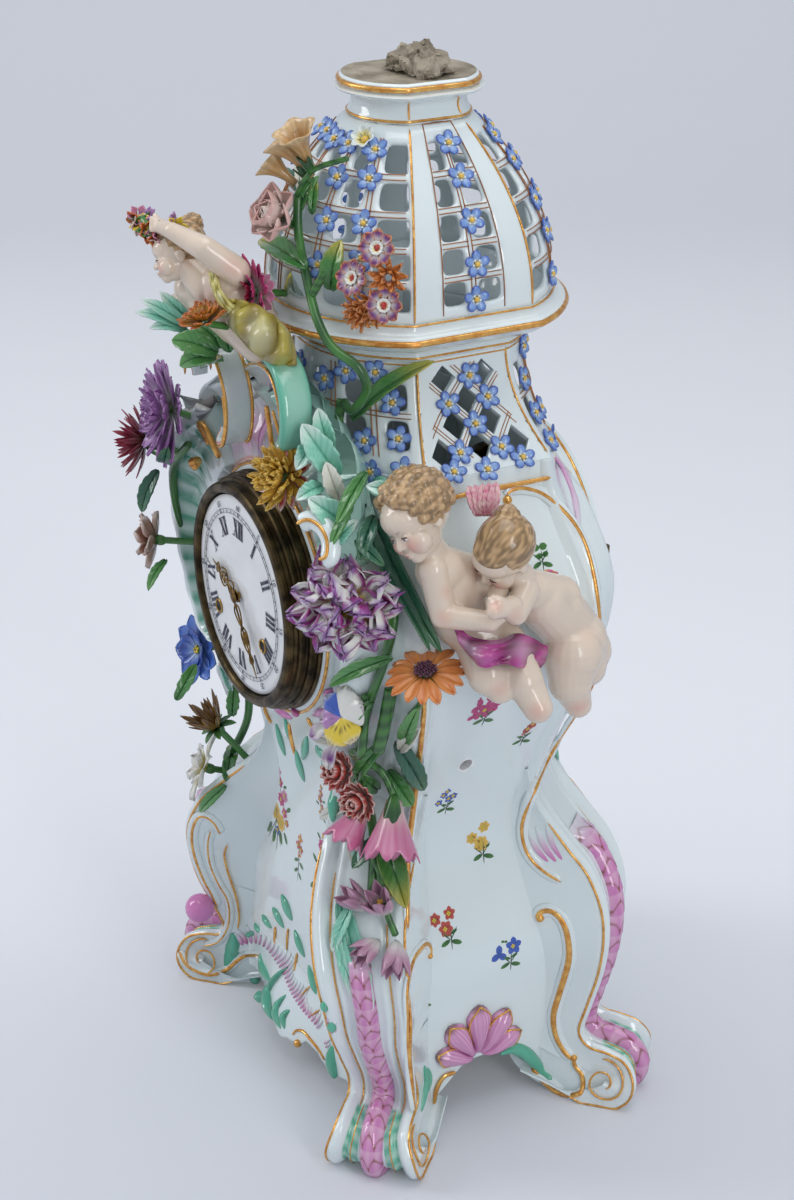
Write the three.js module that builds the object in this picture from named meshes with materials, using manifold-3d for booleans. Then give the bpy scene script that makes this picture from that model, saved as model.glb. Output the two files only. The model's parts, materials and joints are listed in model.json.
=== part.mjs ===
// Porcelain table clock with a pierced dome, applied flowers and figures, and a round brass movement.
// Millimetres, +Z up. The dial looks along -Y. Everything is drawn about the dome's axis, then moved so that
// the origin lies on the ground under the middle of the whole outline.
import * as THREE from 'three';
import { mergeVertices } from 'three/addons/utils/BufferGeometryUtils.js';
import Module from 'manifold-3d';

const wasm = await Module();
wasm.setup();

// Clearances shared by every fit
const gap = 0.3;
const runningGap = 0.35;

// Sides of a turned piece
const turnedSides = 24;

// Case outline: half width at the side panels, half length of their flat, half depth at the front panel
const porcelainWall = 5;
const caseBottom = 14;
const apronLevel = { height: 75, halfWidth: 80, sideFlat: 44, halfDepth: 58 };
const waistLevel = { height: 141, halfWidth: 60.4, sideFlat: 31.5, halfDepth: 54 };
const shoulderLevel = { height: 258, halfWidth: 95, sideFlat: 42, halfDepth: 66.5 };
const neckBaseLevel = { height: 326, halfWidth: 72.8, sideFlat: 30.5, halfDepth: 54 };
const neckTopLevel = { height: 370.5, halfWidth: 47.5, sideFlat: 21.3, halfDepth: 50 };
const mouldingWidth = 5;
const mouldingRise = 1.8;
const fluteDepth = 3;
const neckCurveStart = 296;

// Arches cut in the apron between the feet
const frontArch = { halfWidth: 46, rise: 12 };
const sideArch = { halfWidth: 31, rise: 14 };
const sideHole = { radius: 3.2, y: -9, height: 186 };

// Dome: cornice, ogee and top plate
const corniceLevel = { halfWidth: 61.7, sideFlat: 30, halfDepth: 68 };
const corniceThickness = 4;
const corniceUnderside = 10.5;
const domeFoot = { halfWidth: 57.5, sideFlat: 28, halfDepth: 62 };
const domeTop = { halfWidth: 23, sideFlat: 12.2, halfDepth: 26 };
const domeFootHeight = 389.5;
const domeTopHeight = 464;
const domeSwell = 2.2;
const collarHeight = 12;
const topPlate = { halfWidth: 25, sideFlat: 14, halfDepth: 29.5, thickness: 4 };
const domeWall = 4;

// Pierced windows
const domeRows = 5;
const domeRowPitch = 13.2;
const domeFirstRow = 399.5;
const domeWindow = { side: 9.4, bow: 10, height: 9.6 };
const bowFacets = 6;
const neckRows = 2;
const neckRowPitch = 14;
const neckFirstRow = 341;
const neckDiamond = 8.6;

// Legs on the chamfered corners, drawn in the upright diagonal plane
const legCentre = { x: 90, y: 61 };
const legWidth = 42;
const tailWidth = 15;
const tailRise = 3;
const legInside = 58;
const legWaist = 66;
const legTopHeight = 172;
const legTaper = 0.74;
const footRadius = 12.5;
const footReach = 2.5;
const footFlat = 1;
const footSpan = 42;
const frontLegSwell = 8;

// Dial and its mount
const dialHeight = 256.6;
const dialRadius = 45.5;
const dialThickness = 2.4;
const dialFront = -84;
const bossRadius = 58;
const bossFront = -70;
const bossBack = -56;
const bossBore = 47.5;
const ringBore = 46.2;
const ringSteps = [54.5, 50.6];
const ringFloorThickness = 1.8;

// Movement between two round plates
const plateRadius = 40;
const plateThickness = 2;
const plateSpacing = 30;
const pillarRadius = 2.4;
const pillarCircle = 35;
const arborRadius = 1.5;
const pivotRadius = 1;
const windingArbor = { x: 23.5, drop: 15, radius: 2, square: 3.2 };
const barrelRadius = 13;
const barrelLength = 18;
const wheelThickness = 1.6;
const wheelTeeth = 24;
const pinionLeaves = 6;
const toothDepth = 1.1;
const centreWheelRadius = 15;
const thirdWheelRadius = 13.5;
const escapeTeeth = 13;
const escapeRadius = 7;
const anchorRise = 36.5;

// Pendulum, bell and hammer behind the back plate
const pendulumPlane = -36.5;
const rodWidth = 2.4;
const bobHeight = 152;
const bobRadius = 16;
const bobThickness = 8;
const bellRadius = 24;
const bellDepth = 17;
const bellWall = 1.5;
const bellOffset = { x: 9, drop: 3 };
const bellMouth = -29;
const bellPostRadius = 2.2;
const hammerHeadRadius = 3.4;

// Round opening and hinged cover at the rear
const rearBossFront = 58;
const rearBossBack = 70;
const rearBore = 46;
const rearDoorRadius = 45;
const rearDoorThickness = 2;
const hingeReach = 51.5;
const hingeRadius = 2.2;
const hingePinRadius = 1;
const knuckleLength = 14;
const strapThickness = 3;
const sleeveWall = 2;
const strapLap = 4;
const strapWidth = 10;

// Sizes of the applied work
const stemRadius = 2.4;
const leafThickness = 1.8;
const petalThickness = 1.8;
const petalNotch = 0.72;
const thinLimb = 7;
const crestPlane = -70;
const scrollDepth = 13;

const colours = {
  porcelain: 0xe3ebec, pink: 0xd58bc0, seaGreen: 0x6fb8a0, leaf: 0x3f7a3a, flesh: 0xe6cdb8, gold: 0xc08a3a,
  bronze: 0x564a33, brass: 0xb08d4c, enamel: 0xf2f2ee, clay: 0xa89a86, steel: 0x8c9094, bell: 0x9c9a8c,
};

// The middle of the whole outline, with its flowers and figures, from the dome's axis
const outlineMiddle = { x: 5.7, y: -12 };

const clock = new THREE.Group();

function finish(colour, roughness, metalness) {
  return new THREE.MeshStandardMaterial({ color: colour, roughness, metalness });
}

const glaze = finish(colours.porcelain, 0.15, 0);
const brass = finish(colours.brass, 0.35, 1);
const steel = finish(colours.steel, 0.3, 1);

// Solids and meshes

function solidOf(geometry) {
  const bare = geometry.clone();
  bare.deleteAttribute('normal');
  bare.deleteAttribute('uv');
  const welded = mergeVertices(bare, 1e-4);
  const mesh = new wasm.Mesh({
    numProp: 3,
    vertProperties: Float32Array.from(welded.attributes.position.array),
    triVerts: Uint32Array.from(welded.index.array),
  });
  return new wasm.Manifold(mesh);
}

function geometryOf(solid) {
  const mesh = solid.getMesh();
  const geometry = new THREE.BufferGeometry();
  geometry.setAttribute('position', new THREE.BufferAttribute(Float32Array.from(mesh.vertProperties), 3));
  geometry.setIndex(new THREE.BufferAttribute(Uint32Array.from(mesh.triVerts), 1));
  const flat = geometry.toNonIndexed();
  flat.computeVertexNormals();
  return flat;
}

function join(solids) {
  return solids.reduce((whole, piece) => whole.add(piece));
}

function cutAway(solid, cutters) {
  return cutters.reduce((rest, cutter) => rest.subtract(cutter), solid);
}

// The largest body that is left after cuts
function mainBody(solid) {
  const bodies = solid.decompose();
  const volumes = bodies.map((body) => body.volume());
  return bodies[volumes.indexOf(Math.max(...volumes))];
}

function addPart(name, solid, material) {
  const placed = solid.translate([-outlineMiddle.x, -outlineMiddle.y, 0]);
  const mesh = new THREE.Mesh(geometryOf(placed), material);
  mesh.name = name;
  clock.add(mesh);
}

// A closed skin over rings of points that all have the same count
function loftGeometry(rings, closesOnItself = false, topHub = null, bottomHub = null) {
  const count = rings[0].length;
  const points = rings.flat();
  const indices = [];
  const bands = closesOnItself ? rings.length : rings.length - 1;
  for (let band = 0; band < bands; band += 1) {
    const lower = band * count;
    const upper = ((band + 1) % rings.length) * count;
    for (let side = 0; side < count; side += 1) {
      const next = (side + 1) % count;
      indices.push(lower + side, lower + next, upper + next);
      indices.push(lower + side, upper + next, upper + side);
    }
  }
  if (!closesOnItself) {
    capRing(points, indices, rings[0], 0, false, bottomHub);
    capRing(points, indices, rings[rings.length - 1], (rings.length - 1) * count, true, topHub);
  }
  const geometry = new THREE.BufferGeometry().setFromPoints(points);
  geometry.setIndex(indices);
  return geometry;
}

function capRing(points, indices, ring, start, facesUp, hubHeight = null) {
  const centre = ring.reduce((sum, point) => sum.add(point), new THREE.Vector3()).divideScalar(ring.length);
  if (hubHeight !== null) centre.z = hubHeight;
  const hub = points.push(centre) - 1;
  for (let side = 0; side < ring.length; side += 1) {
    const here = start + side;
    const next = start + ((side + 1) % ring.length);
    indices.push(hub, facesUp ? here : next, facesUp ? next : here);
  }
}

function loft(rings, closesOnItself = false) {
  return solidOf(loftGeometry(rings, closesOnItself));
}

function extrudeUpright(shape, depth, steps = 12) {
  return new THREE.ExtrudeGeometry(shape, { depth, bevelEnabled: false, curveSegments: steps });
}

// A shape drawn in X and Z, thick along Y from yFront to yBack
function slabAlongY(shape, yFront, yBack, steps = 12) {
  const geometry = extrudeUpright(shape, yBack - yFront, steps);
  geometry.rotateX(Math.PI / 2);
  geometry.translate(0, yBack, 0);
  return solidOf(geometry);
}

// A turned solid about the dial's axis; the profile lists radius and y
function turnedAlongY(profile, sides = turnedSides) {
  const points = profile.map(([radius, y]) => new THREE.Vector2(radius, y));
  const geometry = new THREE.LatheGeometry(points, sides);
  return solidOf(orientedOutward(geometry));
}

function orientedOutward(geometry) {
  const probe = mergeVertices(stripped(geometry), 1e-4);
  if (signedVolume(probe) >= 0) return geometry;
  const index = geometry.index.array;
  for (let corner = 0; corner < index.length; corner += 3) {
    [index[corner + 1], index[corner + 2]] = [index[corner + 2], index[corner + 1]];
  }
  return geometry;
}

function stripped(geometry) {
  const bare = geometry.clone();
  bare.deleteAttribute('normal');
  bare.deleteAttribute('uv');
  return bare;
}

function signedVolume(geometry) {
  const position = geometry.attributes.position;
  const corner = [new THREE.Vector3(), new THREE.Vector3(), new THREE.Vector3()];
  let volume = 0;
  for (let start = 0; start < geometry.index.count; start += 3) {
    corner.forEach((point, side) => point.fromBufferAttribute(position, geometry.index.getX(start + side)));
    volume += corner[0].dot(corner[1].cross(corner[2])) / 6;
  }
  return volume;
}

function rodAlongY(radius, x, z, yFront, yBack, sides = 10) {
  const geometry = new THREE.CylinderGeometry(radius, radius, yBack - yFront, sides);
  geometry.translate(x, (yFront + yBack) / 2, z);
  return solidOf(geometry);
}

function rodAlongZ(radius, x, y, low, high, sides = 12) {
  const geometry = new THREE.CylinderGeometry(radius, radius, high - low, sides);
  geometry.rotateX(Math.PI / 2);
  geometry.translate(x, y, (low + high) / 2);
  return solidOf(geometry);
}

function box(low, high) {
  const size = low.map((value, axis) => high[axis] - value);
  const geometry = new THREE.BoxGeometry(...size);
  geometry.translate(...low.map((value, axis) => value + size[axis] / 2));
  return solidOf(geometry);
}

// A rounded limb from one joint to the next; thin ones have fewer sides
function limb(from, to, fromRadius, toRadius) {
  const sides = Math.max(fromRadius, toRadius) < thinLimb ? 5 : 6;
  const start = new THREE.Vector3(...from);
  const end = new THREE.Vector3(...to);
  const length = start.distanceTo(end);
  const profile = [new THREE.Vector2(0, -fromRadius)];
  profile.push(new THREE.Vector2(fromRadius * 0.94, -fromRadius * 0.36));
  profile.push(new THREE.Vector2(toRadius * 0.94, length + toRadius * 0.36));
  profile.push(new THREE.Vector2(0, length + toRadius));
  const geometry = orientedOutward(new THREE.LatheGeometry(profile, sides));
  const turn = new THREE.Quaternion().setFromUnitVectors(
    new THREE.Vector3(0, 1, 0),
    end.clone().sub(start).normalize(),
  );
  geometry.applyQuaternion(turn);
  geometry.translate(...from);
  return solidOf(geometry);
}

function ball(at, radii, sides = 8, rings = 5) {
  const geometry = new THREE.SphereGeometry(1, sides, rings);
  geometry.scale(...radii);
  geometry.translate(...at);
  return solidOf(geometry);
}

// Turns a solid drawn facing +Z so that it faces a direction, then moves it
function facing(geometry, at, toward, roll = 0) {
  geometry.rotateZ(roll);
  const turn = new THREE.Quaternion().setFromUnitVectors(
    new THREE.Vector3(0, 0, 1),
    new THREE.Vector3(...toward).normalize(),
  );
  geometry.applyQuaternion(turn);
  geometry.translate(...at);
  return solidOf(geometry);
}

// A solid grown sideways by the seating gap, to cut what rests on it
function sleeve(solid) {
  return join([[gap, 0, 0], [-gap, 0, 0], [0, gap, 0], [0, -gap, 0]].map((step) => solid.translate(step)));
}

// The case: one outline at every height

function smooth(share) {
  const held = THREE.MathUtils.clamp(share, 0, 1);
  return held * held * (3 - 2 * held);
}

function between(low, high, share) {
  const size = {};
  for (const key of ['halfWidth', 'sideFlat', 'halfDepth']) {
    size[key] = low[key] + (high[key] - low[key]) * share;
  }
  return size;
}

function caseSize(height) {
  const levels = [apronLevel, waistLevel, shoulderLevel, neckBaseLevel];
  if (height <= apronLevel.height) return between(apronLevel, apronLevel, 0);
  const upper = levels.findIndex((level) => level.height >= height);
  const low = levels[upper < 0 ? levels.length - 2 : upper - 1];
  const high = levels[upper < 0 ? levels.length - 1 : upper];
  return between(low, high, smooth((height - low.height) / (high.height - low.height)));
}

// A point on the bow from the arris beside a side panel (share 0) to the middle of the front (share 1)
function bowPoint(size, share) {
  const rise = Math.sqrt(1 - (size.sideFlat / size.halfDepth) ** 2);
  const across = size.halfWidth / rise;
  const start = Math.asin(size.sideFlat / size.halfDepth);
  const angle = start + (Math.PI / 2 - start) * share;
  return [across * Math.cos(angle), size.halfDepth * Math.sin(angle)];
}

function bowQuarter(size, steps) {
  return Array.from({ length: steps }, (unused, step) => bowPoint(size, (step + 1) / steps));
}

// A quarter of the case: fluted chamfer, then the flat front panel
function chamferQuarter(size, flute) {
  const run = size.halfDepth - size.sideFlat;
  const frontFlat = size.halfWidth - run;
  const dip = flute * Math.SQRT1_2;
  const hollow = [size.halfWidth - run / 2 - dip, size.sideFlat + run / 2 - dip];
  const points = flute > 0 ? [hollow] : [];
  return [...points, [frontFlat, size.halfDepth], [frontFlat / 2, size.halfDepth], [0, size.halfDepth]];
}

// The full outline from a quarter that starts with the side panel
function mirroredRing(quarter, height) {
  const corner = (x, y) => new THREE.Vector3(x, y, height);
  const firstQuadrant = quarter.map(([x, y]) => corner(x, y));
  const inner = quarter.slice(0, -1);
  const second = [...inner].reverse().map(([x, y]) => corner(-x, y));
  const third = quarter.map(([x, y]) => corner(-x, -y));
  const fourth = [...inner].reverse().map(([x, y]) => corner(x, -y));
  return [...firstQuadrant, ...second, ...third, ...fourth];
}

function caseRing(height, inset, hasMoulding) {
  const size = caseSize(height);
  const shrunk = {
    halfWidth: size.halfWidth - inset,
    sideFlat: size.sideFlat - inset * 0.41,
    halfDepth: size.halfDepth - inset,
  };
  const flute = hasMoulding ? fluteDepth : 0;
  const rise = hasMoulding ? mouldingRise : 0;
  const side = [[shrunk.halfWidth, shrunk.sideFlat]];
  if (hasMoulding) {
    side.unshift([shrunk.halfWidth + rise, shrunk.sideFlat - mouldingWidth / 2]);
    side.unshift([shrunk.halfWidth, shrunk.sideFlat - mouldingWidth]);
  }
  const bowShare = smooth((height - neckCurveStart) / (neckBaseLevel.height - neckCurveStart));
  const chamfer = chamferQuarter(shrunk, flute);
  const bow = bowQuarter(shrunk, chamfer.length);
  const corner = chamfer.map(([x, y], at) => [
    x + (bow[at][0] - x) * bowShare,
    y + (bow[at][1] - y) * bowShare,
  ]);
  return mirroredRing([...side, ...corner], height);
}

// Section heights: the levels themselves and even steps between them
function caseHeights(steps) {
  const levels = [apronLevel, waistLevel, shoulderLevel, neckBaseLevel];
  return levels.slice(1).flatMap((level, at) => {
    const below = levels[at].height;
    return Array.from({ length: steps }, (unused, step) => below + ((level.height - below) * step) / steps);
  });
}

function caseSolid(inset, low, high, hasMoulding) {
  const heights = caseHeights(hasMoulding ? 3 : 2).filter((height) => height > low && height < high);
  return loft([low, ...heights, high].map((height) => caseRing(height, inset, hasMoulding)));
}

function disc(radius, yFront, yBack, sides = turnedSides) {
  return rodAlongY(radius, 0, dialHeight, yFront, yBack, sides);
}

function archCutter(arch) {
  const shape = new THREE.Shape();
  shape.moveTo(-arch.halfWidth - 6, -1);
  shape.lineTo(-arch.halfWidth - 6, caseBottom);
  shape.quadraticCurveTo(-arch.halfWidth + 4, caseBottom, -arch.halfWidth + 6, caseBottom + arch.rise * 0.7);
  shape.quadraticCurveTo(0, caseBottom + arch.rise * 1.3, arch.halfWidth - 6, caseBottom + arch.rise * 0.7);
  shape.quadraticCurveTo(arch.halfWidth - 4, caseBottom, arch.halfWidth + 6, caseBottom);
  shape.lineTo(arch.halfWidth + 6, -1);
  const reach = shoulderLevel.halfWidth * 2;
  return slabAlongY(shape, -reach, reach, 4);
}

function caseBody() {
  const top = neckBaseLevel.height;
  const outer = caseSolid(0, caseBottom, top, true);
  const bosses = disc(bossRadius, bossFront, bossBack).add(disc(bossRadius, rearBossFront, rearBossBack));
  const hollow = caseSolid(porcelainWall, caseBottom - 1, top - porcelainWall, false);
  const throatRing = bowRing(neckSize(top), top, domeWall + 1);
  const throat = loft([top - porcelainWall - 1, top + 1].map((height) => (
    throatRing.map((point) => point.clone().setZ(height)))));
  const bores = [disc(bossBore, bossFront - 1, 0), disc(rearBore, 0, rearBossBack + 1)];
  const sideArchCutter = archCutter(sideArch).rotate([0, 0, 90]);
  const screwHole = rodAlongY(sideHole.radius, 0, 0, -10, 10)
    .rotate([0, 0, 90])
    .translate([caseSize(sideHole.height).halfWidth, sideHole.y, sideHole.height]);
  const cutters = [hollow, throat, ...bores, archCutter(frontArch), sideArchCutter, screwHole];
  return mainBody(cutAway(outer.add(bosses), cutters));
}

// The case grown by the seating gap, to cut what rests on it
const caseEnvelope = caseSolid(-gap, caseBottom - gap, neckBaseLevel.height + gap, true)
  .add(disc(bossRadius + gap, bossFront - gap, bossBack))
  .add(disc(bossRadius + gap, rearBossFront, rearBossBack + gap));

// The pierced neck and dome

function bowRing(size, height, inset) {
  const shrunk = {
    halfWidth: size.halfWidth - inset,
    sideFlat: size.sideFlat - inset * 0.41,
    halfDepth: size.halfDepth - inset,
  };
  const quarter = [[shrunk.halfWidth, shrunk.sideFlat], ...bowQuarter(shrunk, bowFacets / 2)];
  return mirroredRing(quarter, height);
}

function neckSize(height) {
  const share = (height - neckBaseLevel.height) / (neckTopLevel.height - neckBaseLevel.height);
  return between(neckTopLevel, neckBaseLevel, (1 - share) ** 2);
}

function domeSize(height) {
  const share = (height - domeFootHeight) / (domeTopHeight - domeFootHeight);
  return between(domeTop, domeFoot, 1 - share ** domeSwell);
}

function squareCutter(width, height, angle, reach, across, centreHeight) {
  const geometry = new THREE.BoxGeometry(60, width, height);
  geometry.translate(reach, across, centreHeight);
  geometry.rotateZ(THREE.MathUtils.degToRad(angle));
  return solidOf(geometry);
}

function diamondCutter(size, angle, reach, across, centreHeight) {
  const geometry = new THREE.BoxGeometry(60, size, size);
  geometry.rotateX(Math.PI / 4);
  geometry.translate(reach, across, centreHeight);
  geometry.rotateZ(THREE.MathUtils.degToRad(angle));
  return solidOf(geometry);
}

// The direction of each window column, one to a facet of the bow
function bowColumns(size) {
  const columns = [];
  for (let facet = 0; facet < bowFacets / 2; facet += 1) {
    const [x, y] = bowPoint(size, (facet + 0.5) / (bowFacets / 2));
    const angle = THREE.MathUtils.radToDeg(Math.atan2(y, x));
    columns.push(angle, 180 - angle);
  }
  return columns;
}

function neckWindows() {
  const cutters = [];
  for (const turn of [0, 180]) {
    for (const [across, rise] of [[-9, 0], [9, 0], [0, 9], [0, -9], [-9, 18], [9, 18], [-18, -9], [18, -9]]) {
      cutters.push(diamondCutter(neckDiamond, turn, 62, across, neckFirstRow + 2 + rise));
    }
    for (const column of bowColumns(neckTopLevel)) {
      for (let row = 0; row < neckRows; row += 1) {
        const height = neckFirstRow + row * neckRowPitch;
        cutters.push(squareCutter(domeWindow.bow, domeWindow.height, column + turn, 60, 0, height));
      }
    }
  }
  return cutters;
}

function neckSolid(inset, low, high) {
  const heights = [low, neckFirstRow - neckRowPitch / 2, neckFirstRow + neckRowPitch / 2,
    neckFirstRow + neckRowPitch * 1.5, high];
  return loft(heights.map((height) => bowRing(neckSize(height), height, inset)));
}

function neck() {
  const base = neckBaseLevel.height + gap;
  const top = neckTopLevel.height;
  const shell = neckSolid(0, base, top);
  const hollow = neckSolid(domeWall, base - 1, top + 1);
  return mainBody(cutAway(shell, [hollow, ...neckWindows()]));
}

function domeWindows() {
  const cutters = [];
  for (let row = 0; row < domeRows; row += 1) {
    const height = domeFirstRow + row * domeRowPitch;
    const share = domeSize(height).halfDepth / domeFoot.halfDepth;
    for (const turn of [0, 180]) {
      for (const side of [-1, 1]) {
        const across = side * (domeWindow.side / 2 + 3) * share;
        cutters.push(squareCutter(domeWindow.side * share, domeWindow.height, turn, 45, across, height));
      }
      for (const column of bowColumns(domeSize(height))) {
        const width = domeWindow.bow * share;
        cutters.push(squareCutter(width, domeWindow.height, column + turn, 45, 0, height));
      }
    }
  }
  return cutters;
}

// Dome sections at the foot, between the window rows and at the top
function domeHeights(top) {
  const bars = Array.from({ length: domeRows - 1 }, (unused, row) => domeFirstRow + domeRowPitch * (row + 0.5));
  return [domeFootHeight, ...bars, top];
}

function domeOuter() {
  const underside = neckTopLevel.height + gap;
  const lip = underside + corniceUnderside;
  const collar = domeTopHeight + collarHeight;
  const rings = [
    bowRing(neckTopLevel, underside, -1),
    bowRing(between(neckTopLevel, corniceLevel, 0.55), underside + 3, 0),
    bowRing(corniceLevel, lip, 0),
    bowRing(corniceLevel, lip + corniceThickness, 0),
  ];
  for (const height of domeHeights(domeTopHeight)) {
    rings.push(bowRing(domeSize(height), height, 0));
  }
  rings.push(bowRing(domeTop, domeTopHeight + collarHeight / 2, 1.4));
  rings.push(bowRing(topPlate, collar, 0));
  rings.push(bowRing(topPlate, collar + topPlate.thickness, 0));
  return loft(rings);
}

function domeInner() {
  const rings = [bowRing(neckTopLevel, neckTopLevel.height - 1, domeWall)];
  for (const height of domeHeights(domeTopHeight - domeWall)) {
    rings.push(bowRing(domeSize(height), height, domeWall));
  }
  return loft(rings);
}

function dome() {
  return mainBody(cutAway(domeOuter(), [domeInner(), ...domeWindows()]));
}

function finialStub() {
  const top = domeTopHeight + collarHeight + topPlate.thickness + gap;
  const shape = new THREE.Shape();
  shape.absellipse(0, 0, 17, 12, 0, Math.PI * 2);
  const base = extrudeUpright(shape, 3, 5);
  base.translate(6, 2, top);
  const lump = ball([5, 0, top + 5], [11, 7, 6], 7, 5);
  return solidOf(base).add(lump).subtract(box([-40, -40, 0], [40, 40, top]));
}

// Corner legs

// The leg's outer line from the ground up, as distance from the axis and height
function legOutline(swell) {
  const knee = legWaist + swell;
  const line = new THREE.Path();
  line.moveTo(legWaist + 27, caseBottom - 8);
  line.lineTo(legWaist + 40, caseBottom);
  line.lineTo(legWaist + 33, 30);
  line.bezierCurveTo(legWaist + 28, 38, knee + 31, 48, knee + 35, 62);
  line.bezierCurveTo(knee + 44, 92, knee + 38, 112, legWaist + 24, 126);
  line.bezierCurveTo(legWaist + 12, 137, legWaist + 6, 150, legWaist, legTopHeight);
  return line.getPoints(3);
}

// How far a leg stands from the diagonal through the axis: along the chamfer, then out to the foot
function legShift(height) {
  const size = caseSize(height);
  const chamferShift = (size.halfWidth - size.halfDepth) * Math.SQRT1_2;
  const footShift = (legCentre.x - legCentre.y) * Math.SQRT1_2;
  return THREE.MathUtils.lerp(footShift, chamferShift, smooth(height / apronLevel.height));
}

// A level section of the leg, with the tail standing proud of it down the middle
function legRing(reach, height, side) {
  const share = smooth((legTopHeight * 0.6 - height) / (legTopHeight * 0.4));
  const taper = 1 + (legTaper - 1) * share;
  const half = (legWidth / 2) * taper;
  const tail = (tailWidth / 2) * taper;
  const corners = [[legInside, -half], [reach, -half], [reach, -tail], [reach + tailRise, -tail]];
  const mirrored = corners.map(([out, across]) => [out, -across]).reverse();
  const shift = side * legShift(height);
  return [...corners, ...mirrored].map(([out, across]) => new THREE.Vector3(out, across + shift, height));
}

function footRoll(reach, radius, span, side) {
  const geometry = new THREE.CylinderGeometry(radius, radius, span, 12);
  geometry.translate(reach, side * legShift(0), 0);
  return solidOf(geometry).translate([0, 0, footRadius - footFlat]);
}

// One leg along +X in its own frame, later turned onto its corner
function legAlongX(side, swell) {
  const reach = (legCentre.x + legCentre.y) * Math.SQRT1_2 + footReach;
  const body = loft(legOutline(swell).map((point) => legRing(point.x, point.y, side)));
  const roll = footRoll(reach, footRadius, tailWidth, side);
  const bands = footRoll(reach, footRadius - 1, footSpan, side);
  const below = box([0, -60, -20], [200, 60, 0]);
  return join([body, roll, bands]).subtract(below);
}

function leg(turn, side, swell) {
  return mainBody(legAlongX(side, swell).rotate([0, 0, turn]).subtract(caseEnvelope));
}

// Applied porcelain work

// A band with a scrolled line, drawn in X and Z
function bandShape(points, halfThickness) {
  const curve = new THREE.CatmullRomCurve3(points.map(([x, z]) => new THREE.Vector3(x, z, 0)));
  const steps = points.length * 2;
  const left = [];
  const right = [];
  for (let step = 0; step <= steps; step += 1) {
    const at = curve.getPoint(step / steps);
    const along = curve.getTangent(step / steps);
    left.push(new THREE.Vector2(at.x - along.y * halfThickness, at.y + along.x * halfThickness));
    right.push(new THREE.Vector2(at.x + along.y * halfThickness, at.y - along.x * halfThickness));
  }
  return new THREE.Shape([...left, ...right.reverse()]);
}

function scrollBand(points, halfThickness, yFront, yBack) {
  return slabAlongY(bandShape(points, halfThickness), yFront, yBack, 1);
}

function palmette(side) {
  const lobes = [];
  for (const angle of [-62, -32, 0, 32, 62]) {
    const length = 17 - Math.abs(angle) * 0.05;
    const geometry = new THREE.SphereGeometry(1, 5, 4);
    geometry.scale(5.5, 4.6, length);
    geometry.translate(0, 0, length * 0.95);
    geometry.rotateX(THREE.MathUtils.degToRad(angle));
    lobes.push(solidOf(geometry));
  }
  const placed = join(lobes).translate([side * (apronLevel.halfWidth + mouldingRise), -5, caseBottom + sideArch.rise + 2]);
  return mainBody(placed.subtract(caseEnvelope));
}

function crestShell() {
  const shape = new THREE.Shape();
  shape.moveTo(-70, 292);
  shape.bezierCurveTo(-82, 312, -68, 332, -50, 338);
  shape.bezierCurveTo(-30, 350, 26, 352, 38, 338);
  shape.bezierCurveTo(50, 330, 58, 316, 54, 296);
  shape.lineTo(46, 288);
  shape.lineTo(-50, 288);
  const plate = slabAlongY(shape, crestPlane + 3, -48, 4);
  return mainBody(plate.subtract(caseEnvelope).subtract(neckEnvelope));
}

const neckEnvelope = neckSolid(-gap, neckBaseLevel.height, neckTopLevel.height + 0.1)
  .add(domeOuter().scale([1.012, 1.012, 1]));

const whiteScrollLine = [[-52, 346], [-46, 358], [-32, 363], [-18, 358], [-11, 344], [-13, 329], [-22, 323]];
const leafScrollLine = [[-14, 358], [-4, 366], [16, 371], [34, 367], [43, 355], [40, 345]];

function dialShell() {
  const shape = new THREE.Shape();
  const inner = bossRadius + 3;
  shape.absarc(0, dialHeight, inner, THREE.MathUtils.degToRad(132), THREE.MathUtils.degToRad(226), false);
  shape.bezierCurveTo(-66, 206, -88, 232, -96, 262);
  shape.bezierCurveTo(-102, 288, -92, 308, -70, 312);
  shape.closePath();
  const rim = slabAlongY(shape, crestPlane - 8, -52, 6);
  return mainBody(rim.subtract(caseEnvelope).subtract(crestEnvelope));
}

function tubeAlong(points, radius, steps, sides = 5) {
  const curve = new THREE.CatmullRomCurve3(points.map((point) => new THREE.Vector3(...point)));
  const section = new THREE.Shape();
  for (let side = 0; side < sides; side += 1) {
    const angle = (side / sides) * Math.PI * 2;
    const method = side === 0 ? 'moveTo' : 'lineTo';
    section[method](radius * Math.cos(angle), radius * Math.sin(angle));
  }
  section.closePath();
  return solidOf(new THREE.ExtrudeGeometry(section, { steps, extrudePath: curve, bevelEnabled: false }));
}

// A leaf that grows from a root point along one direction, with its face toward another
function leafBlade(root, along, face, length, width, grow = 0) {
  const half = width / 2 + grow;
  const tip = length + grow;
  const shape = new THREE.Shape();
  shape.moveTo(-grow, 0);
  shape.quadraticCurveTo(length * 0.4, half * 1.6, tip, 0);
  shape.quadraticCurveTo(length * 0.4, -half * 1.6, -grow, 0);
  const thickness = leafThickness + grow * 2;
  const geometry = extrudeUpright(shape, thickness, 3);
  geometry.translate(0, 0, -thickness / 2);
  const lengthwise = new THREE.Vector3(...along).normalize();
  const sideways = new THREE.Vector3(...face).cross(lengthwise).normalize();
  const turn = new THREE.Matrix4().makeBasis(lengthwise, sideways, lengthwise.clone().cross(sideways));
  geometry.applyMatrix4(turn);
  geometry.translate(...root);
  return solidOf(geometry);
}

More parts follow.
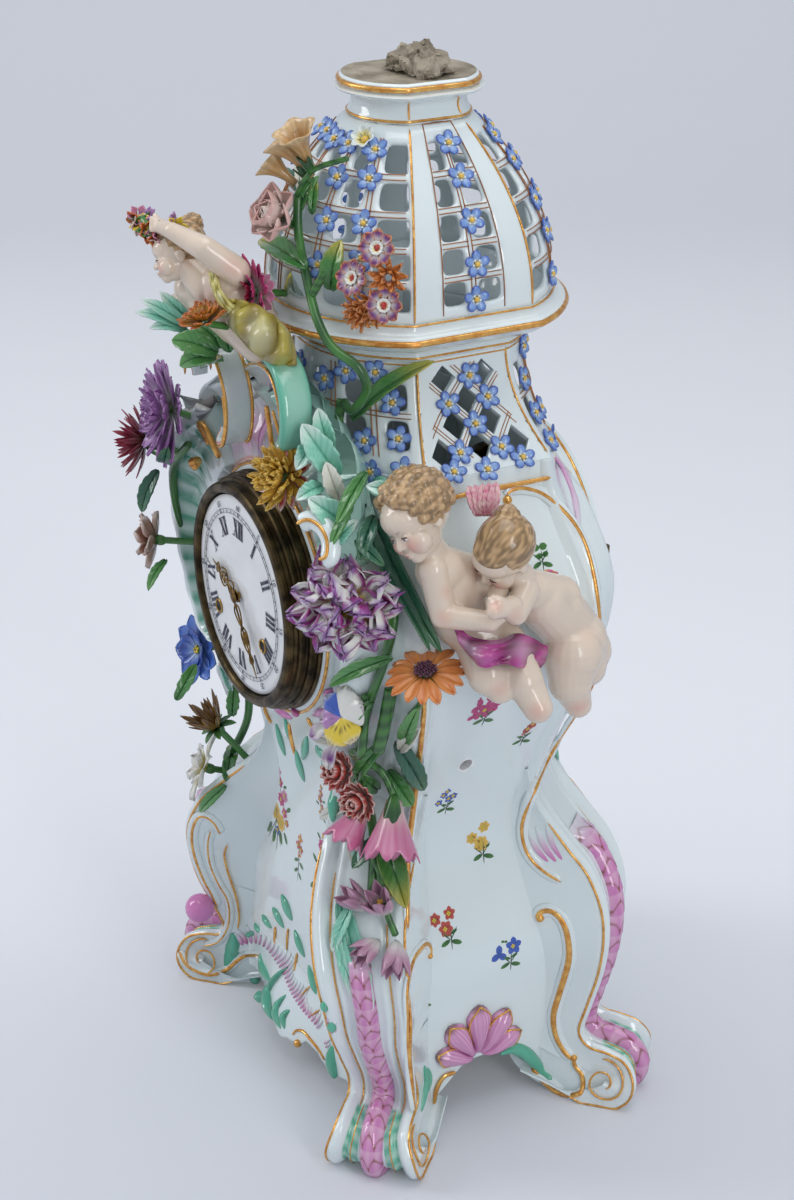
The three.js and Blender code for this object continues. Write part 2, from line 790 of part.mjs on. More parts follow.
// A dished flower head with pointed petals, drawn facing +Z
function rosette(radius, petals, cup) {
  const rings = [];
  const ringAt = (height) => {
    const ring = [];
    for (let side = 0; side < petals * 2; side += 1) {
      const angle = (side / (petals * 2)) * Math.PI * 2;
      const reach = radius * (side % 2 === 0 ? 1 : petalNotch);
      ring.push(new THREE.Vector3(reach * Math.cos(angle), reach * Math.sin(angle), height));
    }
    return ring;
  };
  rings.push(ringAt(cup * radius - petalThickness / 2));
  rings.push(ringAt(cup * radius + petalThickness / 2));
  return loftGeometry(rings, false, petalThickness / 2, -petalThickness);
}

function flowerHead({ at, toward, radius, petals, cup = 0.25, tiers = 1, stalk = 8 }) {
  const solids = [];
  for (let tier = 0; tier < tiers; tier += 1) {
    const share = 1 - tier * 0.28;
    const head = rosette(radius * share, petals, cup + tier * 0.12);
    const lift = new THREE.Vector3(...toward).normalize().multiplyScalar(tier * radius * 0.12);
    solids.push(facing(head, [at[0] + lift.x, at[1] + lift.y, at[2] + lift.z], toward, tier * 0.3));
  }
  const back = new THREE.Vector3(...toward).normalize().multiplyScalar(-stalk);
  const foot = [at[0] + back.x, at[1] + back.y, at[2] + back.z];
  solids.push(limb(foot, at, stemRadius, stemRadius * 1.1));
  return join(solids);
}

// Figures, built up from rounded limbs; grow widens them for what rests on them

function nymph(grow = 0) {
  const flesh = (from, to, first, second) => limb(from, to, first + grow, second + grow);
  const lump = (at, radii, sides, rings) => ball(at, radii.map((radius) => radius + grow), sides, rings);
  return join([
    lump([-27, -97, 407], [10, 10.5, 12]),
    lump([-12, -93, 414], [11, 8.5, 8.5], 6, 4),
    flesh([-22, -94, 402], [-4, -84, 393], 6, 8),
    flesh([-2, -82, 392], [6, -70, 376], 14, 13),
    flesh([-4, -86, 398], [0, -80, 396], 9, 8),
    flesh([6, -78, 399], [-4, -95, 414], 6.2, 5.2),
    flesh([-4, -95, 414], [-30, -106, 422], 5.2, 3.8),
    flesh([-30, -106, 422], [-38, -106, 420], 4.4, 3.6),
    flesh([-14, -78, 394], [-34, -88, 384], 5.6, 4.6),
  ]);
}

function nymphDrape() {
  const folds = [
    ball([10, -64, 374], [22, 14, 17], 8, 5),
    ball([24, -60, 366], [16, 11, 14], 6, 4),
  ];
  return mainBody(cutAway(join(folds), [nymph(gap), neckEnvelope, crestEnvelope, scrollEnvelope, caseEnvelope]));
}

function boy(grow = 0) {
  const flesh = (from, to, first, second) => limb(from, to, first + grow, second + grow);
  const lump = (at, radii, sides, rings) => ball(at, radii.map((radius) => radius + grow), sides, rings);
  return join([
    lump([98, -51, 325], [12.8, 13, 15]),
    flesh([100, -42, 310], [101, -34, 300], 6, 8),
    flesh([101, -36, 298], [103, -20, 268], 12.5, 12.5),
    flesh([103, -20, 264], [106, -12, 252], 13, 11),
    flesh([105, -44, 296], [114, -36, 276], 5.6, 4.6),
    flesh([114, -36, 276], [118, -18, 284], 4.6, 3.6),
    flesh([118, -18, 284], [117, -12, 287], 3.8, 3),
    flesh([106, -24, 256], [113, -22, 240], 8.4, 6.4),
    flesh([113, -22, 240], [108, -24, 226], 5.8, 4),
    flesh([106, -12, 252], [114, -8, 238], 8.2, 6.2),
    flesh([114, -8, 238], [110, -10, 222], 5.6, 3.8),
  ]);
}

function girl(grow = 0) {
  const flesh = (from, to, first, second) => limb(from, to, first + grow, second + grow);
  const lump = (at, radii, sides, rings) => ball(at, radii.map((radius) => radius + grow), sides, rings);
  return join([
    lump([113, -11, 305], [12, 12.5, 14]),
    lump([111, -4, 320], [6, 6, 5.5], 6, 4),
    flesh([112, -4, 294], [109, 4, 286], 6, 8),
    flesh([108, 4, 284], [102, 26, 260], 12, 13.5),
    flesh([102, 26, 256], [104, 26, 244], 13.5, 13),
    flesh([116, 0, 284], [122, -8, 272], 5.2, 4.4),
    flesh([122, -8, 272], [116, -20, 276], 4.4, 3.2),
    flesh([106, 26, 246], [108, 28, 228], 9, 7),
    flesh([108, 28, 228], [100, 34, 216], 6.4, 4.4),
  ]);
}

function puttiDrape() {
  const wrap = join([
    ball([104, -14, 252], [17, 19, 8], 9, 5),
    limb([112, -28, 258], [118, 4, 246], 6, 5),
  ]);
  return mainBody(cutAway(wrap, [boyEnvelope, girlEnvelope, caseEnvelope]));
}

// Vines that carry the flowers

const rightVineLine = [
  [61, -51, 309], [80, -50, 280], [84, -55, 259], [74, -58, 232], [62, -57, 201], [55, -51, 175], [61, -50, 155],
  [77, -60, 127],
];
const leftVineLine = [
  [-59, -81, 309], [-88, -80, 285], [-90, -76, 256], [-80, -62, 225], [-68, -54, 192], [-60, -55, 162], [-66, -62, 136],
];
const domeVineLine = [
  [4, -54, 436], [14, -59, 421], [30, -60, 400], [41, -61, 388], [55, -54, 382], [52, -46, 366], [40, -50, 350],
  [40, -58, 336],
];

function rightVine(grow = 0) {
  return join([
    tubeAlong(rightVineLine, stemRadius + grow, 14),
    leafBlade([85, -56, 258], [-0.45, -0.05, 0.89], [0.7, -0.7, 0.2], 62, 16, grow),
    leafBlade([83, -55, 262], [0.15, 0.1, 0.97], [0.7, -0.7, 0.2], 40, 14, grow),
    leafBlade([76, -59, 236], [-0.8, -0.4, 0.4], [0.4, -0.9, 0.2], 24, 12, grow),
    leafBlade([62, -58, 203], [0.6, 0.2, 0.7], [0.7, -0.7, 0.1], 30, 14, grow),
    leafBlade([56, -52, 168], [0.6, 0.3, -0.7], [0.7, -0.7, 0.2], 34, 18, grow),
    leafBlade([60, -51, 156], [-0.3, -0.7, -0.7], [0.5, -0.8, 0.2], 26, 13, grow),
  ]);
}

function leftVine(grow = 0) {
  return join([
    tubeAlong(leftVineLine, stemRadius + grow, 12),
    leafBlade([-88, -80, 283], [-0.4, -0.5, -0.75], [-0.5, -0.8, 0.2], 30, 14, grow),
    leafBlade([-82, -65, 230], [-0.5, -0.5, -0.7], [-0.4, -0.8, 0.3], 28, 13, grow),
    leafBlade([-68, -54, 190], [0.3, -0.6, -0.75], [-0.2, -0.9, 0.2], 26, 13, grow),
  ]);
}

function domeVine(grow = 0) {
  return join([
    tubeAlong(domeVineLine, stemRadius + grow, 13),
    leafBlade([34, -61, 396], [-0.25, -0.2, 0.95], [0.5, -0.8, 0.2], 34, 26, grow),
    leafBlade([40, -61, 390], [0.3, 0.2, 0.9], [0.6, -0.7, 0.3], 36, 22, grow),
    leafBlade([20, -60, 414], [-0.6, -0.5, -0.3], [0.4, -0.8, 0.4], 28, 21, grow),
    leafBlade([49, -46, 362], [0.75, 0.5, 0.35], [0.6, -0.6, 0.5], 44, 17, grow),
  ]);
}

const flowerHeads = {
  dahlia_flower: { colour: 0x9a5f95, at: [-67, -86, 322], toward: [0.1, -0.95, 0.2], radius: 21, petals: 9, tiers: 2, stalk: 20 },
  aster_flower: { colour: 0x8a2440, at: [-93, -90, 299], toward: [-0.6, -0.8, 0], radius: 16, petals: 9, cup: 0.5, stalk: 16 },
  left_brown_flower: { colour: 0x8f5a44, at: [-84, -90, 252], toward: [-0.6, -0.8, 0.1], radius: 14, petals: 6, stalk: 15 },
  blue_flower: { colour: 0x3f62b8, at: [-73, -75, 195], toward: [-0.3, -0.9, 0.2], radius: 12.5, petals: 6, stalk: 20 },
  left_lower_flower: { colour: 0x6b4a2a, at: [-60, -73, 158], toward: [-0.1, -0.95, 0.2], radius: 13, petals: 8, cup: 0.5, stalk: 19 },
  lily_flower: { colour: 0xe6e2d6, at: [-68, -76, 132], toward: [-0.4, -0.8, 0.3], radius: 13, petals: 6, cup: 0.5, stalk: 16 },
  chrysanthemum_flower: { colour: 0xb8862c, at: [33, -77, 324], toward: [0.4, -0.85, 0.3], radius: 16, petals: 9, cup: 0.4, stalk: 11 },
  carnation_flower: { colour: 0xc9b0cf, at: [78, -70, 281], toward: [0.75, -0.62, 0.22], radius: 25, petals: 9, tiers: 2, stalk: 15 },
  daisy_flower: { colour: 0xd98a4c, at: [105, -48, 257], toward: [0.2, -0.25, 0.94], radius: 15.5, petals: 10, stalk: 12 },
  pansy_flower: { colour: 0xd8b24a, at: [71, -68, 223], toward: [0.3, -0.9, 0.3], radius: 10, petals: 5, stalk: 10 },
  red_double_flower: { colour: 0xb0463f, at: [60, -59, 182], toward: [0.7, -0.7, 0], radius: 11, petals: 8, stalk: 11 },
  bell_flower: { colour: 0xcf82a4, at: [73, -43, 166], toward: [0.4, -0.3, -0.86], radius: 12.5, petals: 8, cup: 0.7, stalk: 12 },
  tulip_flower: { colour: 0xb58fae, at: [79, -63, 132], toward: [0.5, -0.6, 0.6], radius: 11, petals: 6, cup: 0.8, stalk: 10 },
  lower_tulip_flower: { colour: 0xb58fae, at: [93, -59, 118], toward: [0.7, -0.6, 0.1], radius: 10, petals: 6, cup: 0.8, stalk: 12 },
  trumpet_flower: { colour: 0xa8763f, at: [5, -53, 454], toward: [-0.2, -0.6, 0.78], radius: 11, petals: 8, cup: 0.8, stalk: 14 },
  rose_flower: { colour: 0xdcc4c0, at: [9, -64, 427], toward: [0.1, -0.9, 0.4], radius: 13, petals: 6, cup: 0.5, stalk: 11 },
  pink_aster_flower: { colour: 0xc43e74, at: [7, -76, 397], toward: [-0.15, -0.95, 0.25], radius: 12, petals: 10, cup: 0.5, stalk: 14 },
  auricula_flower: { colour: 0x8d5a3c, at: [56, -40, 413], toward: [0.7, -0.66, 0.2], radius: 14, petals: 7, stalk: 10 },
};

// Metal: mount, dial, hands

function lift(profile) {
  return turnedAlongY(profile).translate([0, 0, dialHeight]);
}

const bezelSleeveBack = bossFront + 8;

function bezelRing() {
  const back = bossFront - gap;
  const front = dialFront + 0.6;
  const depth = back - front;
  const floorBack = dialFront + dialThickness + gap + ringFloorThickness;
  const profile = [[ringBore - 6, floorBack - ringFloorThickness], [ringBore, floorBack - ringFloorThickness]];
  profile.push([ringBore, front]);
  ringSteps.slice().reverse().forEach((radius, step) => {
    const share = step / ringSteps.length;
    profile.push([radius, front + depth * share]);
    profile.push([radius, front + depth * (share + 0.8 / ringSteps.length)]);
  });
  profile.push([ringSteps[0], back]);
  profile.push([ringBore, back]);
  profile.push([ringBore, bezelSleeveBack]);
  profile.push([ringBore - sleeveWall, bezelSleeveBack]);
  profile.push([ringBore - sleeveWall, floorBack]);
  profile.push([ringBore - 6, floorBack]);
  profile.push(profile[0]);
  return lift(profile);
}

function dial() {
  const edge = dialFront + 0.8;
  const back = dialFront + dialThickness;
  const profile = [[0, dialFront], [dialRadius - 6, dialFront + 0.2], [dialRadius, edge], [dialRadius, back], [0, back]];
  const plate = lift(profile);
  const holes = [rodAlongY(4, 0, dialHeight, dialFront - 1, back + 1, 12)];
  for (const side of [-1, 1]) {
    const radius = windingArbor.radius + 1.4;
    holes.push(rodAlongY(radius, side * windingArbor.x, dialHeight - windingArbor.drop, dialFront - 1, back + 1, 8));
  }
  return cutAway(plate, holes);
}

// A pierced hand drawn upwards from the centre
function handShape(length, width) {
  const shape = new THREE.Shape();
  shape.moveTo(-1, 0);
  shape.lineTo(-1.1, length * 0.3);
  shape.quadraticCurveTo(-width, length * 0.38, -width * 0.7, length * 0.52);
  shape.quadraticCurveTo(-width * 0.2, length * 0.66, -0.9, length * 0.72);
  shape.lineTo(-0.4, length);
  shape.lineTo(0.4, length);
  shape.lineTo(0.9, length * 0.72);
  shape.quadraticCurveTo(width * 0.2, length * 0.66, width * 0.7, length * 0.52);
  shape.quadraticCurveTo(width, length * 0.38, 1.1, length * 0.3);
  shape.lineTo(1, 0);
  const eye = new THREE.Path();
  eye.absellipse(0, length * 0.46, width * 0.32, length * 0.07, 0, Math.PI * 2);
  shape.holes.push(eye);
  return shape;
}

function hand(length, width, yFront, thickness, boss, bore, angle) {
  const blade = slabAlongY(handShape(length, width), yFront, yFront + thickness, 3);
  const hub = rodAlongY(boss, 0, 0, yFront, yFront + thickness, 10);
  const solid = blade.add(hub).subtract(rodAlongY(bore, 0, 0, yFront - 9, yFront + 9));
  return solid.rotate([0, angle, 0]).translate([0, 0, dialHeight]);
}

// Movement

const plateFront = dialFront + dialThickness + gap * 2 + ringFloorThickness;
const plateBack = plateFront + plateThickness;
const rearPlateFront = plateBack + plateSpacing;
const rearPlateBack = rearPlateFront + plateThickness;
const pinionRadius = (centreWheelRadius * pinionLeaves) / wheelTeeth;
const escapePinionRadius = (thirdWheelRadius * pinionLeaves) / wheelTeeth;
const thirdArbor = offsetFrom([0, 0], centreWheelRadius + pinionRadius, 120);
const escapeArbor = offsetFrom(thirdArbor, thirdWheelRadius + escapePinionRadius, 40);
const centreWheelFront = rearPlateFront - 6;
const thirdWheelFront = rearPlateFront - 13;
const escapeWheelFront = rearPlateFront - 3.5;

function offsetFrom([x, z], distance, degrees) {
  const angle = THREE.MathUtils.degToRad(degrees);
  return [x + distance * Math.cos(angle), z + distance * Math.sin(angle)];
}

function toothedShape(pitchRadius, teeth, phase) {
  const shape = new THREE.Shape();
  const pitch = (Math.PI * 2) / teeth;
  const corners = [[-0.28, -0.5], [0, 0.5], [0.28, -0.5]];
  for (let tooth = 0; tooth < teeth; tooth += 1) {
    for (const [share, height] of corners) {
      const angle = phase + pitch * (tooth + share);
      const radius = pitchRadius + height * toothDepth - 0.1;
      const method = tooth === 0 && share === corners[0][0] ? 'moveTo' : 'lineTo';
      shape[method](radius * Math.cos(angle), radius * Math.sin(angle));
    }
  }
  shape.closePath();
  return shape;
}

function toothed(pitchRadius, teeth, phase, at, yFront, thickness) {
  const wheel = slabAlongY(toothedShape(pitchRadius, teeth, phase), yFront, yFront + thickness, 1);
  return wheel.translate([at[0], 0, dialHeight + at[1]]);
}

function arborBetweenPlates(at) {
  const shaft = rodAlongY(arborRadius, at[0], dialHeight + at[1], plateBack + gap, rearPlateFront - gap, 8);
  const pivot = rodAlongY(pivotRadius, at[0], dialHeight + at[1], plateFront + 0.4, rearPlateBack - 0.4, 8);
  return shaft.add(pivot);
}

// Meshing wheels share the line of centres: a tooth of one faces a space of the other
function meshPhase(teeth, degrees, hasTooth) {
  const line = THREE.MathUtils.degToRad(degrees);
  return hasTooth ? line : line + Math.PI / teeth;
}

function centreWheel() {
  const wheel = toothed(centreWheelRadius, wheelTeeth, meshPhase(wheelTeeth, 120, true), [0, 0],
    centreWheelFront, wheelThickness);
  const arbor = rodAlongY(arborRadius, 0, dialHeight, dialFront - 2.2, rearPlateFront - gap, 10);
  const pivot = rodAlongY(pivotRadius, 0, dialHeight, rearPlateFront - 1, rearPlateBack - 0.4, 8);
  return join([wheel, arbor, pivot]);
}

function thirdWheel() {
  const wheel = toothed(thirdWheelRadius, wheelTeeth, meshPhase(wheelTeeth, 40, true), thirdArbor,
    thirdWheelFront, wheelThickness);
  const pinion = toothed(pinionRadius, pinionLeaves, meshPhase(pinionLeaves, 300, false), thirdArbor,
    centreWheelFront - 1, wheelThickness + 2);
  return join([wheel, pinion, arborBetweenPlates(thirdArbor)]);
}

function escapeWheel() {
  const shape = new THREE.Shape();
  for (let tooth = 0; tooth < escapeTeeth; tooth += 1) {
    const angle = (tooth / escapeTeeth) * Math.PI * 2;
    const method = tooth === 0 ? 'moveTo' : 'lineTo';
    shape[method](escapeRadius * Math.cos(angle), escapeRadius * Math.sin(angle));
    const root = angle + (Math.PI * 2 * 0.3) / escapeTeeth;
    shape.lineTo(escapeRadius * 0.74 * Math.cos(root), escapeRadius * 0.74 * Math.sin(root));
  }
  shape.closePath();
  const wheel = slabAlongY(shape, escapeWheelFront, escapeWheelFront + wheelThickness, 1)
    .translate([escapeArbor[0], 0, dialHeight + escapeArbor[1]]);
  const pinion = toothed(escapePinionRadius, pinionLeaves, meshPhase(pinionLeaves, 220, false), escapeArbor,
    thirdWheelFront - 1, wheelThickness + 2);
  return join([wheel, pinion, arborBetweenPlates(escapeArbor)]);
}

function anchor() {
  const shape = new THREE.Shape();
  const reach = escapeRadius + 0.9;
  const drop = anchorRise - escapeArbor[1];
  const middle = escapeArbor[0];
  shape.moveTo(-3, 2);
  shape.lineTo(3, 2);
  shape.lineTo(middle + reach + 1.8, -drop + 8);
  shape.lineTo(middle + reach + 1.4, -drop - 0.5);
  shape.lineTo(middle + reach, -drop + 0.8);
  shape.lineTo(middle + reach - 1.4, -drop + 7.7);
  shape.lineTo(middle - reach + 1.4, -drop + 7.7);
  shape.lineTo(middle - reach, -drop + 0.8);
  shape.lineTo(middle - reach - 1.4, -drop - 0.5);
  shape.lineTo(middle - reach - 1.8, -drop + 8);
  shape.closePath();
  const axisHeight = dialHeight + anchorRise;
  const pallets = slabAlongY(shape, escapeWheelFront, escapeWheelFront + wheelThickness, 1)
    .translate([0, 0, axisHeight]);
  const crutchPlane = rearPlateBack + 1.2;
  const shaft = rodAlongY(arborRadius, 0, axisHeight, plateBack + gap, rearPlateFront - gap, 8);
  const pivot = rodAlongY(pivotRadius, 0, axisHeight, plateFront + 0.4, crutchPlane + 1.4, 8);
  const arm = box([-1, crutchPlane, axisHeight - 26], [1, crutchPlane + 1.4, axisHeight + 1]);
  const inside = rodWidth / 2 + runningGap;
  const bridge = box([-inside - 1, crutchPlane, axisHeight - 27], [inside + 1, crutchPlane + 1.4, axisHeight - 24]);
  const tines = [-1, 1].map((side) => {
    const edges = [side * inside, side * (inside + 1)].sort((a, b) => a - b);
    const tineBack = pendulumPlane + rodWidth / 2;
    return box([edges[0], crutchPlane, axisHeight - 27], [edges[1], tineBack, axisHeight - 24]);
  });
  return join([pallets, shaft, pivot, arm, bridge, ...tines]);
}

const pivotHoles = [thirdArbor, escapeArbor, [0, anchorRise]];

function platePiercings(front, back) {
  const holes = pivotHoles.map(([x, z]) => rodAlongY(pivotRadius + gap, x, dialHeight + z, front, back, 6));
  for (const side of [-1, 1]) {
    const z = dialHeight - windingArbor.drop;
    holes.push(rodAlongY(windingArbor.radius + gap, side * windingArbor.x, z, front, back, 10));
  }
  return holes;
}

function frontPlate() {
  const plate = disc(plateRadius, plateFront, plateBack);
  const pillars = [45, 135, 250, 290].map((degrees) => {
    const [x, z] = offsetFrom([0, 0], pillarCircle, degrees);
    return rodAlongY(pillarRadius, x, dialHeight + z, plateBack - 0.5, rearPlateFront - gap, 6);
  });
  const holes = platePiercings(plateFront - 1, plateBack + 1);
  holes.push(rodAlongY(arborRadius + gap, 0, dialHeight, plateFront - 1, plateBack + 1, 10));
  return cutAway(join([plate, ...pillars]), holes);
}

function backPlate() {
  const plate = disc(plateRadius, rearPlateFront, rearPlateBack);
  const post = rodAlongY(bellPostRadius, bellOffset.x, dialHeight - bellOffset.drop, rearPlateBack - 0.5,
    bellMouth + bellDepth + 4, 10);
  const axisHeight = dialHeight + anchorRise;
  const cock = box([-6, rearPlateBack - 0.5, axisHeight + 1.4], [6, pendulumPlane + 3, axisHeight + 5]);
  const holes = platePiercings(rearPlateFront - 1, rearPlateBack + 1);
  holes.push(rodAlongY(pivotRadius + gap, 0, dialHeight, rearPlateFront - 1, rearPlateBack + 1, 8));
  const slot = box([-0.9, pendulumPlane - 1.6, axisHeight], [0.9, pendulumPlane + 1.6, axisHeight + 8]);
  return cutAway(join([plate, post, cock]), [...holes, slot]);
}

function windingBarrel(side) {
  const x = side * windingArbor.x;
  const z = dialHeight - windingArbor.drop;
  const drum = rodAlongY(barrelRadius, x, z, plateBack + 2, plateBack + 2 + barrelLength, 16);
  const arbor = rodAlongY(windingArbor.radius, x, z, plateFront - 1.5, rearPlateBack - 0.4, 8);
  const half = windingArbor.square / 2;
  const key = box([x - half, dialFront + 0.6, z - half], [x + half, plateFront, z + half]);
  return join([drum, arbor, key]);
}

function pendulum() {
  const axisHeight = dialHeight + anchorRise;
  const spring = box([-0.4, pendulumPlane - 1.2, axisHeight - 4], [0.4, pendulumPlane + 1.2, axisHeight + 4.4]);
  const half = rodWidth / 2;
  const rod = box([-half, pendulumPlane - half, bobHeight], [half, pendulumPlane + half, axisHeight - 3]);
  const profile = [[0, -bobThickness / 2], [bobRadius * 0.8, -bobThickness * 0.25], [bobRadius, 0]];
  profile.push([bobRadius * 0.8, bobThickness * 0.25]);
  profile.push([0, bobThickness / 2]);
  const bob = turnedAlongY(profile, 14).translate([0, pendulumPlane, bobHeight]);
  return join([spring, rod, bob]);
}

function bell() {
  const back = bellMouth + bellDepth;
  const thin = bellWall;
  const profile = [[bellRadius, bellMouth], [bellRadius * 0.96, bellMouth + bellDepth * 0.4]];
  profile.push([bellRadius * 0.76, bellMouth + bellDepth * 0.82]);
  profile.push([bellRadius * 0.4, back]);
  profile.push([bellPostRadius + gap, back]);
  profile.push([bellPostRadius + gap, back - thin]);
  profile.push([bellRadius * 0.4, back - thin]);
  profile.push([bellRadius * 0.76 - thin, bellMouth + bellDepth * 0.82 - thin]);
  profile.push([bellRadius * 0.96 - thin, bellMouth + bellDepth * 0.4]);
  profile.push([bellRadius - thin, bellMouth]);
  profile.push(profile[0]);
  return turnedAlongY(profile, 16).translate([bellOffset.x, 0, dialHeight - bellOffset.drop]);
}

const hammerPivot = [-30, -24];
const hammerPlane = bellMouth - 4.5;

function hammer() {
  const headX = bellOffset.x - bellRadius - hammerHeadRadius - 0.5;
  const headZ = dialHeight - bellOffset.drop;
  const [pivotX, pivotZ] = [hammerPivot[0], dialHeight + hammerPivot[1]];
  const head = rodAlongY(hammerHeadRadius, headX, headZ, hammerPlane, bellMouth + 4, 12);
  const arm = limb([pivotX, hammerPlane + 1.6, pivotZ], [headX, hammerPlane + 1.6, headZ], 1.4, 1.4);
  const arbor = rodAlongY(arborRadius, pivotX, pivotZ, rearPlateBack + gap, hammerPlane + 3, 8);
  return join([head, arm, arbor]);
}

function caseStrap(side) {
  const front = bezelSleeveBack - strapLap;
  const inside = (ringBore - sleeveWall) * Math.cos(Math.PI / turnedSides) - gap;
  const outer = Math.sqrt(inside ** 2 - (strapWidth / 2) ** 2);
  const edges = [side * outer, side * (outer - strapThickness)].sort((a, b) => a - b);
  const low = [edges[0], front, dialHeight - strapWidth / 2];
  const high = [edges[1], rearBossFront, dialHeight + strapWidth / 2];
  return box(low, high);
}

// Rear ring, cover and hinge

const coverFront = rearBossBack + gap + 2.6;

function rearRing() {
  const face = rearBossBack + gap;
  const inner = ringBore - sleeveWall;
  const profile = [[inner, rearBossFront - strapLap], [rearBore - gap, rearBossFront - strapLap]];
  profile.push([rearBore - gap, face]);
  profile.push([rearBore + 4, face]);
  profile.push([rearBore + 4, face + 2]);
  profile.push([inner, face + 2]);
  profile.push(profile[0]);
  const ring = lift(profile);
  const axisY = coverFront + rearDoorThickness / 2;
  const lugs = [-1, 1].map((side) => {
    const near = side * (knuckleLength / 2 + gap);
    const far = side * (knuckleLength / 2 + gap + 4);
    const edges = [near, far].sort((a, b) => a - b).map((value) => value + dialHeight);
    const knuckle = rodAlongZ(hingeRadius, hingeReach, axisY, edges[0], edges[1], 10);
    const web = box([rearBore + 1, face + 0.5, edges[0]], [hingeReach, axisY, edges[1]]);
    return knuckle.add(web);
  });
  const pinHole = rodAlongZ(hingePinRadius + gap, hingeReach, axisY, dialHeight - 20, dialHeight + 20, 8);
  return join([ring, ...lugs]).subtract(pinHole);
}

function rearDoor() {
  const profile = [[0, coverFront], [rearDoorRadius, coverFront], [rearDoorRadius, coverFront + rearDoorThickness]];
  profile.push([rearDoorRadius - 8, coverFront + rearDoorThickness + 1.5]);
  profile.push([0, coverFront + rearDoorThickness + 1.5]);
  const cover = lift(profile);
  const axisY = coverFront + rearDoorThickness / 2;
  const half = knuckleLength / 2;
  const knuckle = rodAlongZ(hingeRadius, hingeReach, axisY, dialHeight - half, dialHeight + half, 10);
  const low = [rearDoorRadius - 2, coverFront, dialHeight - half];
  const tab = box(low, [hingeReach, coverFront + rearDoorThickness, dialHeight + half]);
  const pinHole = rodAlongZ(hingePinRadius + gap, hingeReach, axisY, dialHeight - 20, dialHeight + 20, 8);
  return join([cover, knuckle, tab]).subtract(pinHole);
}

function hingePin() {
  const axisY = coverFront + rearDoorThickness / 2;
  const half = knuckleLength / 2 + gap + 4;
  return rodAlongZ(hingePinRadius, hingeReach, axisY, dialHeight - half, dialHeight + half, 8);
}

// Assembly

addPart('case_body', caseBody(), glaze);
addPart('pierced_neck', neck(), glaze);
addPart('pierced_dome', dome(), glaze);
addPart('finial_stub', finialStub(), finish(colours.clay, 0.9, 0));

const legs = {
  leg_front_right: leg(-45, 1, frontLegSwell),
  leg_rear_right: leg(45, -1, 0),
  leg_rear_left: leg(135, 1, 0),
  leg_front_left: leg(225, -1, frontLegSwell),
};
for (const [name, solid] of Object.entries(legs)) addPart(name, solid, glaze);

addPart('side_shell_right', palmette(1), finish(colours.pink, 0.2, 0));
addPart('side_shell_left', palmette(-1), finish(colours.pink, 0.2, 0));

const crest = crestShell();
const crestEnvelope = sleeve(crest).add(crest.translate([0, 0, gap]));
addPart('crest_shell', crest, glaze);
const scrollBack = crestPlane + 3 - gap;
const whiteScroll = scrollBand(whiteScrollLine, 1.8, scrollBack - scrollDepth, scrollBack);
const leafScroll = mainBody(scrollBand(leafScrollLine, 3, scrollBack - scrollDepth, scrollBack).subtract(neckEnvelope));
const scrollEnvelope = sleeve(leafScroll).add(leafScroll.translate([0, 0, gap]));
addPart('crest_scroll_white', whiteScroll, glaze);
addPart('crest_scroll_leaf', leafScroll, finish(colours.seaGreen, 0.2, 0));
const shell = dialShell();
const shellEnvelope = sleeve(shell);
addPart('dial_shell_left', shell, finish(colours.seaGreen, 0.2, 0));

addPart('nymph', mainBody(cutAway(nymph(), [neckEnvelope, scrollEnvelope, crestEnvelope])), finish(colours.flesh, 0.25, 0));
addPart('nymph_drape', nymphDrape(), finish(colours.leaf, 0.25, 0));

const boyEnvelope = boy(gap);
const boySolid = boy().subtract(caseEnvelope).subtract(neckEnvelope);
addPart('putto_boy', mainBody(boySolid), finish(colours.flesh, 0.25, 0));
const girlEnvelope = girl(gap);
const girlSolid = girl().subtract(caseEnvelope).subtract(boyEnvelope);
addPart('putto_girl', mainBody(girlSolid), finish(colours.flesh, 0.25, 0));
addPart('putti_drape', puttiDrape(), finish(colours.pink, 0.25, 0));

const legEnvelopes = [sleeve(legs.leg_front_right), sleeve(legs.leg_front_left)];

const vines = {
  right_vine: mainBody(cutAway(rightVine(), [caseEnvelope, boyEnvelope, ...legEnvelopes])),
  left_vine: mainBody(cutAway(leftVine(), [caseEnvelope, shellEnvelope, crestEnvelope, ...legEnvelopes])),
  dome_vine: mainBody(cutAway(domeVine(), [neckEnvelope, crestEnvelope, caseEnvelope, nymph(gap)])),
};
for (const [name, solid] of Object.entries(vines)) addPart(name, solid, finish(colours.leaf, 0.3, 0));

const bedding = [...legEnvelopes, caseEnvelope, neckEnvelope, crestEnvelope, shellEnvelope];
bedding.push(rightVine(gap), leftVine(gap), domeVine(gap), boyEnvelope, nymph(gap));
for (const [name, { colour, ...sizes }] of Object.entries(flowerHeads)) {
  addPart(name, mainBody(cutAway(flowerHead(sizes), bedding)), finish(colour, 0.3, 0));
}

addPart('bezel_ring', bezelRing(), finish(colours.bronze, 0.45, 1));
addPart('dial', dial(), finish(colours.enamel, 0.2, 0));
addPart('hour_hand', hand(26, 5, dialFront - 1.5, 0.7, 3, 2 + gap, -48), brass);
addPart('minute_hand', hand(37, 4, dialFront - 2.7, 0.7, 2.6, arborRadius + gap, 138), brass);
addPart('front_plate', frontPlate(), brass);
addPart('back_plate', backPlate(), brass);
addPart('winding_barrel_left', windingBarrel(-1), brass);
addPart('winding_barrel_right', windingBarrel(1), brass);
addPart('centre_wheel', centreWheel(), brass);
addPart('third_wheel', thirdWheel(), brass);
addPart('escape_wheel', escapeWheel(), brass);
addPart('pallet_anchor', anchor(), steel);
addPart('pendulum', pendulum(), brass);
addPart('strike_bell', bell(), finish(colours.bell, 0.3, 1));
addPart('strike_hammer', hammer(), steel);
addPart('case_strap_left', caseStrap(-1), brass);
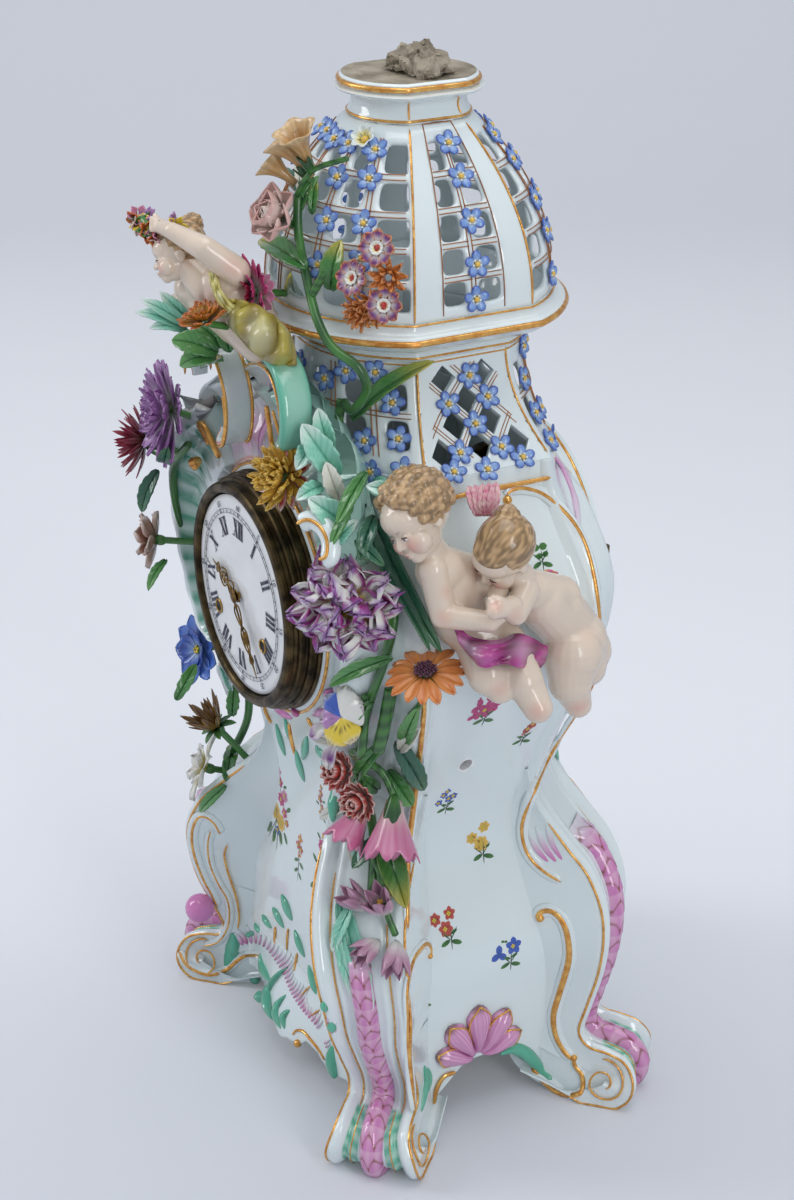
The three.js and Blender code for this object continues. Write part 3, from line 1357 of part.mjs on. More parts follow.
addPart('case_strap_right', caseStrap(1), brass);
addPart('rear_ring', rearRing(), brass);
addPart('rear_cover', rearDoor(), brass);
addPart('rear_hinge_pin', hingePin(), steel);

export default clock;
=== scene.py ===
import json
import math
import random
import bmesh
import bpy
from mathutils import Matrix, Vector, noise
from mathutils.bvhtree import BVHTree

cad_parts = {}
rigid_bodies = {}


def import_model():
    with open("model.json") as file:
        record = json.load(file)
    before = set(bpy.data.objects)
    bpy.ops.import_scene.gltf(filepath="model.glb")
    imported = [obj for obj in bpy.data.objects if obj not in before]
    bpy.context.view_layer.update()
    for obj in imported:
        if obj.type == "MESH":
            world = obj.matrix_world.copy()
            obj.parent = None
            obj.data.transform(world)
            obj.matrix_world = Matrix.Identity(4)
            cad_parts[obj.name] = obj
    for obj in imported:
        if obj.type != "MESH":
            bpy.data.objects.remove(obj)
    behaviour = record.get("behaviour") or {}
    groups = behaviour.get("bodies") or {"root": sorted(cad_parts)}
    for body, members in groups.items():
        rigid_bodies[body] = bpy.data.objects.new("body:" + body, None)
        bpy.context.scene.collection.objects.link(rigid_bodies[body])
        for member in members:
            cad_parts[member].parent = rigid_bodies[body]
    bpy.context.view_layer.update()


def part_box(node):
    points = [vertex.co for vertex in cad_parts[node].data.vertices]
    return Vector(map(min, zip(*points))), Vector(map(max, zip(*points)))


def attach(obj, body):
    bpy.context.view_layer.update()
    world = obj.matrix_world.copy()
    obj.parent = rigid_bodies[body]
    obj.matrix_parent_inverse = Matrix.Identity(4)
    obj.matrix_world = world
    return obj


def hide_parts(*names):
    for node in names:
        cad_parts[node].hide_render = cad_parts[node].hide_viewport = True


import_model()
mm = 0.001
tau = math.tau
goldenTurn = 2.399  # steps of this angle spread points evenly over a disc or a ball
axisAt = Vector((-5.7, 12.0, 0.0))  # the dome's axis, about which everything here is drawn
view = {
    "azimuth": 1.0813863894593774,
    "pitch": 0.443586444461021,
    "place": (0.8125587, -0.4383923, 0.6740382),
    "lens": 66.0,
    "film": 36.0,
    "picture": (794, 1200),
}
print("frame loaded")


# Numbers and directions

def clamp(value, low=0.0, high=1.0):
    return max(low, min(high, value))


def smooth(share):
    held = clamp(share)
    return held * held * (3 - 2 * held)


def blendOf(first, second, share):
    return first + (second - first) * share


def colour(red, green, blue):
    channels = []
    for level in (red, green, blue):
        level /= 255
        channels.append(level / 12.92 if level <= 0.04045 else ((level + 0.055) / 1.055) ** 2.4)
    return Vector((*channels, 1.0))


def bump(value, centre, reach):
    distance = abs(value - centre) / reach
    return 0.0 if distance >= 1 else 0.5 + 0.5 * math.cos(math.pi * distance)


def turnTo(toward, spin=0.0):
    return Vector(toward).normalized().to_track_quat("Z", "Y").to_matrix() @ Matrix.Rotation(spin, 3, "Z")


def curveThrough(points, count):
    knots = [Vector(point) for point in points]
    knots = [knots[0] * 2 - knots[1]] + knots + [knots[-1] * 2 - knots[-2]]
    spans = len(knots) - 3
    line = []
    for step in range(count + 1):
        place = min(spans * step / count, spans - 1e-9)
        first, part = int(place), place - int(place)
        a, b, c, d = knots[first:first + 4]
        line.append(0.5 * (2 * b + (c - a) * part + (2 * a - 5 * b + 4 * c - d) * part ** 2
                           + (3 * b - a - 3 * c + d) * part ** 3))
    return line


def spread(points, count):
    line = curveThrough(points, count * 4)
    lengths = [0.0]
    for before, after in zip(line, line[1:]):
        lengths.append(lengths[-1] + (after - before).length)
    evened, at = [], 0
    for step in range(count + 1):
        goal = lengths[-1] * step / count
        while at < len(line) - 2 and lengths[at + 1] < goal:
            at += 1
        span = max(lengths[at + 1] - lengths[at], 1e-9)
        evened.append(line[at].lerp(line[at + 1], clamp((goal - lengths[at]) / span)))
    return evened


def quarterRun(u, runs):
    # the corner that a share of an outline lies in, and its run there; each quarter mirrors the one before
    quarter = u * 4
    corner = int(quarter) % 4
    part = quarter - int(quarter)
    return corner, runs * (part if corner in (0, 2) else 1 - part)


# Mesh building in millimetres, one grid for each surface

def newPiece():
    bm = bmesh.new()
    bm.verts.layers.float_color.new("paint")
    return bm


def surface(bm, across, along, place, paint):
    layer = bm.verts.layers.float_color["paint"]
    made = bmesh.ops.create_grid(bm, x_segments=across, y_segments=along, size=0.5)["verts"]
    for vert in made:
        u, v = clamp(vert.co.x + 0.5), clamp(vert.co.y + 0.5)
        vert[layer] = paint(u, v) if callable(paint) else paint
        vert.co = place(u, v)
    return made


def closeUp(bm, made, reach=1e-4):
    bmesh.ops.remove_doubles(bm, verts=[vert for vert in made if vert.is_valid], dist=reach)


def sweep(bm, line, section, sides, paint, facing=None):
    count = len(line) - 1
    frames = []
    side = None
    for step, point in enumerate(line):
        ahead = (line[min(step + 1, count)] - line[max(step - 1, 0)]).normalized()
        if facing is not None:
            lift = Vector(facing(step / count)) if callable(facing) else Vector(facing)
            side = ahead.cross(lift).normalized()
        elif side is None:
            side = ahead.orthogonal().normalized()
        else:
            side = (side - ahead * side.dot(ahead)).normalized()
        frames.append((point, side, side.cross(ahead).normalized()))

    def place(u, v):
        point, across, out = frames[min(int(v * count + 0.5), count)]
        a, b = section(u, v)
        return point + across * a + out * b

    made = surface(bm, sides, count, place, paint)
    closeUp(bm, made)
    return made


def tube(bm, points, radius, paint, sides=8, count=24, flat=1.0, facing=None, ends=0.06):
    line = spread(points, count) if count else [Vector(point) for point in points]

    def section(u, v):
        size = radius(v) if callable(radius) else radius
        if ends:
            for near in (clamp(v / ends), clamp((1 - v) / ends)):
                size *= math.sqrt(clamp(1 - (1 - near) ** 2))
        return size * math.cos(tau * u), size * flat * math.sin(tau * u)

    return sweep(bm, line, section, sides, paint, facing)


def blob(bm, at, radii, paint, turn=None, segments=20, rings=12):
    layer = bm.verts.layers.float_color["paint"]
    made = bmesh.ops.create_uvsphere(bm, u_segments=segments, v_segments=rings, radius=1.0)["verts"]
    radii = (radii, radii, radii) if isinstance(radii, (int, float)) else radii
    for vert in made:
        vert[layer] = paint
        spot = Vector((vert.co.x * radii[0], vert.co.y * radii[1], vert.co.z * radii[2]))
        vert.co = (turn @ spot if turn else spot) + Vector(at)
    return made


def limb(bm, start, end, startRadius, endRadius):
    start, end, paint = Vector(start), Vector(end), (1, 1, 1, 1)
    turn = turnTo(end - start)
    layer = bm.verts.layers.float_color["paint"]
    reach = (end - start).length
    cone = bmesh.ops.create_cone(bm, cap_ends=True, segments=20, radius1=startRadius, radius2=endRadius,
                                 depth=reach)["verts"]
    for vert in cone:
        vert[layer] = paint
        vert.co = turn @ (vert.co + Vector((0, 0, reach / 2))) + start
    blob(bm, start, startRadius, paint)
    blob(bm, end, endRadius, paint)


def addObject(name, data):
    made = bpy.data.objects.new(name, data)
    bpy.context.scene.collection.objects.link(made)
    return made


def smoothMesh(name, bm):
    bmesh.ops.scale(bm, vec=(mm, mm, mm), verts=bm.verts[:])
    mesh = bpy.data.meshes.new(name)
    bm.to_mesh(mesh)
    bm.free()
    mesh.polygons.foreach_set("use_smooth", [True] * len(mesh.polygons))
    return mesh


def turnToFront(bm):
    bmesh.ops.recalc_face_normals(bm, faces=bm.faces[:])
    for face in bm.faces:
        if face.normal.y > 0:
            face.normal_flip()


def finishPiece(name, bm, material, slot, body="case", replaces=(), turnOut=False, sharp=None, modifiers=()):
    if turnOut:
        bmesh.ops.recalc_face_normals(bm, faces=bm.faces[:])
    for vert in bm.verts:
        vert.co.z = max(vert.co.z, 0.1)  # nothing sinks into the floor
    bmesh.ops.translate(bm, vec=axisAt, verts=bm.verts[:])
    mesh = smoothMesh(name, bm)
    if sharp is not None:
        mesh.set_sharp_from_angle(angle=math.radians(sharp))
    mesh.materials.append(material)
    piece = addObject(name, mesh)
    for kind, settings in modifiers:
        modifier = piece.modifiers.new(kind.title(), kind)
        for key, value in settings.items():
            setattr(modifier, key, value)
    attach(piece, body)
    if replaces:
        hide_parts(*replaces)
    return piece


def settled(piece):
    graph = bpy.context.evaluated_depsgraph_get()
    mesh = bpy.data.meshes.new_from_object(piece.evaluated_get(graph), preserve_all_data_layers=True,
            depsgraph=graph)
    piece.modifiers.clear()
    piece.data = mesh
    return piece


# Materials

class Shade:
    def __init__(self, tree, socket=None):
        self.tree, self.socket = tree, socket

    def node(self, kind, settings, inputs, output=0):
        made = self.tree.nodes.new(kind)
        for key, value in settings.items():
            if key == "stops":
                ramp = made.color_ramp.elements
                while len(ramp) < len(value):
                    ramp.new(0.5)
                for stop, (place, tint) in zip(ramp, value):
                    stop.position, stop.color = place, tint
            else:
                setattr(made, key, value)
        for key, value in inputs.items():
            if isinstance(value, Shade):
                self.tree.links.new(value.socket, made.inputs[key])
            else:
                made.inputs[key].default_value = value
        return Shade(self.tree, made.outputs[output])

    def maths(self, operation, first, second):
        return self.node("ShaderNodeMath", {"operation": operation}, {0: first, 1: second})

    def __add__(self, other):
        return self.maths("ADD", self, other)

    def __radd__(self, other):
        return self.maths("ADD", other, self)

    def __sub__(self, other):
        return self.maths("SUBTRACT", self, other)

    def __rsub__(self, other):
        return self.maths("SUBTRACT", other, self)

    def __mul__(self, other):
        return self.maths("MULTIPLY", self, other)

    def __rmul__(self, other):
        return self.maths("MULTIPLY", other, self)

    def mixed(self, share, first, second, how="MIX"):
        settings = {"data_type": "RGBA", "blend_type": how}
        return self.node("ShaderNodeMix", settings, {0: share, 6: first, 7: second}, 2)

    def speckle(self, place, scale, detail=3.0):
        return self.node("ShaderNodeTexNoise", {}, {"Vector": place, "Scale": scale, "Detail": detail})

    def between(self, value, low, high):
        return self.node("ShaderNodeMapRange", {}, {0: value, 1: low, 2: high, 3: 0.0, 4: 1.0})


def startMaterial(name, fixed):
    material = bpy.data.materials.new(name)
    material.use_nodes = True
    tree = material.node_tree
    shader = tree.nodes["Principled BSDF"]
    for key, value in fixed.items():
        shader.inputs[key].default_value = value
    shade = Shade(tree)
    place = shade.node("ShaderNodeTexCoord", {}, {}, 3)

    def feed(**links):
        for key, value in links.items():
            tree.links.new(value.socket, shader.inputs[key.replace("_", " ")])

    return material, shade, place, feed


glazeLook = {
    "porcelain": {"rough": 0.07, "spread": 0.05, "dent": 0.10, "mottle": 0.05, "coat": 0.5},
    "applied": {"rough": 0.20, "spread": 0.10, "dent": 0.22, "mottle": 0.22, "coat": 0.35},
    "skin": {"rough": 0.16, "spread": 0.08, "dent": 0.08, "mottle": 0.10, "coat": 0.35},
}


def glazeMaterial(name, look):
    fixed = {"IOR": 1.52, "Coat IOR": 1.5, "Coat Roughness": 0.04, "Coat Weight": look["coat"]}
    material, shade, place, feed = startMaterial(name, fixed)
    painted = shade.node("ShaderNodeAttribute", {"attribute_name": "paint"}, {})
    cloudy = shade.between(shade.speckle(place, 55.0), 0.3, 0.75)
    fine = shade.speckle(place, 420.0, 2.0)
    darker = shade.mixed(1.0, painted, (0.80, 0.79, 0.74, 1), "MULTIPLY")
    feed(
        Base_Color=shade.mixed(cloudy * look["mottle"], painted, darker),
        Roughness=look["rough"] + fine * look["spread"],
        Normal=shade.node("ShaderNodeBump", {}, {"Strength": look["dent"], "Distance": 0.0006,
                                                   "Height": shade.speckle(place, 160.0, 1.5)}),
    )
    return material


def metalMaterial(name, light, dark, rough, scale, metal=1.0, dent=0.15):
    material, shade, place, feed = startMaterial(name, {"Metallic": metal})
    worn = shade.between(shade.speckle(place, scale, 5.0), 0.35, 0.68)
    feed(
        Base_Color=shade.mixed(worn, light, dark),
        Roughness=rough + worn * 0.18,
        Normal=shade.node("ShaderNodeBump", {}, {"Strength": dent, "Distance": 0.0004,
                                                   "Height": shade.speckle(place, scale * 3, 3.0)}),
    )
    return material


def plainMaterial(name, tint, second, rough, scale, dent, distance=0.0005):
    material, shade, place, feed = startMaterial(name, {})
    patchy = shade.between(shade.speckle(place, scale, 6.0), 0.3, 0.7)
    feed(
        Base_Color=shade.mixed(patchy, tint, second),
        Roughness=rough + patchy * 0.12,
        Normal=shade.node("ShaderNodeBump", {}, {"Strength": dent, "Distance": distance,
                                                   "Height": shade.speckle(place, scale * 4, 5.0)}),
    )
    return material


porcelain = glazeMaterial("white glaze", glazeLook["porcelain"])
applied = glazeMaterial("painted glaze", glazeLook["applied"])
skin = glazeMaterial("painted skin", glazeLook["skin"])
gilding = metalMaterial("gilding", colour(246, 194, 112), colour(208, 140, 66), 0.2, 260.0, 0.75)
brownGold = metalMaterial("worn gold line", colour(186, 124, 66), colour(140, 84, 44), 0.35, 300.0, 0.4)
bronzedBrass = metalMaterial("bronzed brass", colour(96, 80, 52), colour(38, 32, 24), 0.30, 140.0, 0.9, 0.3)
plainBrass = metalMaterial("plain brass", colour(196, 160, 92), colour(160, 124, 66), 0.28, 90.0)
bellMetal = metalMaterial("bell metal", colour(190, 186, 168), colour(150, 146, 128), 0.22, 80.0)
steel = metalMaterial("steel", colour(170, 172, 178), colour(120, 122, 128), 0.26, 120.0)
agedGilt = metalMaterial("aged gilt", colour(150, 118, 66), colour(70, 52, 30), 0.30, 300.0)
dialEnamel = plainMaterial("dial enamel", colour(240, 241, 242), colour(228, 230, 232), 0.08, 60.0, 0.02)
ink = plainMaterial("dial ink", colour(44, 46, 66), colour(70, 74, 100), 0.25, 500.0, 0.05)
bareClay = plainMaterial("bare clay", colour(178, 168, 150), colour(120, 110, 94), 0.75, 90.0, 0.9, 0.0012)
darkHole = plainMaterial("shadow", colour(20, 18, 16), colour(34, 30, 26), 0.7, 80.0, 0.1)
print("materials made")

tones = {
    "white": colour(227, 238, 240),
    # grey used as painted shade in grooves and hollows, and as random mottle and streaks
    "shadeAndGrime": colour(176, 172, 160),
    "pink": colour(206, 126, 186),
    "palePink": colour(226, 186, 208),
    "brown": colour(128, 70, 34),
    "seaGreen": colour(96, 184, 156),
    "paleGreen": colour(176, 216, 200),
    "deepGreen": colour(40, 92, 62),
    "leaf": colour(70, 128, 58),
    "leafDark": colour(38, 82, 44),
    "skin": colour(232, 214, 196),
    "blush": colour(222, 150, 134),
    "hair": colour(196, 160, 116),
    "yellow": colour(236, 196, 64),
}


# The waisted case: four levels of half width, half length of the side's flat and half depth

caseLook = {
    "levels": [(75, 80, 44, 58), (141, 60.4, 31.5, 54), (258, 95, 42, 66.5), (326, 72.8, 30.5, 54)],
    "bottom": 14.0, "top": 326.0, "wall": 5.0,
    "mouldingWidth": 5.0, "mouldingRise": 2.0, "flute": 3.0, "curveStart": 296.0,
    "sideArch": (31.0, 16.0), "frontArch": (46.0, 8.0),
    "dialHeight": 256.6, "rearBore": 46.0, "frontBore": 50.0, "sideHole": (-9.0, 186.0, 3.2),
}


def aroundDial(radius, y, angle, across=0.0, height=caseLook["dialHeight"]):
    return Vector((across + radius * math.cos(angle), y, height + radius * math.sin(angle)))


def caseSize(height):
    levels = caseLook["levels"]
    if height <= levels[0][0]:
        return levels[0][1:]
    for low, high in zip(levels, levels[1:]):
        if height <= high[0]:
            share = smooth((height - low[0]) / (high[0] - low[0]))
            return tuple(blendOf(a, b, share) for a, b in zip(low[1:], high[1:]))
    return levels[-1][1:]


def bowPoint(size, share):
    width, flat, depth = size
    across = width / math.sqrt(1 - (flat / depth) ** 2)
    start = math.asin(flat / depth)
    angle = start + (math.pi / 2 - start) * share
    return across * math.cos(angle), depth * math.sin(angle)


def caseQuarter(height, run):
    # run 0 is the middle of the side, 1 its edge, 2 the front panel's edge and 3 the middle of the front
    width, flat, depth = caseSize(height)
    wide, rise = caseLook["mouldingWidth"], caseLook["mouldingRise"]
    bow = smooth((height - caseLook["curveStart"]) / (caseLook["top"] - caseLook["curveStart"]))
    if run <= 1:
        y = flat * run
        lift = rise * bump(y, flat - wide * 0.55, wide * 0.5) - 0.8 * bump(y, flat - wide * 1.35, wide * 0.5)
        return width + lift, y
    share = (run - 1) / 2
    reach = depth - flat
    edge = width - reach
    if run <= 2:
        part = run - 1
        x, y = blendOf(width, edge, part), blendOf(flat, depth, part)
        dip = caseLook["flute"] * (bump(part, 0.5, 0.32)) - 1.3 * bump(part, 0.1, 0.1) - 1.3 * bump(part, 0.9, 0.1)
        x, y = x - dip * 0.707, y - dip * 0.707
    else:
        part = run - 2
        x, y = blendOf(edge, 0.0, part), depth
        y += 1.6 * bump(part, 0.06, 0.05)
    bowX, bowY = bowPoint((width, flat, depth), share)
    return blendOf(x, bowX, bow), blendOf(y, bowY, bow)


def archHeight(x, y, width, depth):
    bottom = caseLook["bottom"]
    if abs(x) > width - 4:
        half, rise = caseLook["sideArch"]
        return bottom + rise * smooth(1.35 - 1.35 * abs(y) / half) if abs(y) < half else bottom
    half, rise = caseLook["frontArch"]
    return bottom + rise * smooth(1.5 - 1.5 * abs(x) / half) if abs(x) < half and abs(y) > depth - 3 else bottom


def ringRun(u):
    # one turn of the outline, starting at the middle of the right-hand side
    corner, run = quarterRun(u, 3)
    return run, (1, -1, -1, 1)[corner], (1, 1, -1, -1)[corner]


def casePlace(u, v):
    run, signX, signY = ringRun(u)
    width, _, depth = caseSize(caseLook["bottom"])
    low = archHeight(*caseQuarter(caseLook["bottom"], run), width, depth)
    height = blendOf(low, caseLook["top"], v)
    x, y = caseQuarter(height, run)
    return Vector((x * signX, y * signY, height))


def cutWith(piece, cutters):
    for cutter in cutters:
        mesh = bpy.data.meshes.new("cutter")
        cutter.to_mesh(mesh)
        cutter.free()
        tool = addObject("cutter", mesh)
        tool.location = axisAt * mm
        modifier = piece.modifiers.new("Cut", "BOOLEAN")
        modifier.object, modifier.operation, modifier.solver = tool, "DIFFERENCE", "EXACT"
        settled(piece)
        bpy.data.objects.remove(tool)


def rodCutter(radius, start, end, segments=64):
    bm = bmesh.new()
    start, end = Vector(start) * mm, Vector(end) * mm
    made = bmesh.ops.create_cone(bm, cap_ends=True, segments=segments, radius1=radius * mm, radius2=radius * mm,
                                 depth=(end - start).length)["verts"]
    turn = turnTo(end - start)
    for vert in made:
        vert.co = turn @ vert.co + (start + end) / 2
    return bm


def makeCase():
    bm = newPiece()
    closeUp(bm, surface(bm, 192, 110, casePlace, tones["white"]))
    piece = finishPiece("case_shell", bm, porcelain, "porcelain", replaces=["case_body"],
                        modifiers=[("SOLIDIFY", {"thickness": caseLook["wall"] * mm, "offset": -1.0})])
    settled(piece)
    z = caseLook["dialHeight"]
    y, height, radius = caseLook["sideHole"]
    cutWith(piece, [
        rodCutter(caseLook["rearBore"], (0, 30, z), (0, 90, z)),
        rodCutter(caseLook["frontBore"], (0, -30, z), (0, -90, z)),
        rodCutter(radius, (-120, y, height), (120, y, height), 24),
    ])
    piece.data.set_sharp_from_angle(angle=math.radians(35))


def skinOf(bm):
    tree = BVHTree.FromBMesh(bm)
    bm.free()
    return tree


def caseTree():
    bm = newPiece()
    surface(bm, 192, 110, casePlace, tones["white"])
    return skinOf(bm)


makeCase()
caseSkin = caseTree()


def onSide(y, z, lift=0.1, side=1):
    hit = caseSkin.ray_cast(Vector((160 * side, y, z)), Vector((-side, 0, 0)))[0]
    hit = hit or Vector((caseSize(z)[0] * side, y, z))
    return hit + Vector((lift * side, 0, 0))


def onFront(x, z, lift=0.1):
    hit = caseSkin.ray_cast(Vector((x, -160, z)), Vector((0, 1, 0)))[0]
    hit = hit or Vector((x, -caseSize(z)[2], z))
    return hit - Vector((0, lift, 0))


print("case made")


# Pierced neck and dome

domeLook = {
    "neckBase": (72.8, 30.5, 54.0), "neckTop": (47.5, 21.3, 50.0), "neckLow": 326.3, "neckHigh": 370.5,
    "foot": (57.5, 28.0, 62.0), "top": (23.0, 12.2, 26.0), "footHeight": 389.5, "topHeight": 464.0, "swell": 2.2,
    "cornice": (61.7, 30.0, 68.0), "plate": (25.0, 14.0, 29.5), "wall": 3.6,
    "rows": 5, "pitch": 13.2, "first": 399.5, "windowHeight": 9.6, "sideEdges": (0.107, 0.47), "bowHalf": 0.28,
    "neckRows": (341.0, 355.0), "neckHalf": 4.8, "diamond": 8.6,
}


def sizeBetween(low, high, share):
    return tuple(blendOf(a, b, share) for a, b in zip(low, high))


def neckSize(height):
    share = (height - caseLook["top"]) / (domeLook["neckHigh"] - caseLook["top"])
    return sizeBetween(domeLook["neckTop"], domeLook["neckBase"], (1 - clamp(share)) ** 2)


def domeSize(height):
    share = (height - domeLook["footHeight"]) / (domeLook["topHeight"] - domeLook["footHeight"])
    return sizeBetween(domeLook["top"], domeLook["foot"], 1 - clamp(share) ** domeLook["swell"])


def bowlPoint(size, height, run, grow=0.0):
    # run 0 is the middle of the side, 1 the edge between side and bow, 2 the middle of the bow
    width, flat, depth = size[0] + grow, size[1] + grow * 0.41, size[2] + grow
    if run <= 1:
        return Vector((width, flat * run, height))
    x, y = bowPoint((width, flat, depth), run - 1)
    return Vector((x, y, height))


def mirroredPoint(point, corner):
    signX, signY = ((1, 1), (-1, 1), (-1, -1), (1, -1))[corner]
    return Vector((point.x * signX, point.y * signY, point.z))


def bowWindows():
    # the first, middle and last run of each window across a bow
    half = domeLook["bowHalf"] / 3
    spans = []
    for column in range(3):
        middle = 1 + (column + 0.5) / 3
        spans.append((middle - half - (0.045 if column == 0 else 0), middle, middle + half))
    return spans


def latticeRuns():
    low, high = domeLook["sideEdges"]
    runs = [0, low, (low + high) / 2, high, 0.72, 0.94, 1.0, 1.06, 2.0]
    runs += [run for span in bowWindows() for run in span]
    return sorted(set(round(run, 5) for run in runs))


def windowRun(run):
    low, high = domeLook["sideEdges"]
    if run < 1:
        return low < run < high
    return any(first < run < last for first, _, last in bowWindows())


def latticeHeights():
    rows = []
    for row in range(domeLook["rows"]):
        middle = domeLook["first"] + domeLook["pitch"] * row
        rows += [middle - domeLook["windowHeight"] / 2, middle, middle + domeLook["windowHeight"] / 2]
    return [domeLook["footHeight"] - 0.2, 392.5] + rows + [460.0, domeLook["topHeight"]]


def windowRow(height):
    first, pitch, half = domeLook["first"], domeLook["pitch"], domeLook["windowHeight"] / 2
    return any(abs(height - first - pitch * row) < half for row in range(domeLook["rows"]))


def gridOf(bm, columns, rows, place, paint):
    # place takes a column value and a row value
    def at(u, v):
        return place(columns[int(u * (len(columns) - 1) + 0.5)], rows[int(v * (len(rows) - 1) + 0.5)])

    return surface(bm, len(columns) - 1, len(rows) - 1, at, paint)


latticeSkin = [("SOLIDIFY", {"thickness": domeLook["wall"] * mm, "offset": -1.0}),
               ("SUBSURF", {"levels": 2, "render_levels": 2})]


def makeLattice(name, node, runs, rows, isWindow, sizeAt):
    # a grid of runs and heights, opened where the windows are and then bent to the bowl
    bm = newPiece()
    for corner in range(4):
        before = set(bm.faces)
        gridOf(bm, runs, rows, lambda run, z: Vector((run, z, 0)), tones["white"])
        faces = [face for face in bm.faces if face not in before]
        fresh = {vert for face in faces for vert in face.verts}
        doomed = [face for face in faces if isWindow(*face.calc_center_median().xy)]
        bmesh.ops.delete(bm, geom=doomed, context="FACES")
        for vert in fresh:
            if vert.is_valid:
                run, height = vert.co.x, vert.co.y
                vert.co = mirroredPoint(bowlPoint(sizeAt(height), height, run), corner)
    closeUp(bm, bm.verts[:], 0.01)
    bmesh.ops.recalc_face_normals(bm, faces=bm.faces[:])
    finishPiece(name, bm, porcelain, "porcelain", replaces=[node], modifiers=latticeSkin)


def makeLattices():
    makeLattice("dome_lattice", "pierced_dome", latticeRuns(), latticeHeights(),
                lambda run, z: windowRun(run) and windowRow(z), domeSize)
    half, high = domeLook["bowHalf"] / 3 * 0.85, domeLook["neckHalf"]
    columns = [1 + (column + 0.5) / 3 for column in range(3)]
    runs = [1.0, 1.07] + [middle + step * half for middle in columns for step in (-1, 0, 1)] + [2.0]
    rows = [middle + step * high for middle in domeLook["neckRows"] for step in (-1, 0, 1)]
    makeLattice("neck_bows", "pierced_neck", runs,
                [domeLook["neckLow"], 330.0] + rows + [364.5, 368.0, domeLook["neckHigh"]],
                lambda run, z: (any(abs(z - row) < high for row in domeLook["neckRows"])
                                and any(abs(run - middle) < half for middle in columns)), neckSize)


def makeNeckSides():
    # a flat side with diagonal bars, shaped from a diagonal grid clipped to the panel
    bm = newPiece()
    middleZ = domeLook["neckRows"][0] + 2
    windows = [(-9, 0), (9, 0), (0, 9), (0, -9), (-9, 18), (9, 18), (-18, -9), (18, -9)]
    for side in (1, -1):
        before = set(bm.verts)
        bmesh.ops.create_grid(bm, x_segments=48, y_segments=48, size=40,
                              matrix=Matrix.Rotation(math.pi / 4, 4, "Z"))
        fresh = [vert for vert in bm.verts if vert not in before]
        layer = bm.verts.layers.float_color["paint"]
        for vert in fresh:
            vert[layer] = tones["white"]
        faces = [face for face in bm.faces if face.verts[0] in fresh or face.verts[1] in fresh]
        half = domeLook["diamond"] / math.sqrt(2)
        doomed = []
        for face in faces:
            spot = face.calc_center_median()
            if any(abs(spot.x - y) + abs(spot.y - z) < half for y, z in windows):
                doomed.append(face)
        bmesh.ops.delete(bm, geom=doomed, context="FACES")
        fresh = [vert for vert in fresh if vert.is_valid]
        low, high = domeLook["neckLow"] - middleZ, domeLook["neckHigh"] - middleZ
        for normal, at in (((0, 1, 0), high), ((0, -1, 0), low)):
            geom = [item for item in bm.verts[:] + bm.edges[:] + bm.faces[:]
                    if (item if isinstance(item, bmesh.types.BMVert) else item.verts[0]) in fresh]
            bmesh.ops.bisect_plane(bm, geom=geom, dist=1e-4, plane_co=(0, at, 0), plane_no=normal, clear_outer=True)
            fresh = [vert for vert in bm.verts if vert not in before]
        doomed = [vert for vert in fresh if abs(vert.co.x) > neckSize(vert.co.y + middleZ)[1] + 1.2]
        bmesh.ops.delete(bm, geom=doomed, context="VERTS")
        for vert in bm.verts:
            if vert not in before:
                y, z = vert.co.x, vert.co.y + middleZ
                width, flat, _ = neckSize(z)
                vert.co = Vector((width * side, clamp(y, -flat, flat), z))
    bmesh.ops.recalc_face_normals(bm, faces=bm.faces[:])
    for face in bm.faces:
        if face.normal.x * face.calc_center_median().x < 0:
            face.normal_flip()
    finishPiece("neck_sides", bm, porcelain, "porcelain", replaces=["pierced_neck"], modifiers=[
        ("SOLIDIFY", {"thickness": domeLook["wall"] * mm, "offset": -1.0}),
        ("BEVEL", {"width": 0.5 * mm, "segments": 2, "limit_method": "ANGLE", "angle_limit": math.radians(50)})])


def roundBowl(size, height, u, grow=0.0):
    corner, run = quarterRun(u, 2)
    return mirroredPoint(bowlPoint(size, height, run, grow), corner)


def ringLoft(name, levels, sections, material, slot):
    # levels are pairs of a size and a height, joined from one to the next around the whole outline
    bm = newPiece()
    count = len(levels) - 1

    closeUp(bm, surface(bm, sections, count, lambda u, v: roundBowl(*levels[int(v * count + 0.5)], u),
                        tones["white"]))
    finishPiece(name, bm, material, slot, sharp=40)


def grown(size, by):
    return size[0] + by, size[1] + by * 0.41, size[2] + by


def moulding(size, steps):
    # steps as (how far the size grows, height)
    return [(grown(size, by), height) for by, height in steps]


def makeCornice():
    cornice, foot, neck = domeLook["cornice"], domeLook["foot"], domeLook["neckTop"]
    levels = moulding(neck, [(-3.6, 370.2), (0.8, 370.2), (1.6, 371.4), (1.4, 373.2)])
    for step in range(9):
        share = step / 8
        levels.append((sizeBetween(grown(neck, 1.0), grown(cornice, -0.8), smooth(share) * 0.6 + share * 0.4),
                       373.8 + 7.0 * share ** 1.3))
    levels += moulding(cornice, [(0.0, 381.2), (0.3, 382.2), (0.2, 384.2), (-0.6, 385.2)])
    for step in range(1, 7):
        share = step / 6
        levels.append((sizeBetween(grown(cornice, -1.2), foot, math.sin(share * math.pi / 2)),
                       385.4 + 4.4 * share ** 1.8))
    levels += moulding(foot, [(-3.6, 389.8)]) + moulding(neck, [(-3.6, 374.0), (-3.6, 370.2)])
    ringLoft("dome_cornice", levels, 160, porcelain, "porcelain")


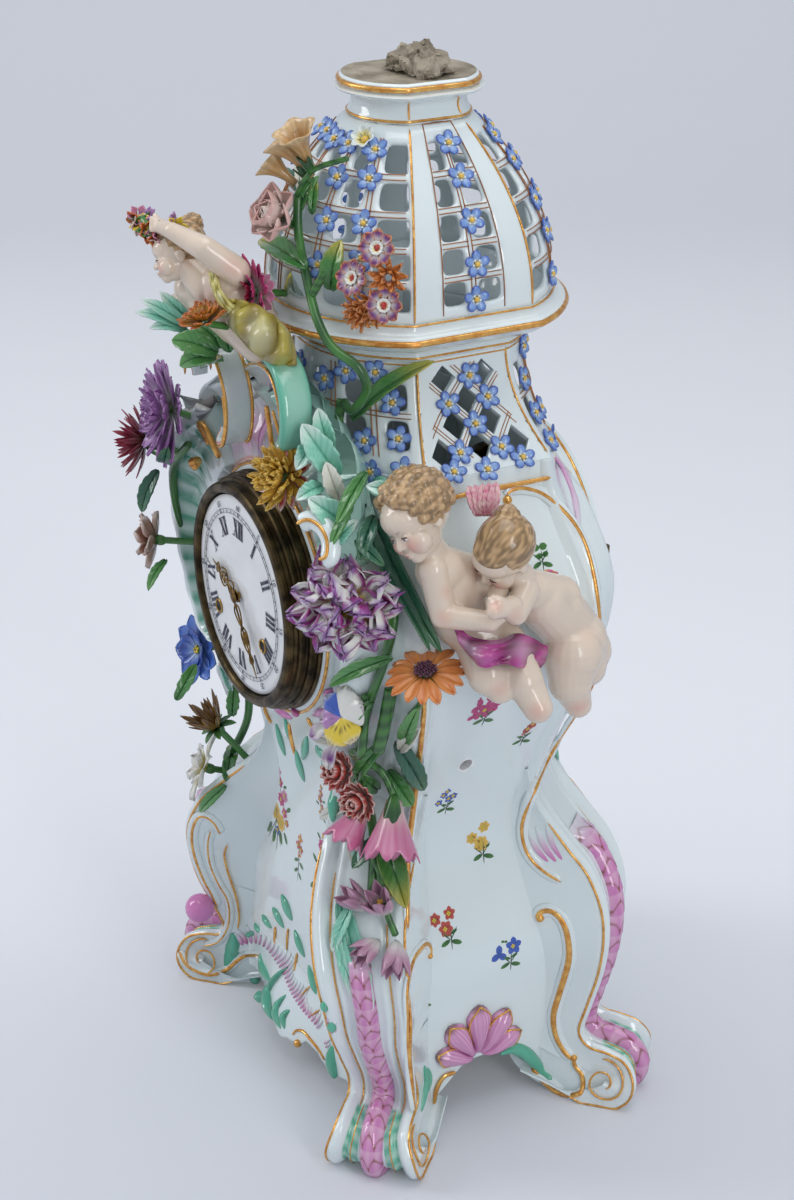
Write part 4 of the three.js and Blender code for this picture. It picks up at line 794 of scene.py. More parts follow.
def makeCollar():
    top, plate = domeLook["top"], domeLook["plate"]
    levels = moulding(top, [(-3.4, 463.0), (-0.1, 463.2), (0.1, 464.4)])
    for step in range(13):
        share = step / 12
        pull = -2.0 * math.sin(math.pi * clamp(share * 1.1)) + 5.0 * smooth((share - 0.62) / 0.38)
        levels.append((grown(sizeBetween(top, plate, 0.25 * share), pull), 465.0 + 10.0 * share))
    levels += moulding(plate, [(-0.4, 476.0), (0.2, 477.0), (0.1, 479.2), (-0.8, 480.0)])
    ringLoft("dome_collar", levels, 160, porcelain, "porcelain")
    edge = grown(plate, -0.8)
    flat = [(edge, 480.0)]
    for share in (0.8, 0.6, 0.4, 0.2, 0.02):
        flat.append((tuple(value * share for value in edge), 480.15 - 0.2 * (1 - share)))
    ringLoft("bare_plate", flat, 96, bareClay, "bare_clay")


makeLattices()
makeNeckSides()
makeCornice()
makeCollar()
print("dome and neck made")


# Gold lines of the case, neck and dome

def makeGoldLines():
    bm = newPiece()
    cornice, foot, neck, top, plate = (domeLook[key] for key in ("cornice", "foot", "neckTop", "top", "plate"))
    rings = [(cornice, 382.9, 0.15, 1.45), (foot, 389.4, 0.5, 0.5), (neck, 371.8, 1.5, 0.5),
             (neck, 368.6, 0.1, 0.35),
             (top, 464.2, 0.15, 0.6), (plate, 477.6, 0.2, 1.2)]
    for size, height, grow, radius in rings:
        line = [roundBowl(size, height, step / 120, grow) for step in range(121)]
        tube(bm, line, radius, tones["yellow"], 8, 0, 1.0, (0, 0, 1), 0)
    for corner in range(4):
        for size, heights, grow, radius, count in (
            (domeSize, range(390, 465, 3), lambda z: 0.1, 0.5, 60),
            (neckSize, range(328, 371, 3), lambda z: 0.1, 0.5, 40),
            (lambda z: top, range(465, 475, 2), lambda z: -1.6 * math.sin((z - 465) / 9 * math.pi) + 0.1, 0.4, 16),
        ):
            arris = [mirroredPoint(bowlPoint(size(z), z, 1.0, grow(z)), corner) for z in heights]
            tube(bm, arris, radius, tones["yellow"], 8, count)
    finishPiece("dome_gilding", bm, gilding, "gilt_brass")


makeGoldLines()


# Scroll legs on the chamfered corners

legLook = {
    "rear": [(66, 172), (69, 157), (75, 145), (85, 132), (96, 120), (104, 104), (106, 88), (104, 70), (99, 50),
             (96, 36)],
    "front": [(66, 172), (69, 157), (76, 145), (88, 133), (102, 118), (111, 100), (113, 84), (110, 66), (104, 50),
              (99, 36)],
    "roll": [(101, 28), (110, 25.6), (119, 22), (123.3, 14), (121, 6), (114, 1.2), (104, 0.6), (96, 4), (84, 9),
             (70, 13)],
    "rollCentre": (110.5, 13.0), "web": [(55, 56), (57, 36), (61, 20), (68, 9), (82, 1.6), (97, 0.8)],
    "inside": 58.0, "half": 22.0, "footHalf": 22.0,
    "ankleHalf": 16.5, "ankleHeight": 28,
    "centre": (90.0, 61.0), "tailRows": 19, "steps": 150,
}


def legShift(height):
    width, _, depth = caseSize(height)
    foot = (legLook["centre"][0] - legLook["centre"][1]) / math.sqrt(2)
    return blendOf(foot, (width - depth) / math.sqrt(2), smooth(height / 75))


class Leg:
    def __init__(self, corner):
        self.signX, self.signY = ((1, 1), (-1, 1), (-1, -1), (1, -1))[corner]
        line = legLook["front" if self.signY < 0 else "rear"] + legLook["roll"]
        self.line = spread([(out, height, 0) for out, height in line], legLook["steps"])
        self.webLine = spread([(out, height, 0) for out, height in legLook["web"]], 40)

    def at(self, v):
        place = clamp(v) * legLook["steps"]
        first = min(int(place), legLook["steps"] - 1)
        return self.line[first].lerp(self.line[first + 1], place - first)

    def outward(self, v):
        ahead = self.at(v + 0.01) - self.at(v - 0.01)
        return Vector((-ahead.y, ahead.x, 0)).normalized()

    def half(self, height):
        ankle, narrow = legLook["ankleHeight"], legLook["ankleHalf"]
        if height < ankle:
            return blendOf(legLook["footHalf"], narrow, smooth((height - 8) / (ankle - 8)))
        return blendOf(narrow, legLook["half"], smooth((height - ankle) / 80))

    def world(self, out, across, height):
        scale = math.sqrt(0.5)
        shifted = across + legShift(height)
        return Vector(((out + shifted) * scale * self.signX, (out - shifted) * scale * self.signY,
                       max(height, 0.15)))

    def relief(self, a, v):
        wide = abs(a)
        rolled = smooth((v - 0.6) / 0.1)
        fade = smooth((v - 0.02) / 0.16)
        rib = 2.6 * bump(wide, 0.83, 0.21) - 1.1 * bump(wide, 0.6, 0.09) + 0.5 * bump(wide, 0.47, 0.12)
        return fade * rib + rolled * 1.4 * bump(wide, 1.0, 0.2)

    def face(self, a, v, lift=0.0):
        spot = self.at(v)
        raised = spot + self.outward(v) * (self.relief(a, v) + lift)
        return self.world(raised.x, a * self.half(spot.y), raised.y)

    def wall(self, a, v, depth):
        spot = self.at(v)
        goal = Vector((legLook["inside"], spot.y, 0))
        if v > 0.6:
            goal = goal.lerp(Vector((*legLook["rollCentre"], 0)), smooth((v - 0.6) / 0.05))
            goal = goal.lerp(spot, smooth((v - 0.88) / 0.03))
        inner = spot.lerp(goal, depth)
        edge = spot + self.outward(v) * self.relief(a, v) * (1 - depth)
        across = a * self.half(spot.y) * (1 - 0.04 * math.sin(depth * math.pi))
        return self.world(inner.x + (edge - spot).x, across, inner.y + (edge - spot).y)

    def web(self, side, u, v):
        # the flat wall between the foot's roll and the apron
        edge = self.at(0.47 + 0.29 * v)
        spot = edge.lerp(self.webLine[int(v * 40 + 0.5)], u)
        return self.world(spot.x, side * self.half(edge.y) * 0.945, spot.y)


def makeLeg(name, corner):
    leg = Leg(corner)
    bm = newPiece()

    def place(u, v):
        if u < 0.16:
            return leg.wall(-1, v, 1 - u / 0.16)
        if u > 0.84:
            return leg.wall(1, v, (u - 0.84) / 0.16)
        return leg.face((u - 0.5) / 0.34, v)

    def tone(u, v):
        a = abs(u - 0.5) / 0.34
        if v > 0.66 and 0.30 < a < 0.66:
            return tones["seaGreen"].lerp(tones["paleGreen"], 0.5 + 0.5 * math.sin(v * 220 + a * 14))
        # painted shade with grime: the face is greyed along its groove at a = 0.6
        return tones["white"].lerp(tones["shadeAndGrime"], 0.35 * bump(a, 0.6, 0.1) * smooth((v - 0.1) / 0.2))

    closeUp(bm, surface(bm, 100, legLook["steps"], place, tone))
    for side in (-1, 1):
        surface(bm, 6, 40, lambda u, v: leg.web(side, u, v), tones["white"])
    finishPiece(name + "_scroll", bm, porcelain, "porcelain", replaces=[name], turnOut=True)
    bm = newPiece()
    start = 0.17 if leg.signY > 0 else 0.29
    end = 0.9

    def tailPlace(u, v):
        a = (u - 0.5) * 2
        along = blendOf(start, end, v)
        opened = smooth(v / 0.05)
        row = v * legLook["tailRows"]
        scale = 0.35 * (row % 1.0)
        lift = -1.2 + (6.6 + scale) * math.sqrt(clamp(1 - a * a)) * (0.35 + 0.65 * opened)
        broad = 0.30 + 0.05 * smooth((v - 0.8) / 0.1) + 0.22 * (1 - smooth(v / 0.10)) * (leg.signY > 0)
        spot = leg.at(along)
        raised = spot + leg.outward(along) * lift
        return leg.world(raised.x, a * broad * 19.0, raised.y)

    def tailTone(u, v):
        row = v * legLook["tailRows"]
        a = (u - 0.5) * 2
        shift = 0.5 * (int(row) % 2)
        cell = ((a + shift + 8) % 1.0 - 0.5) * 2
        part = row % 1.0
        arc = 0.62 - 0.5 * (1 - cell * cell)
        ink = clamp(1.25 - abs(part - arc - 0.25) / 0.075)
        dot = clamp(1.3 - math.hypot((part - 0.82) / 0.17, (abs(cell) - 1.0) / 0.14))
        dot += clamp(1.3 - math.hypot((part - 0.30) / 0.10, cell / 0.10)) * 0.6
        base = tones["pink"].lerp(tones["palePink"],
                                  0.35 * (0.5 + 0.5 * math.sin(a * 9 + row)) + 0.45 * clamp(1 - part * 1.4))
        base = base.lerp(tones["white"], 0.7 * (1 - smooth(v / 0.08)))
        return base.lerp(tones["brown"], clamp(ink * 0.75 + dot) * smooth(v / 0.04))

    closeUp(bm, surface(bm, 28, 260, tailPlace, tailTone))
    finishPiece(name + "_tail", bm, porcelain, "pink_enamel", turnOut=True)
    bm = newPiece()
    for sign in (-1, 1):
        for a, radius, first, last in ((0.61, 0.42, 0.16, 0.66), (1.0, 0.62, 0.12, 0.9), (0.47, 0.3, 0.66, 0.9)):
            line = [leg.face(sign * a, blendOf(first, last, step / 50), 0.05) for step in range(51)]
            tube(bm, line, radius, tones["yellow"], 8, 120)
        curl = []
        middle = Vector((*legLook["rollCentre"], 0))
        for step in range(40):
            share = step / 39
            angle = math.radians(100) - share * math.radians(520)
            radius = 11.0 - 8.5 * share
            spot = middle + Vector((math.cos(angle), math.sin(angle), 0)) * radius
            curl.append(leg.world(spot.x, sign * (leg.half(spot.y) + 0.1), spot.y))
        tube(bm, curl, 0.55, tones["yellow"], 8, 90)
    finishPiece(name + "_gilding", bm, gilding, "gilt_brass")
    return leg


legNames = ("leg_rear_right", "leg_rear_left", "leg_front_left", "leg_front_right")
legs = [makeLeg(name, corner) for corner, name in enumerate(legNames)]
print("legs made")


# Aprons that swell out between the feet, at the front and at the rear

apronLook = {"face": -58.3, "fade": 36, "half": 50.0, "top": 48.0, "swell": 13.0, "reach": 56.0, "thick": 3.0,
             "edge": [(0, 12.5), (8, 15.5), (15, 16.5), (20, 20.5), (27, 19), (32, 15.5), (36, 10.5), (41, 12.5),
                      (50, 14)]}


def apronPlace(u, v):
    x = blendOf(-apronLook["half"], apronLook["half"], u)
    a, b = next(pair for pair in zip(apronLook["edge"], apronLook["edge"][1:]) if abs(x) <= pair[1][0])
    low = blendOf(a[1], b[1], smooth((abs(x) - a[0]) / (b[0] - a[0])))
    height = blendOf(low, apronLook["top"], v)
    swell = apronLook["swell"] * bump(x, 0,
                                      apronLook["reach"]) * smooth((apronLook["top"] - height) / apronLook["fade"])
    return Vector((x, apronLook["face"] - swell, height))


def makeAprons():
    bm = newPiece()
    for side in (1, -1):
        surface(bm, 100, 30, lambda u, v: (apronPlace(u, v) + Vector((0, 1.4, 0))) * Vector((1, side, 1)),
                tones["white"])
    finishPiece("apron_swells", bm, porcelain, "porcelain",
                modifiers=[("SOLIDIFY", {"thickness": apronLook["thick"] * mm, "offset": 0.0})])


makeAprons()


# Everything that carries applied work, as one skin to seat it on

def bodySkinTree():
    bm = newPiece()
    surface(bm, 192, 110, casePlace, tones["white"])

    def bowl(sizes, low, high):
        def place(u, v):
            height = blendOf(low, high, v)
            return roundBowl(sizes(height), height, u)
        surface(bm, 96, 30, place, tones["white"])

    bowl(neckSize, caseLook["top"], domeLook["neckHigh"])
    bowl(domeSize, domeLook["footHeight"], domeLook["topHeight"])
    bowl(lambda height: domeLook["cornice"], 381.0, 385.0)
    surface(bm, 64, 4, lambda u, v: aroundDial(58, blendOf(-70, -50, v), tau * u), tones["white"])
    surface(bm, 64, 2, lambda u, v: aroundDial(47 + 11 * v, -70, tau * u), tones["white"])
    for leg in legs:
        surface(bm, 24, 60, lambda u, v: leg.face((u - 0.5) * 2, v), tones["white"])
        for side in (-1, 1):
            surface(bm, 8, 60, lambda u, v: leg.wall(side, v, u), tones["white"])
            surface(bm, 6, 40, lambda u, v: leg.web(side, u, v), tones["white"])
    surface(bm, 60, 16, apronPlace, tones["white"])
    return skinOf(bm)


bodySkin = bodySkinTree()
eye = Vector(view["place"]) / mm
eyeRight = Vector((math.cos(view["azimuth"]), math.sin(view["azimuth"]), 0))
eyeBack = Vector((math.sin(view["azimuth"]) * math.cos(view["pitch"]),
                  -math.cos(view["azimuth"]) * math.cos(view["pitch"]), math.sin(view["pitch"])))
eyeUp = eyeBack.cross(eyeRight)


def sight(px, py):
    wide, high = view["picture"]
    focal = high * view["lens"] / view["film"]
    return (eyeRight * (px - wide / 2) + eyeUp * (high / 2 - py) - eyeBack * focal).normalized()


def seat(px, py, lift=0.0):
    # the point of the body that this place of the picture shows, moved towards the camera by lift
    ahead = sight(px, py)
    hit = bodySkin.ray_cast(eye, ahead)[0]
    if hit is None:
        reaches = range(820, 1180, 4)  # the body lies within these distances of the camera
        hit = eye + ahead * min((bodySkin.find_nearest(eye + ahead * reach)[3], reach) for reach in reaches)[1]
    return hit - ahead * lift


def seatNormal(px, py):
    normal = bodySkin.ray_cast(eye, sight(px, py))[1]
    if normal is None:
        normal = bodySkin.find_nearest(seat(px, py))[1]
    return normal if normal.dot(eyeBack) > 0 else -normal


def onPlane(px, py, axis, value):
    ahead = sight(px, py)
    return eye + ahead * ((value - eye[axis]) / ahead[axis])


# Dial, bezel, hands and their porcelain boss

dialLook = {
    "height": caseLook["dialHeight"], "holeSide": 23.5, "holeHeight": 241.6, "hole": 2.8, "collet": 3.0,
    "numerals": 27.4, "numeralHeight": 8.4, "minutes": 37.6, "rings": (37.5, 39.2), "labels": 40.4,
    "labelSize": 3.6,
    "hourTurn": 9.6, "minuteTurn": 4.75,
}


def ringAbout(radius, y, steps=96, across=0.0, height=dialLook["height"]):
    return [aroundDial(radius, y, tau * step / steps, across, height) for step in range(steps + 1)]


def turned(name, profile, material, slot, replaces=(), sharp=35):
    # a profile of (radius, y) pairs spun round the dial's axis
    bm = newPiece()
    count = len(profile) - 1
    closeUp(bm, surface(bm, 128, count, lambda u, v: aroundDial(*profile[int(v * count + 0.5)], tau * u),
                        tones["white"]))
    finishPiece(name, bm, material, slot, replaces=replaces, turnOut=True, sharp=sharp)


def makeBezel():
    boss = [(56.5, -50.0), (57.2, -62.0), (57.6, -66.5), (56.9, -69.0), (55.6, -70.2), (54.0, -70.4), (52.0, -69.6),
            (50.0, -68.0), (48.0, -60.0)]
    turned("dial_boss", boss, porcelain, "porcelain", sharp=60)
    rings = [(46.0, -60.0), (53.6, -60.0), (54.6, -61.0), (54.6, -71.2), (54.0, -72.0), (53.3, -72.2),
             (53.3, -73.0), (54.1, -73.6), (54.2, -75.4),
             (53.5, -76.2), (52.4, -76.4), (52.2, -77.4), (52.8, -78.0), (52.9, -79.6), (52.2, -80.4),
             (51.0, -80.7), (50.8, -82.2),
             (51.2, -82.8), (51.1, -84.4), (50.2, -85.4), (48.6, -85.9), (47.2, -85.6), (46.4, -84.8),
             (46.2, -83.6), (45.9, -60.0)]
    turned("bezel_steps", rings, bronzedBrass, "bronzed_brass", replaces=["bezel_ring"], sharp=30)
    disc = [(0.01, -84.9), (12, -84.8), (24, -84.55), (36, -84.2), (43, -83.9), (45.3, -83.5), (45.5, -83.0),
            (45.5, -81.8), (0.01, -81.8)]
    turned("dial_disc", disc, dialEnamel, "dial_enamel", replaces=["dial"], sharp=60)
    bm = newPiece()
    tube(bm, ringAbout(56.9, -69.2), 0.8, tones["yellow"], 8, 0, 1.0, (0, 1, 0), 0)
    finishPiece("boss_gilding", bm, gilding, "gilt_brass")


def dialPoint(radius, clock, y):
    # clock is in hours, 12 at the top, as seen from the front
    return aroundDial(radius, y, math.radians(90 - clock * 30))


def dialSurface(radius):
    return -84.93 + 0.5 * (radius / 40) ** 2


def stroke(bm, corners):
    layer = bm.verts.layers.float_color["paint"]
    made = bmesh.ops.create_grid(bm, x_segments=1, y_segments=1, size=0.5)["verts"]
    for vert in made:
        index = (1 if vert.co.x > 0 else 0) + (2 if vert.co.y > 0 else 0)
        vert[layer] = tones["white"]
        vert.co = Vector((corners[index][0], corners[index][1], 0))
    return made


def numeralStrokes(text, height):
    # strokes of a Roman numeral as quads: thick and thin uprights with serifs
    quads, x = [], 0.0
    thick, thin, serif = height * 0.17, height * 0.05, height * 0.05
    for letter in text:
        if letter == "I":
            quads.append([(x, 0), (x + thick, 0), (x, height), (x + thick, height)])
            for base in (0, height - serif):
                quads.append([(x - thin, base), (x + thick + thin, base), (x - thin, base + serif),
                              (x + thick + thin, base + serif)])
            x += thick + height * 0.13
        else:
            wide = height * 0.52
            if letter == "V":
                quads.append([(x + wide * 0.42, 0), (x + wide * 0.42 + thick * 0.8, 0), (x, height),
                              (x + thick, height)])
                quads.append([(x + wide * 0.5, 0), (x + wide * 0.5 + thin, 0), (x + wide - thin, height),
                              (x + wide, height)])
                spots = [(x + thick / 2, height - serif), (x + wide - thin, height - serif)]
            else:
                quads.append([(x + wide - thick, 0), (x + wide, 0), (x, height), (x + thick, height)])
                quads.append([(x, 0), (x + thin, 0), (x + wide - thin, height), (x + wide, height)])
                spots = [(x + thick / 2, height - serif), (x + wide - thin, height - serif), (x + thin / 2, 0),
                         (x + wide - thick / 2, 0)]
            for middle, base in spots:
                quads.append([(middle - thick * 0.8, base), (middle + thick * 0.8, base),
                              (middle - thick * 0.8, base + serif), (middle + thick * 0.8, base + serif)])
            x += wide + height * 0.10
    return quads, x - height * 0.1


def onDial(made, clock, radius, width):
    angle = math.radians(-clock * 30)
    for vert in made:
        local = Vector((vert.co.x - width / 2, vert.co.y + radius))
        x = local.x * math.cos(angle) - local.y * math.sin(angle)
        z = local.x * math.sin(angle) + local.y * math.cos(angle)
        vert.co = Vector((x, dialSurface(Vector((x, z)).length) - 0.06, dialLook["height"] + z))


def makeNumerals():
    bm = newPiece()
    for hour, text in enumerate(("XII", "I", "II", "III", "IIII", "V", "VI", "VII", "VIII", "IX", "X", "XI")):
        quads, width = numeralStrokes(text, dialLook["numeralHeight"])
        made = [vert for quad in quads for vert in stroke(bm, quad)]
        onDial(made, hour, dialLook["numerals"], width)
    for minute in range(60):
        wide, size = (0.32, 1.1) if minute % 5 else (0.7, 1.9)
        onDial(stroke(bm, [(0, 0), (wide, 0), (0, size), (wide, size)]), minute / 5, dialLook["minutes"], 0.32)
    for radius in dialLook["rings"]:
        line = [dialPoint(radius, 12 * step / 96, dialSurface(radius) - 0.05) for step in range(97)]
        tube(bm, line, 0.09, tones["white"], 4, 0, 1.0, (0, 1, 0), 0)
    for five in range(12):
        label = bpy.data.curves.new("minute label", "FONT")
        label.body = str((five * 5) or 60)
        label.size, label.align_x, label.resolution_u = dialLook["labelSize"], "CENTER", 3
        holder = addObject("minute label", label)
        flat = bpy.data.meshes.new_from_object(holder.evaluated_get(bpy.context.evaluated_depsgraph_get()))
        bpy.data.objects.remove(holder)
        before = set(bm.verts)
        bm.from_mesh(flat)
        onDial([vert for vert in bm.verts if vert not in before], five, dialLook["labels"], 0.0)
    turnToFront(bm)
    finishPiece("dial_numerals", bm, ink, "dial_enamel",
                modifiers=[("SOLIDIFY", {"thickness": 0.08 * mm, "offset": 0.0})])


def makeHoles():
    for side, name in ((-1, "left"), (1, "right")):
        across, height = side * dialLook["holeSide"], dialLook["holeHeight"]
        bm = newPiece()
        tube(bm, ringAbout(dialLook["collet"], -84.9, 32, across, height), 0.45, tones["white"], 8, 0, 1.0,
             (0, 1, 0), 0)
        finishPiece("winding_collet_" + name, bm, plainBrass, "brass")
        bm = newPiece()
        hole = surface(bm, 32, 3, lambda u, v: aroundDial(dialLook["hole"] * v, -84.75, tau * u, across, height),
                       tones["white"])
        closeUp(bm, hole)
        finishPiece("winding_hole_" + name, bm, darkHole, "steel")


def makeHand(name, node, body, length, wide, y, turn):
    # pierced hand: an open loop of scrolls with a pointed tip
    bm = newPiece()

    def lay(x, z):
        angle = math.radians(-turn * 30)
        return Vector((x * math.cos(angle) - z * math.sin(angle), y,
                       dialLook["height"] + x * math.sin(angle) + z * math.cos(angle)))

    for sign in (-1, 1):
        loops = [
            [(0, 3), (sign * wide * 0.9, length * 0.16), (sign * wide * 0.55, length * 0.30), (0, length * 0.36)],
            [(0, length * 0.34), (sign * wide, length * 0.45), (sign * wide * 0.8, length * 0.60),
             (0, length * 0.70)],
            [(sign * wide * 0.1, length * 0.50), (sign * wide * 0.55, length * 0.44),
             (sign * wide * 0.4, length * 0.56), (sign * wide * 0.1, length * 0.60)],
            [(sign * wide * 0.2, length * 0.70), (sign * wide * 0.6, length * 0.76),
             (sign * wide * 0.3, length * 0.80), (0, length * 0.78)],
        ]
        for loop in loops:
            tube(bm, [lay(*point) for point in loop], 0.42, tones["white"], 8, 24, 0.8, (0, 1, 0))
    tube(bm, [lay(0, -length * 0.16), lay(0, length * 0.3), lay(0, length * 0.66), lay(0, length)],
         lambda v: 0.75 - 0.45 * v, tones["white"], 8, 40, 0.7, (0, 1, 0))
    tube(bm, [lay(0, length * 0.66), lay(0, length * 0.8), lay(0, length * 0.99)], lambda v: 1.0 - 0.8 * v,
         tones["white"], 8, 20, 0.6, (0, 1, 0))
    blob(bm, (0, y, dialLook["height"]), (3.0, 0.7, 3.0), tones["white"])
    finishPiece(name, bm, agedGilt, "gilt_brass", body=body, replaces=[node])


makeBezel()
makeNumerals()
makeHoles()
makeHand("hour_hand_pierced", "hour_hand", "hour_work", 27.0, 4.2, -86.4, dialLook["hourTurn"])
makeHand("minute_hand_pierced", "minute_hand", "minute_work", 39.0, 3.4, -88.0, dialLook["minuteTurn"])
print("dial made")


# Applied flowers: whorls of petals, each a bent sheet

def petal(bm, at, turn, spin, tone, length, width, lift, curl, start=1.5, rise=0.0, shape="round", ruffle=0.0,
          dish=0.12, seed=0.0, across=6, along=7):
    lift, curl = math.radians(lift), math.radians(curl) or 1e-4
    about = Matrix.Rotation(spin, 3, "Z")

    def place(u, v):
        a = (u - 0.5) * 2
        reach = length
        if shape == "notch":
            reach *= 1 - 0.22 * (1 - abs(a)) ** 2
        elif shape == "teeth":
            reach *= 1 - 0.12 * (0.5 + 0.5 * math.cos(a * 12 + seed))
        phi = lift + curl * v
        out = start + reach * (math.sin(phi) - math.sin(lift)) / curl
        up = rise + reach * (math.cos(lift) - math.cos(phi)) / curl
        if shape == "point":
            wide = min(1.0, 1.9 * (v + 0.06) ** 0.6 * (1 - v) ** 0.75)
        elif shape == "strap":
            wide = (0.45 + 0.55 * v) * math.sqrt(clamp((1 - v) / 0.16))
        else:
            wide = (0.25 + 0.75 * smooth(v / 0.6)) * math.sqrt(clamp((1 - v) / 0.3, 0.02))
        bow = width * dish * a * a * wide
        bow += ruffle * (math.sin(a * 5 + seed * 3) * v * v + 0.5 * math.sin(a * 11 + seed) * v ** 3)
        aside = a * wide * width / 2 + ruffle * 0.3 * math.sin(v * 9 + seed)
        spot = about @ Vector((out - bow * math.sin(phi), aside, up + bow * math.cos(phi)))
        return turn @ spot + Vector(at)

    surface(bm, across, along, place, lambda u, v: tone((u - 0.5) * 2, v, seed))


def petalTone(base, tip, edge=None, vein=None, strength=0.7, lines=11.0):
    def tone(a, v, seed):
        shade = base.lerp(tip, smooth((v - 0.1) / 0.6))
        if edge is not None:
            shade = shade.lerp(edge, clamp(smooth((abs(a) - 0.45) / 0.45) * 0.5 + smooth((v - 0.72) / 0.25)) * 0.9)
        if vein is not None:
            streak = noise.noise(Vector((a * lines * 0.5, v * 1.5, seed * 7.3)))
            shade = shade.lerp(vein, clamp(strength * smooth((streak + 0.1) / 0.35) * (0.35 + 0.65 * v)))
        # painted shade: each petal darker towards its base, in the flower's heart
        return shade * (0.72 + 0.28 * smooth(v / 0.35))
    return tone


def petals(count, length, width, lift, curl, **more):
    # one ring of a flower head
    return dict(count=count, length=length, width=width, lift=lift, curl=curl, **more)


def whorls(bm, at, toward, rings, dice):
    turn = turnTo(toward)
    for ring in rings:
        values = dict(ring)
        count, jitter, span = values.pop("count"), values.pop("jitter", 0.12), values.pop("span", 1.0)
        turnBy = values.pop("turnBy", 0.0)
        for number in range(count):
            angle = tau * span * (number + turnBy) / count + dice.uniform(-jitter, jitter)
            change = dict(values)
            change["length"] = values["length"] * dice.uniform(1 - jitter, 1 + jitter * 0.7)
            change["lift"] = values["lift"] + dice.uniform(-60, 60) * jitter
            petal(bm, at, turn, angle, seed=dice.uniform(0, 9), **change)
    return turn


def heartBeads(bm, at, turn, radius, count, size, tone, dice, rise=1.0):
    for number in range(count):
        angle, reach = number * goldenTurn, radius * math.sqrt((number + 0.5) / count)
        spot = turn @ Vector((reach * math.cos(angle), reach * math.sin(angle), rise + size * dice.uniform(0, 1)))
        blob(bm, Vector(at) + spot, size, tone * dice.uniform(0.75, 1.1), None, 6, 4)


def stalkTo(bm, at, toward, reach, radius=1.7):
    back = Vector(toward).normalized()
    start = Vector(at) - back * 0.5
    hit = bodySkin.find_nearest(Vector(at) - back * reach)[0]
    middle = start.lerp(hit, 0.5) - back * 2
    tube(bm, [start, middle, hit], radius, tones["leaf"], 8, 12, ends=0)


shades = {
    "tan": colour(196, 148, 88), "paleTan": colour(226, 196, 150), "lilac": colour(176, 130, 186),
    "purple": colour(112, 44, 128),
    "violet": colour(150, 96, 176), "crimson": colour(142, 32, 62), "darkRed": colour(92, 22, 34),
    "brownPink": colour(176, 128, 110),
    "umber": colour(94, 60, 34), "olive": colour(130, 104, 50), "cornflower": colour(62, 98, 192),
    "paleBlue": colour(140, 170, 220),
    "ochre": colour(206, 158, 62), "gold": colour(232, 190, 82), "scarlet": colour(186, 44, 44),
    "orange": colour(226, 146, 80),
    "deepOrange": colour(206, 106, 44), "plum": colour(92, 46, 72), "rosePale": colour(228, 208, 200),
    "rose": colour(214, 164, 158),
    "magenta": colour(200, 62, 128), "pinkPetal": colour(212, 138, 172), "tulip": colour(190, 146, 172),
    "tulipDark": colour(142, 88, 118),
    "yellow": colour(232, 206, 70), "lemon": colour(240, 226, 120), "black": colour(28, 22, 30),
    "white": colour(232, 232, 228),
    "coral": colour(196, 82, 72), "drape": colour(184, 172, 84), "magentaCloth": colour(186, 66, 150),
    "ink": colour(52, 40, 84),
}


def finishFlower(name, bm, slot, replaces=(), thick=0.5):
    return finishPiece(name, bm, applied, slot, replaces=replaces, sharp=60,
                       modifiers=[("SOLIDIFY", {"thickness": thick * mm, "offset": 0.0})])


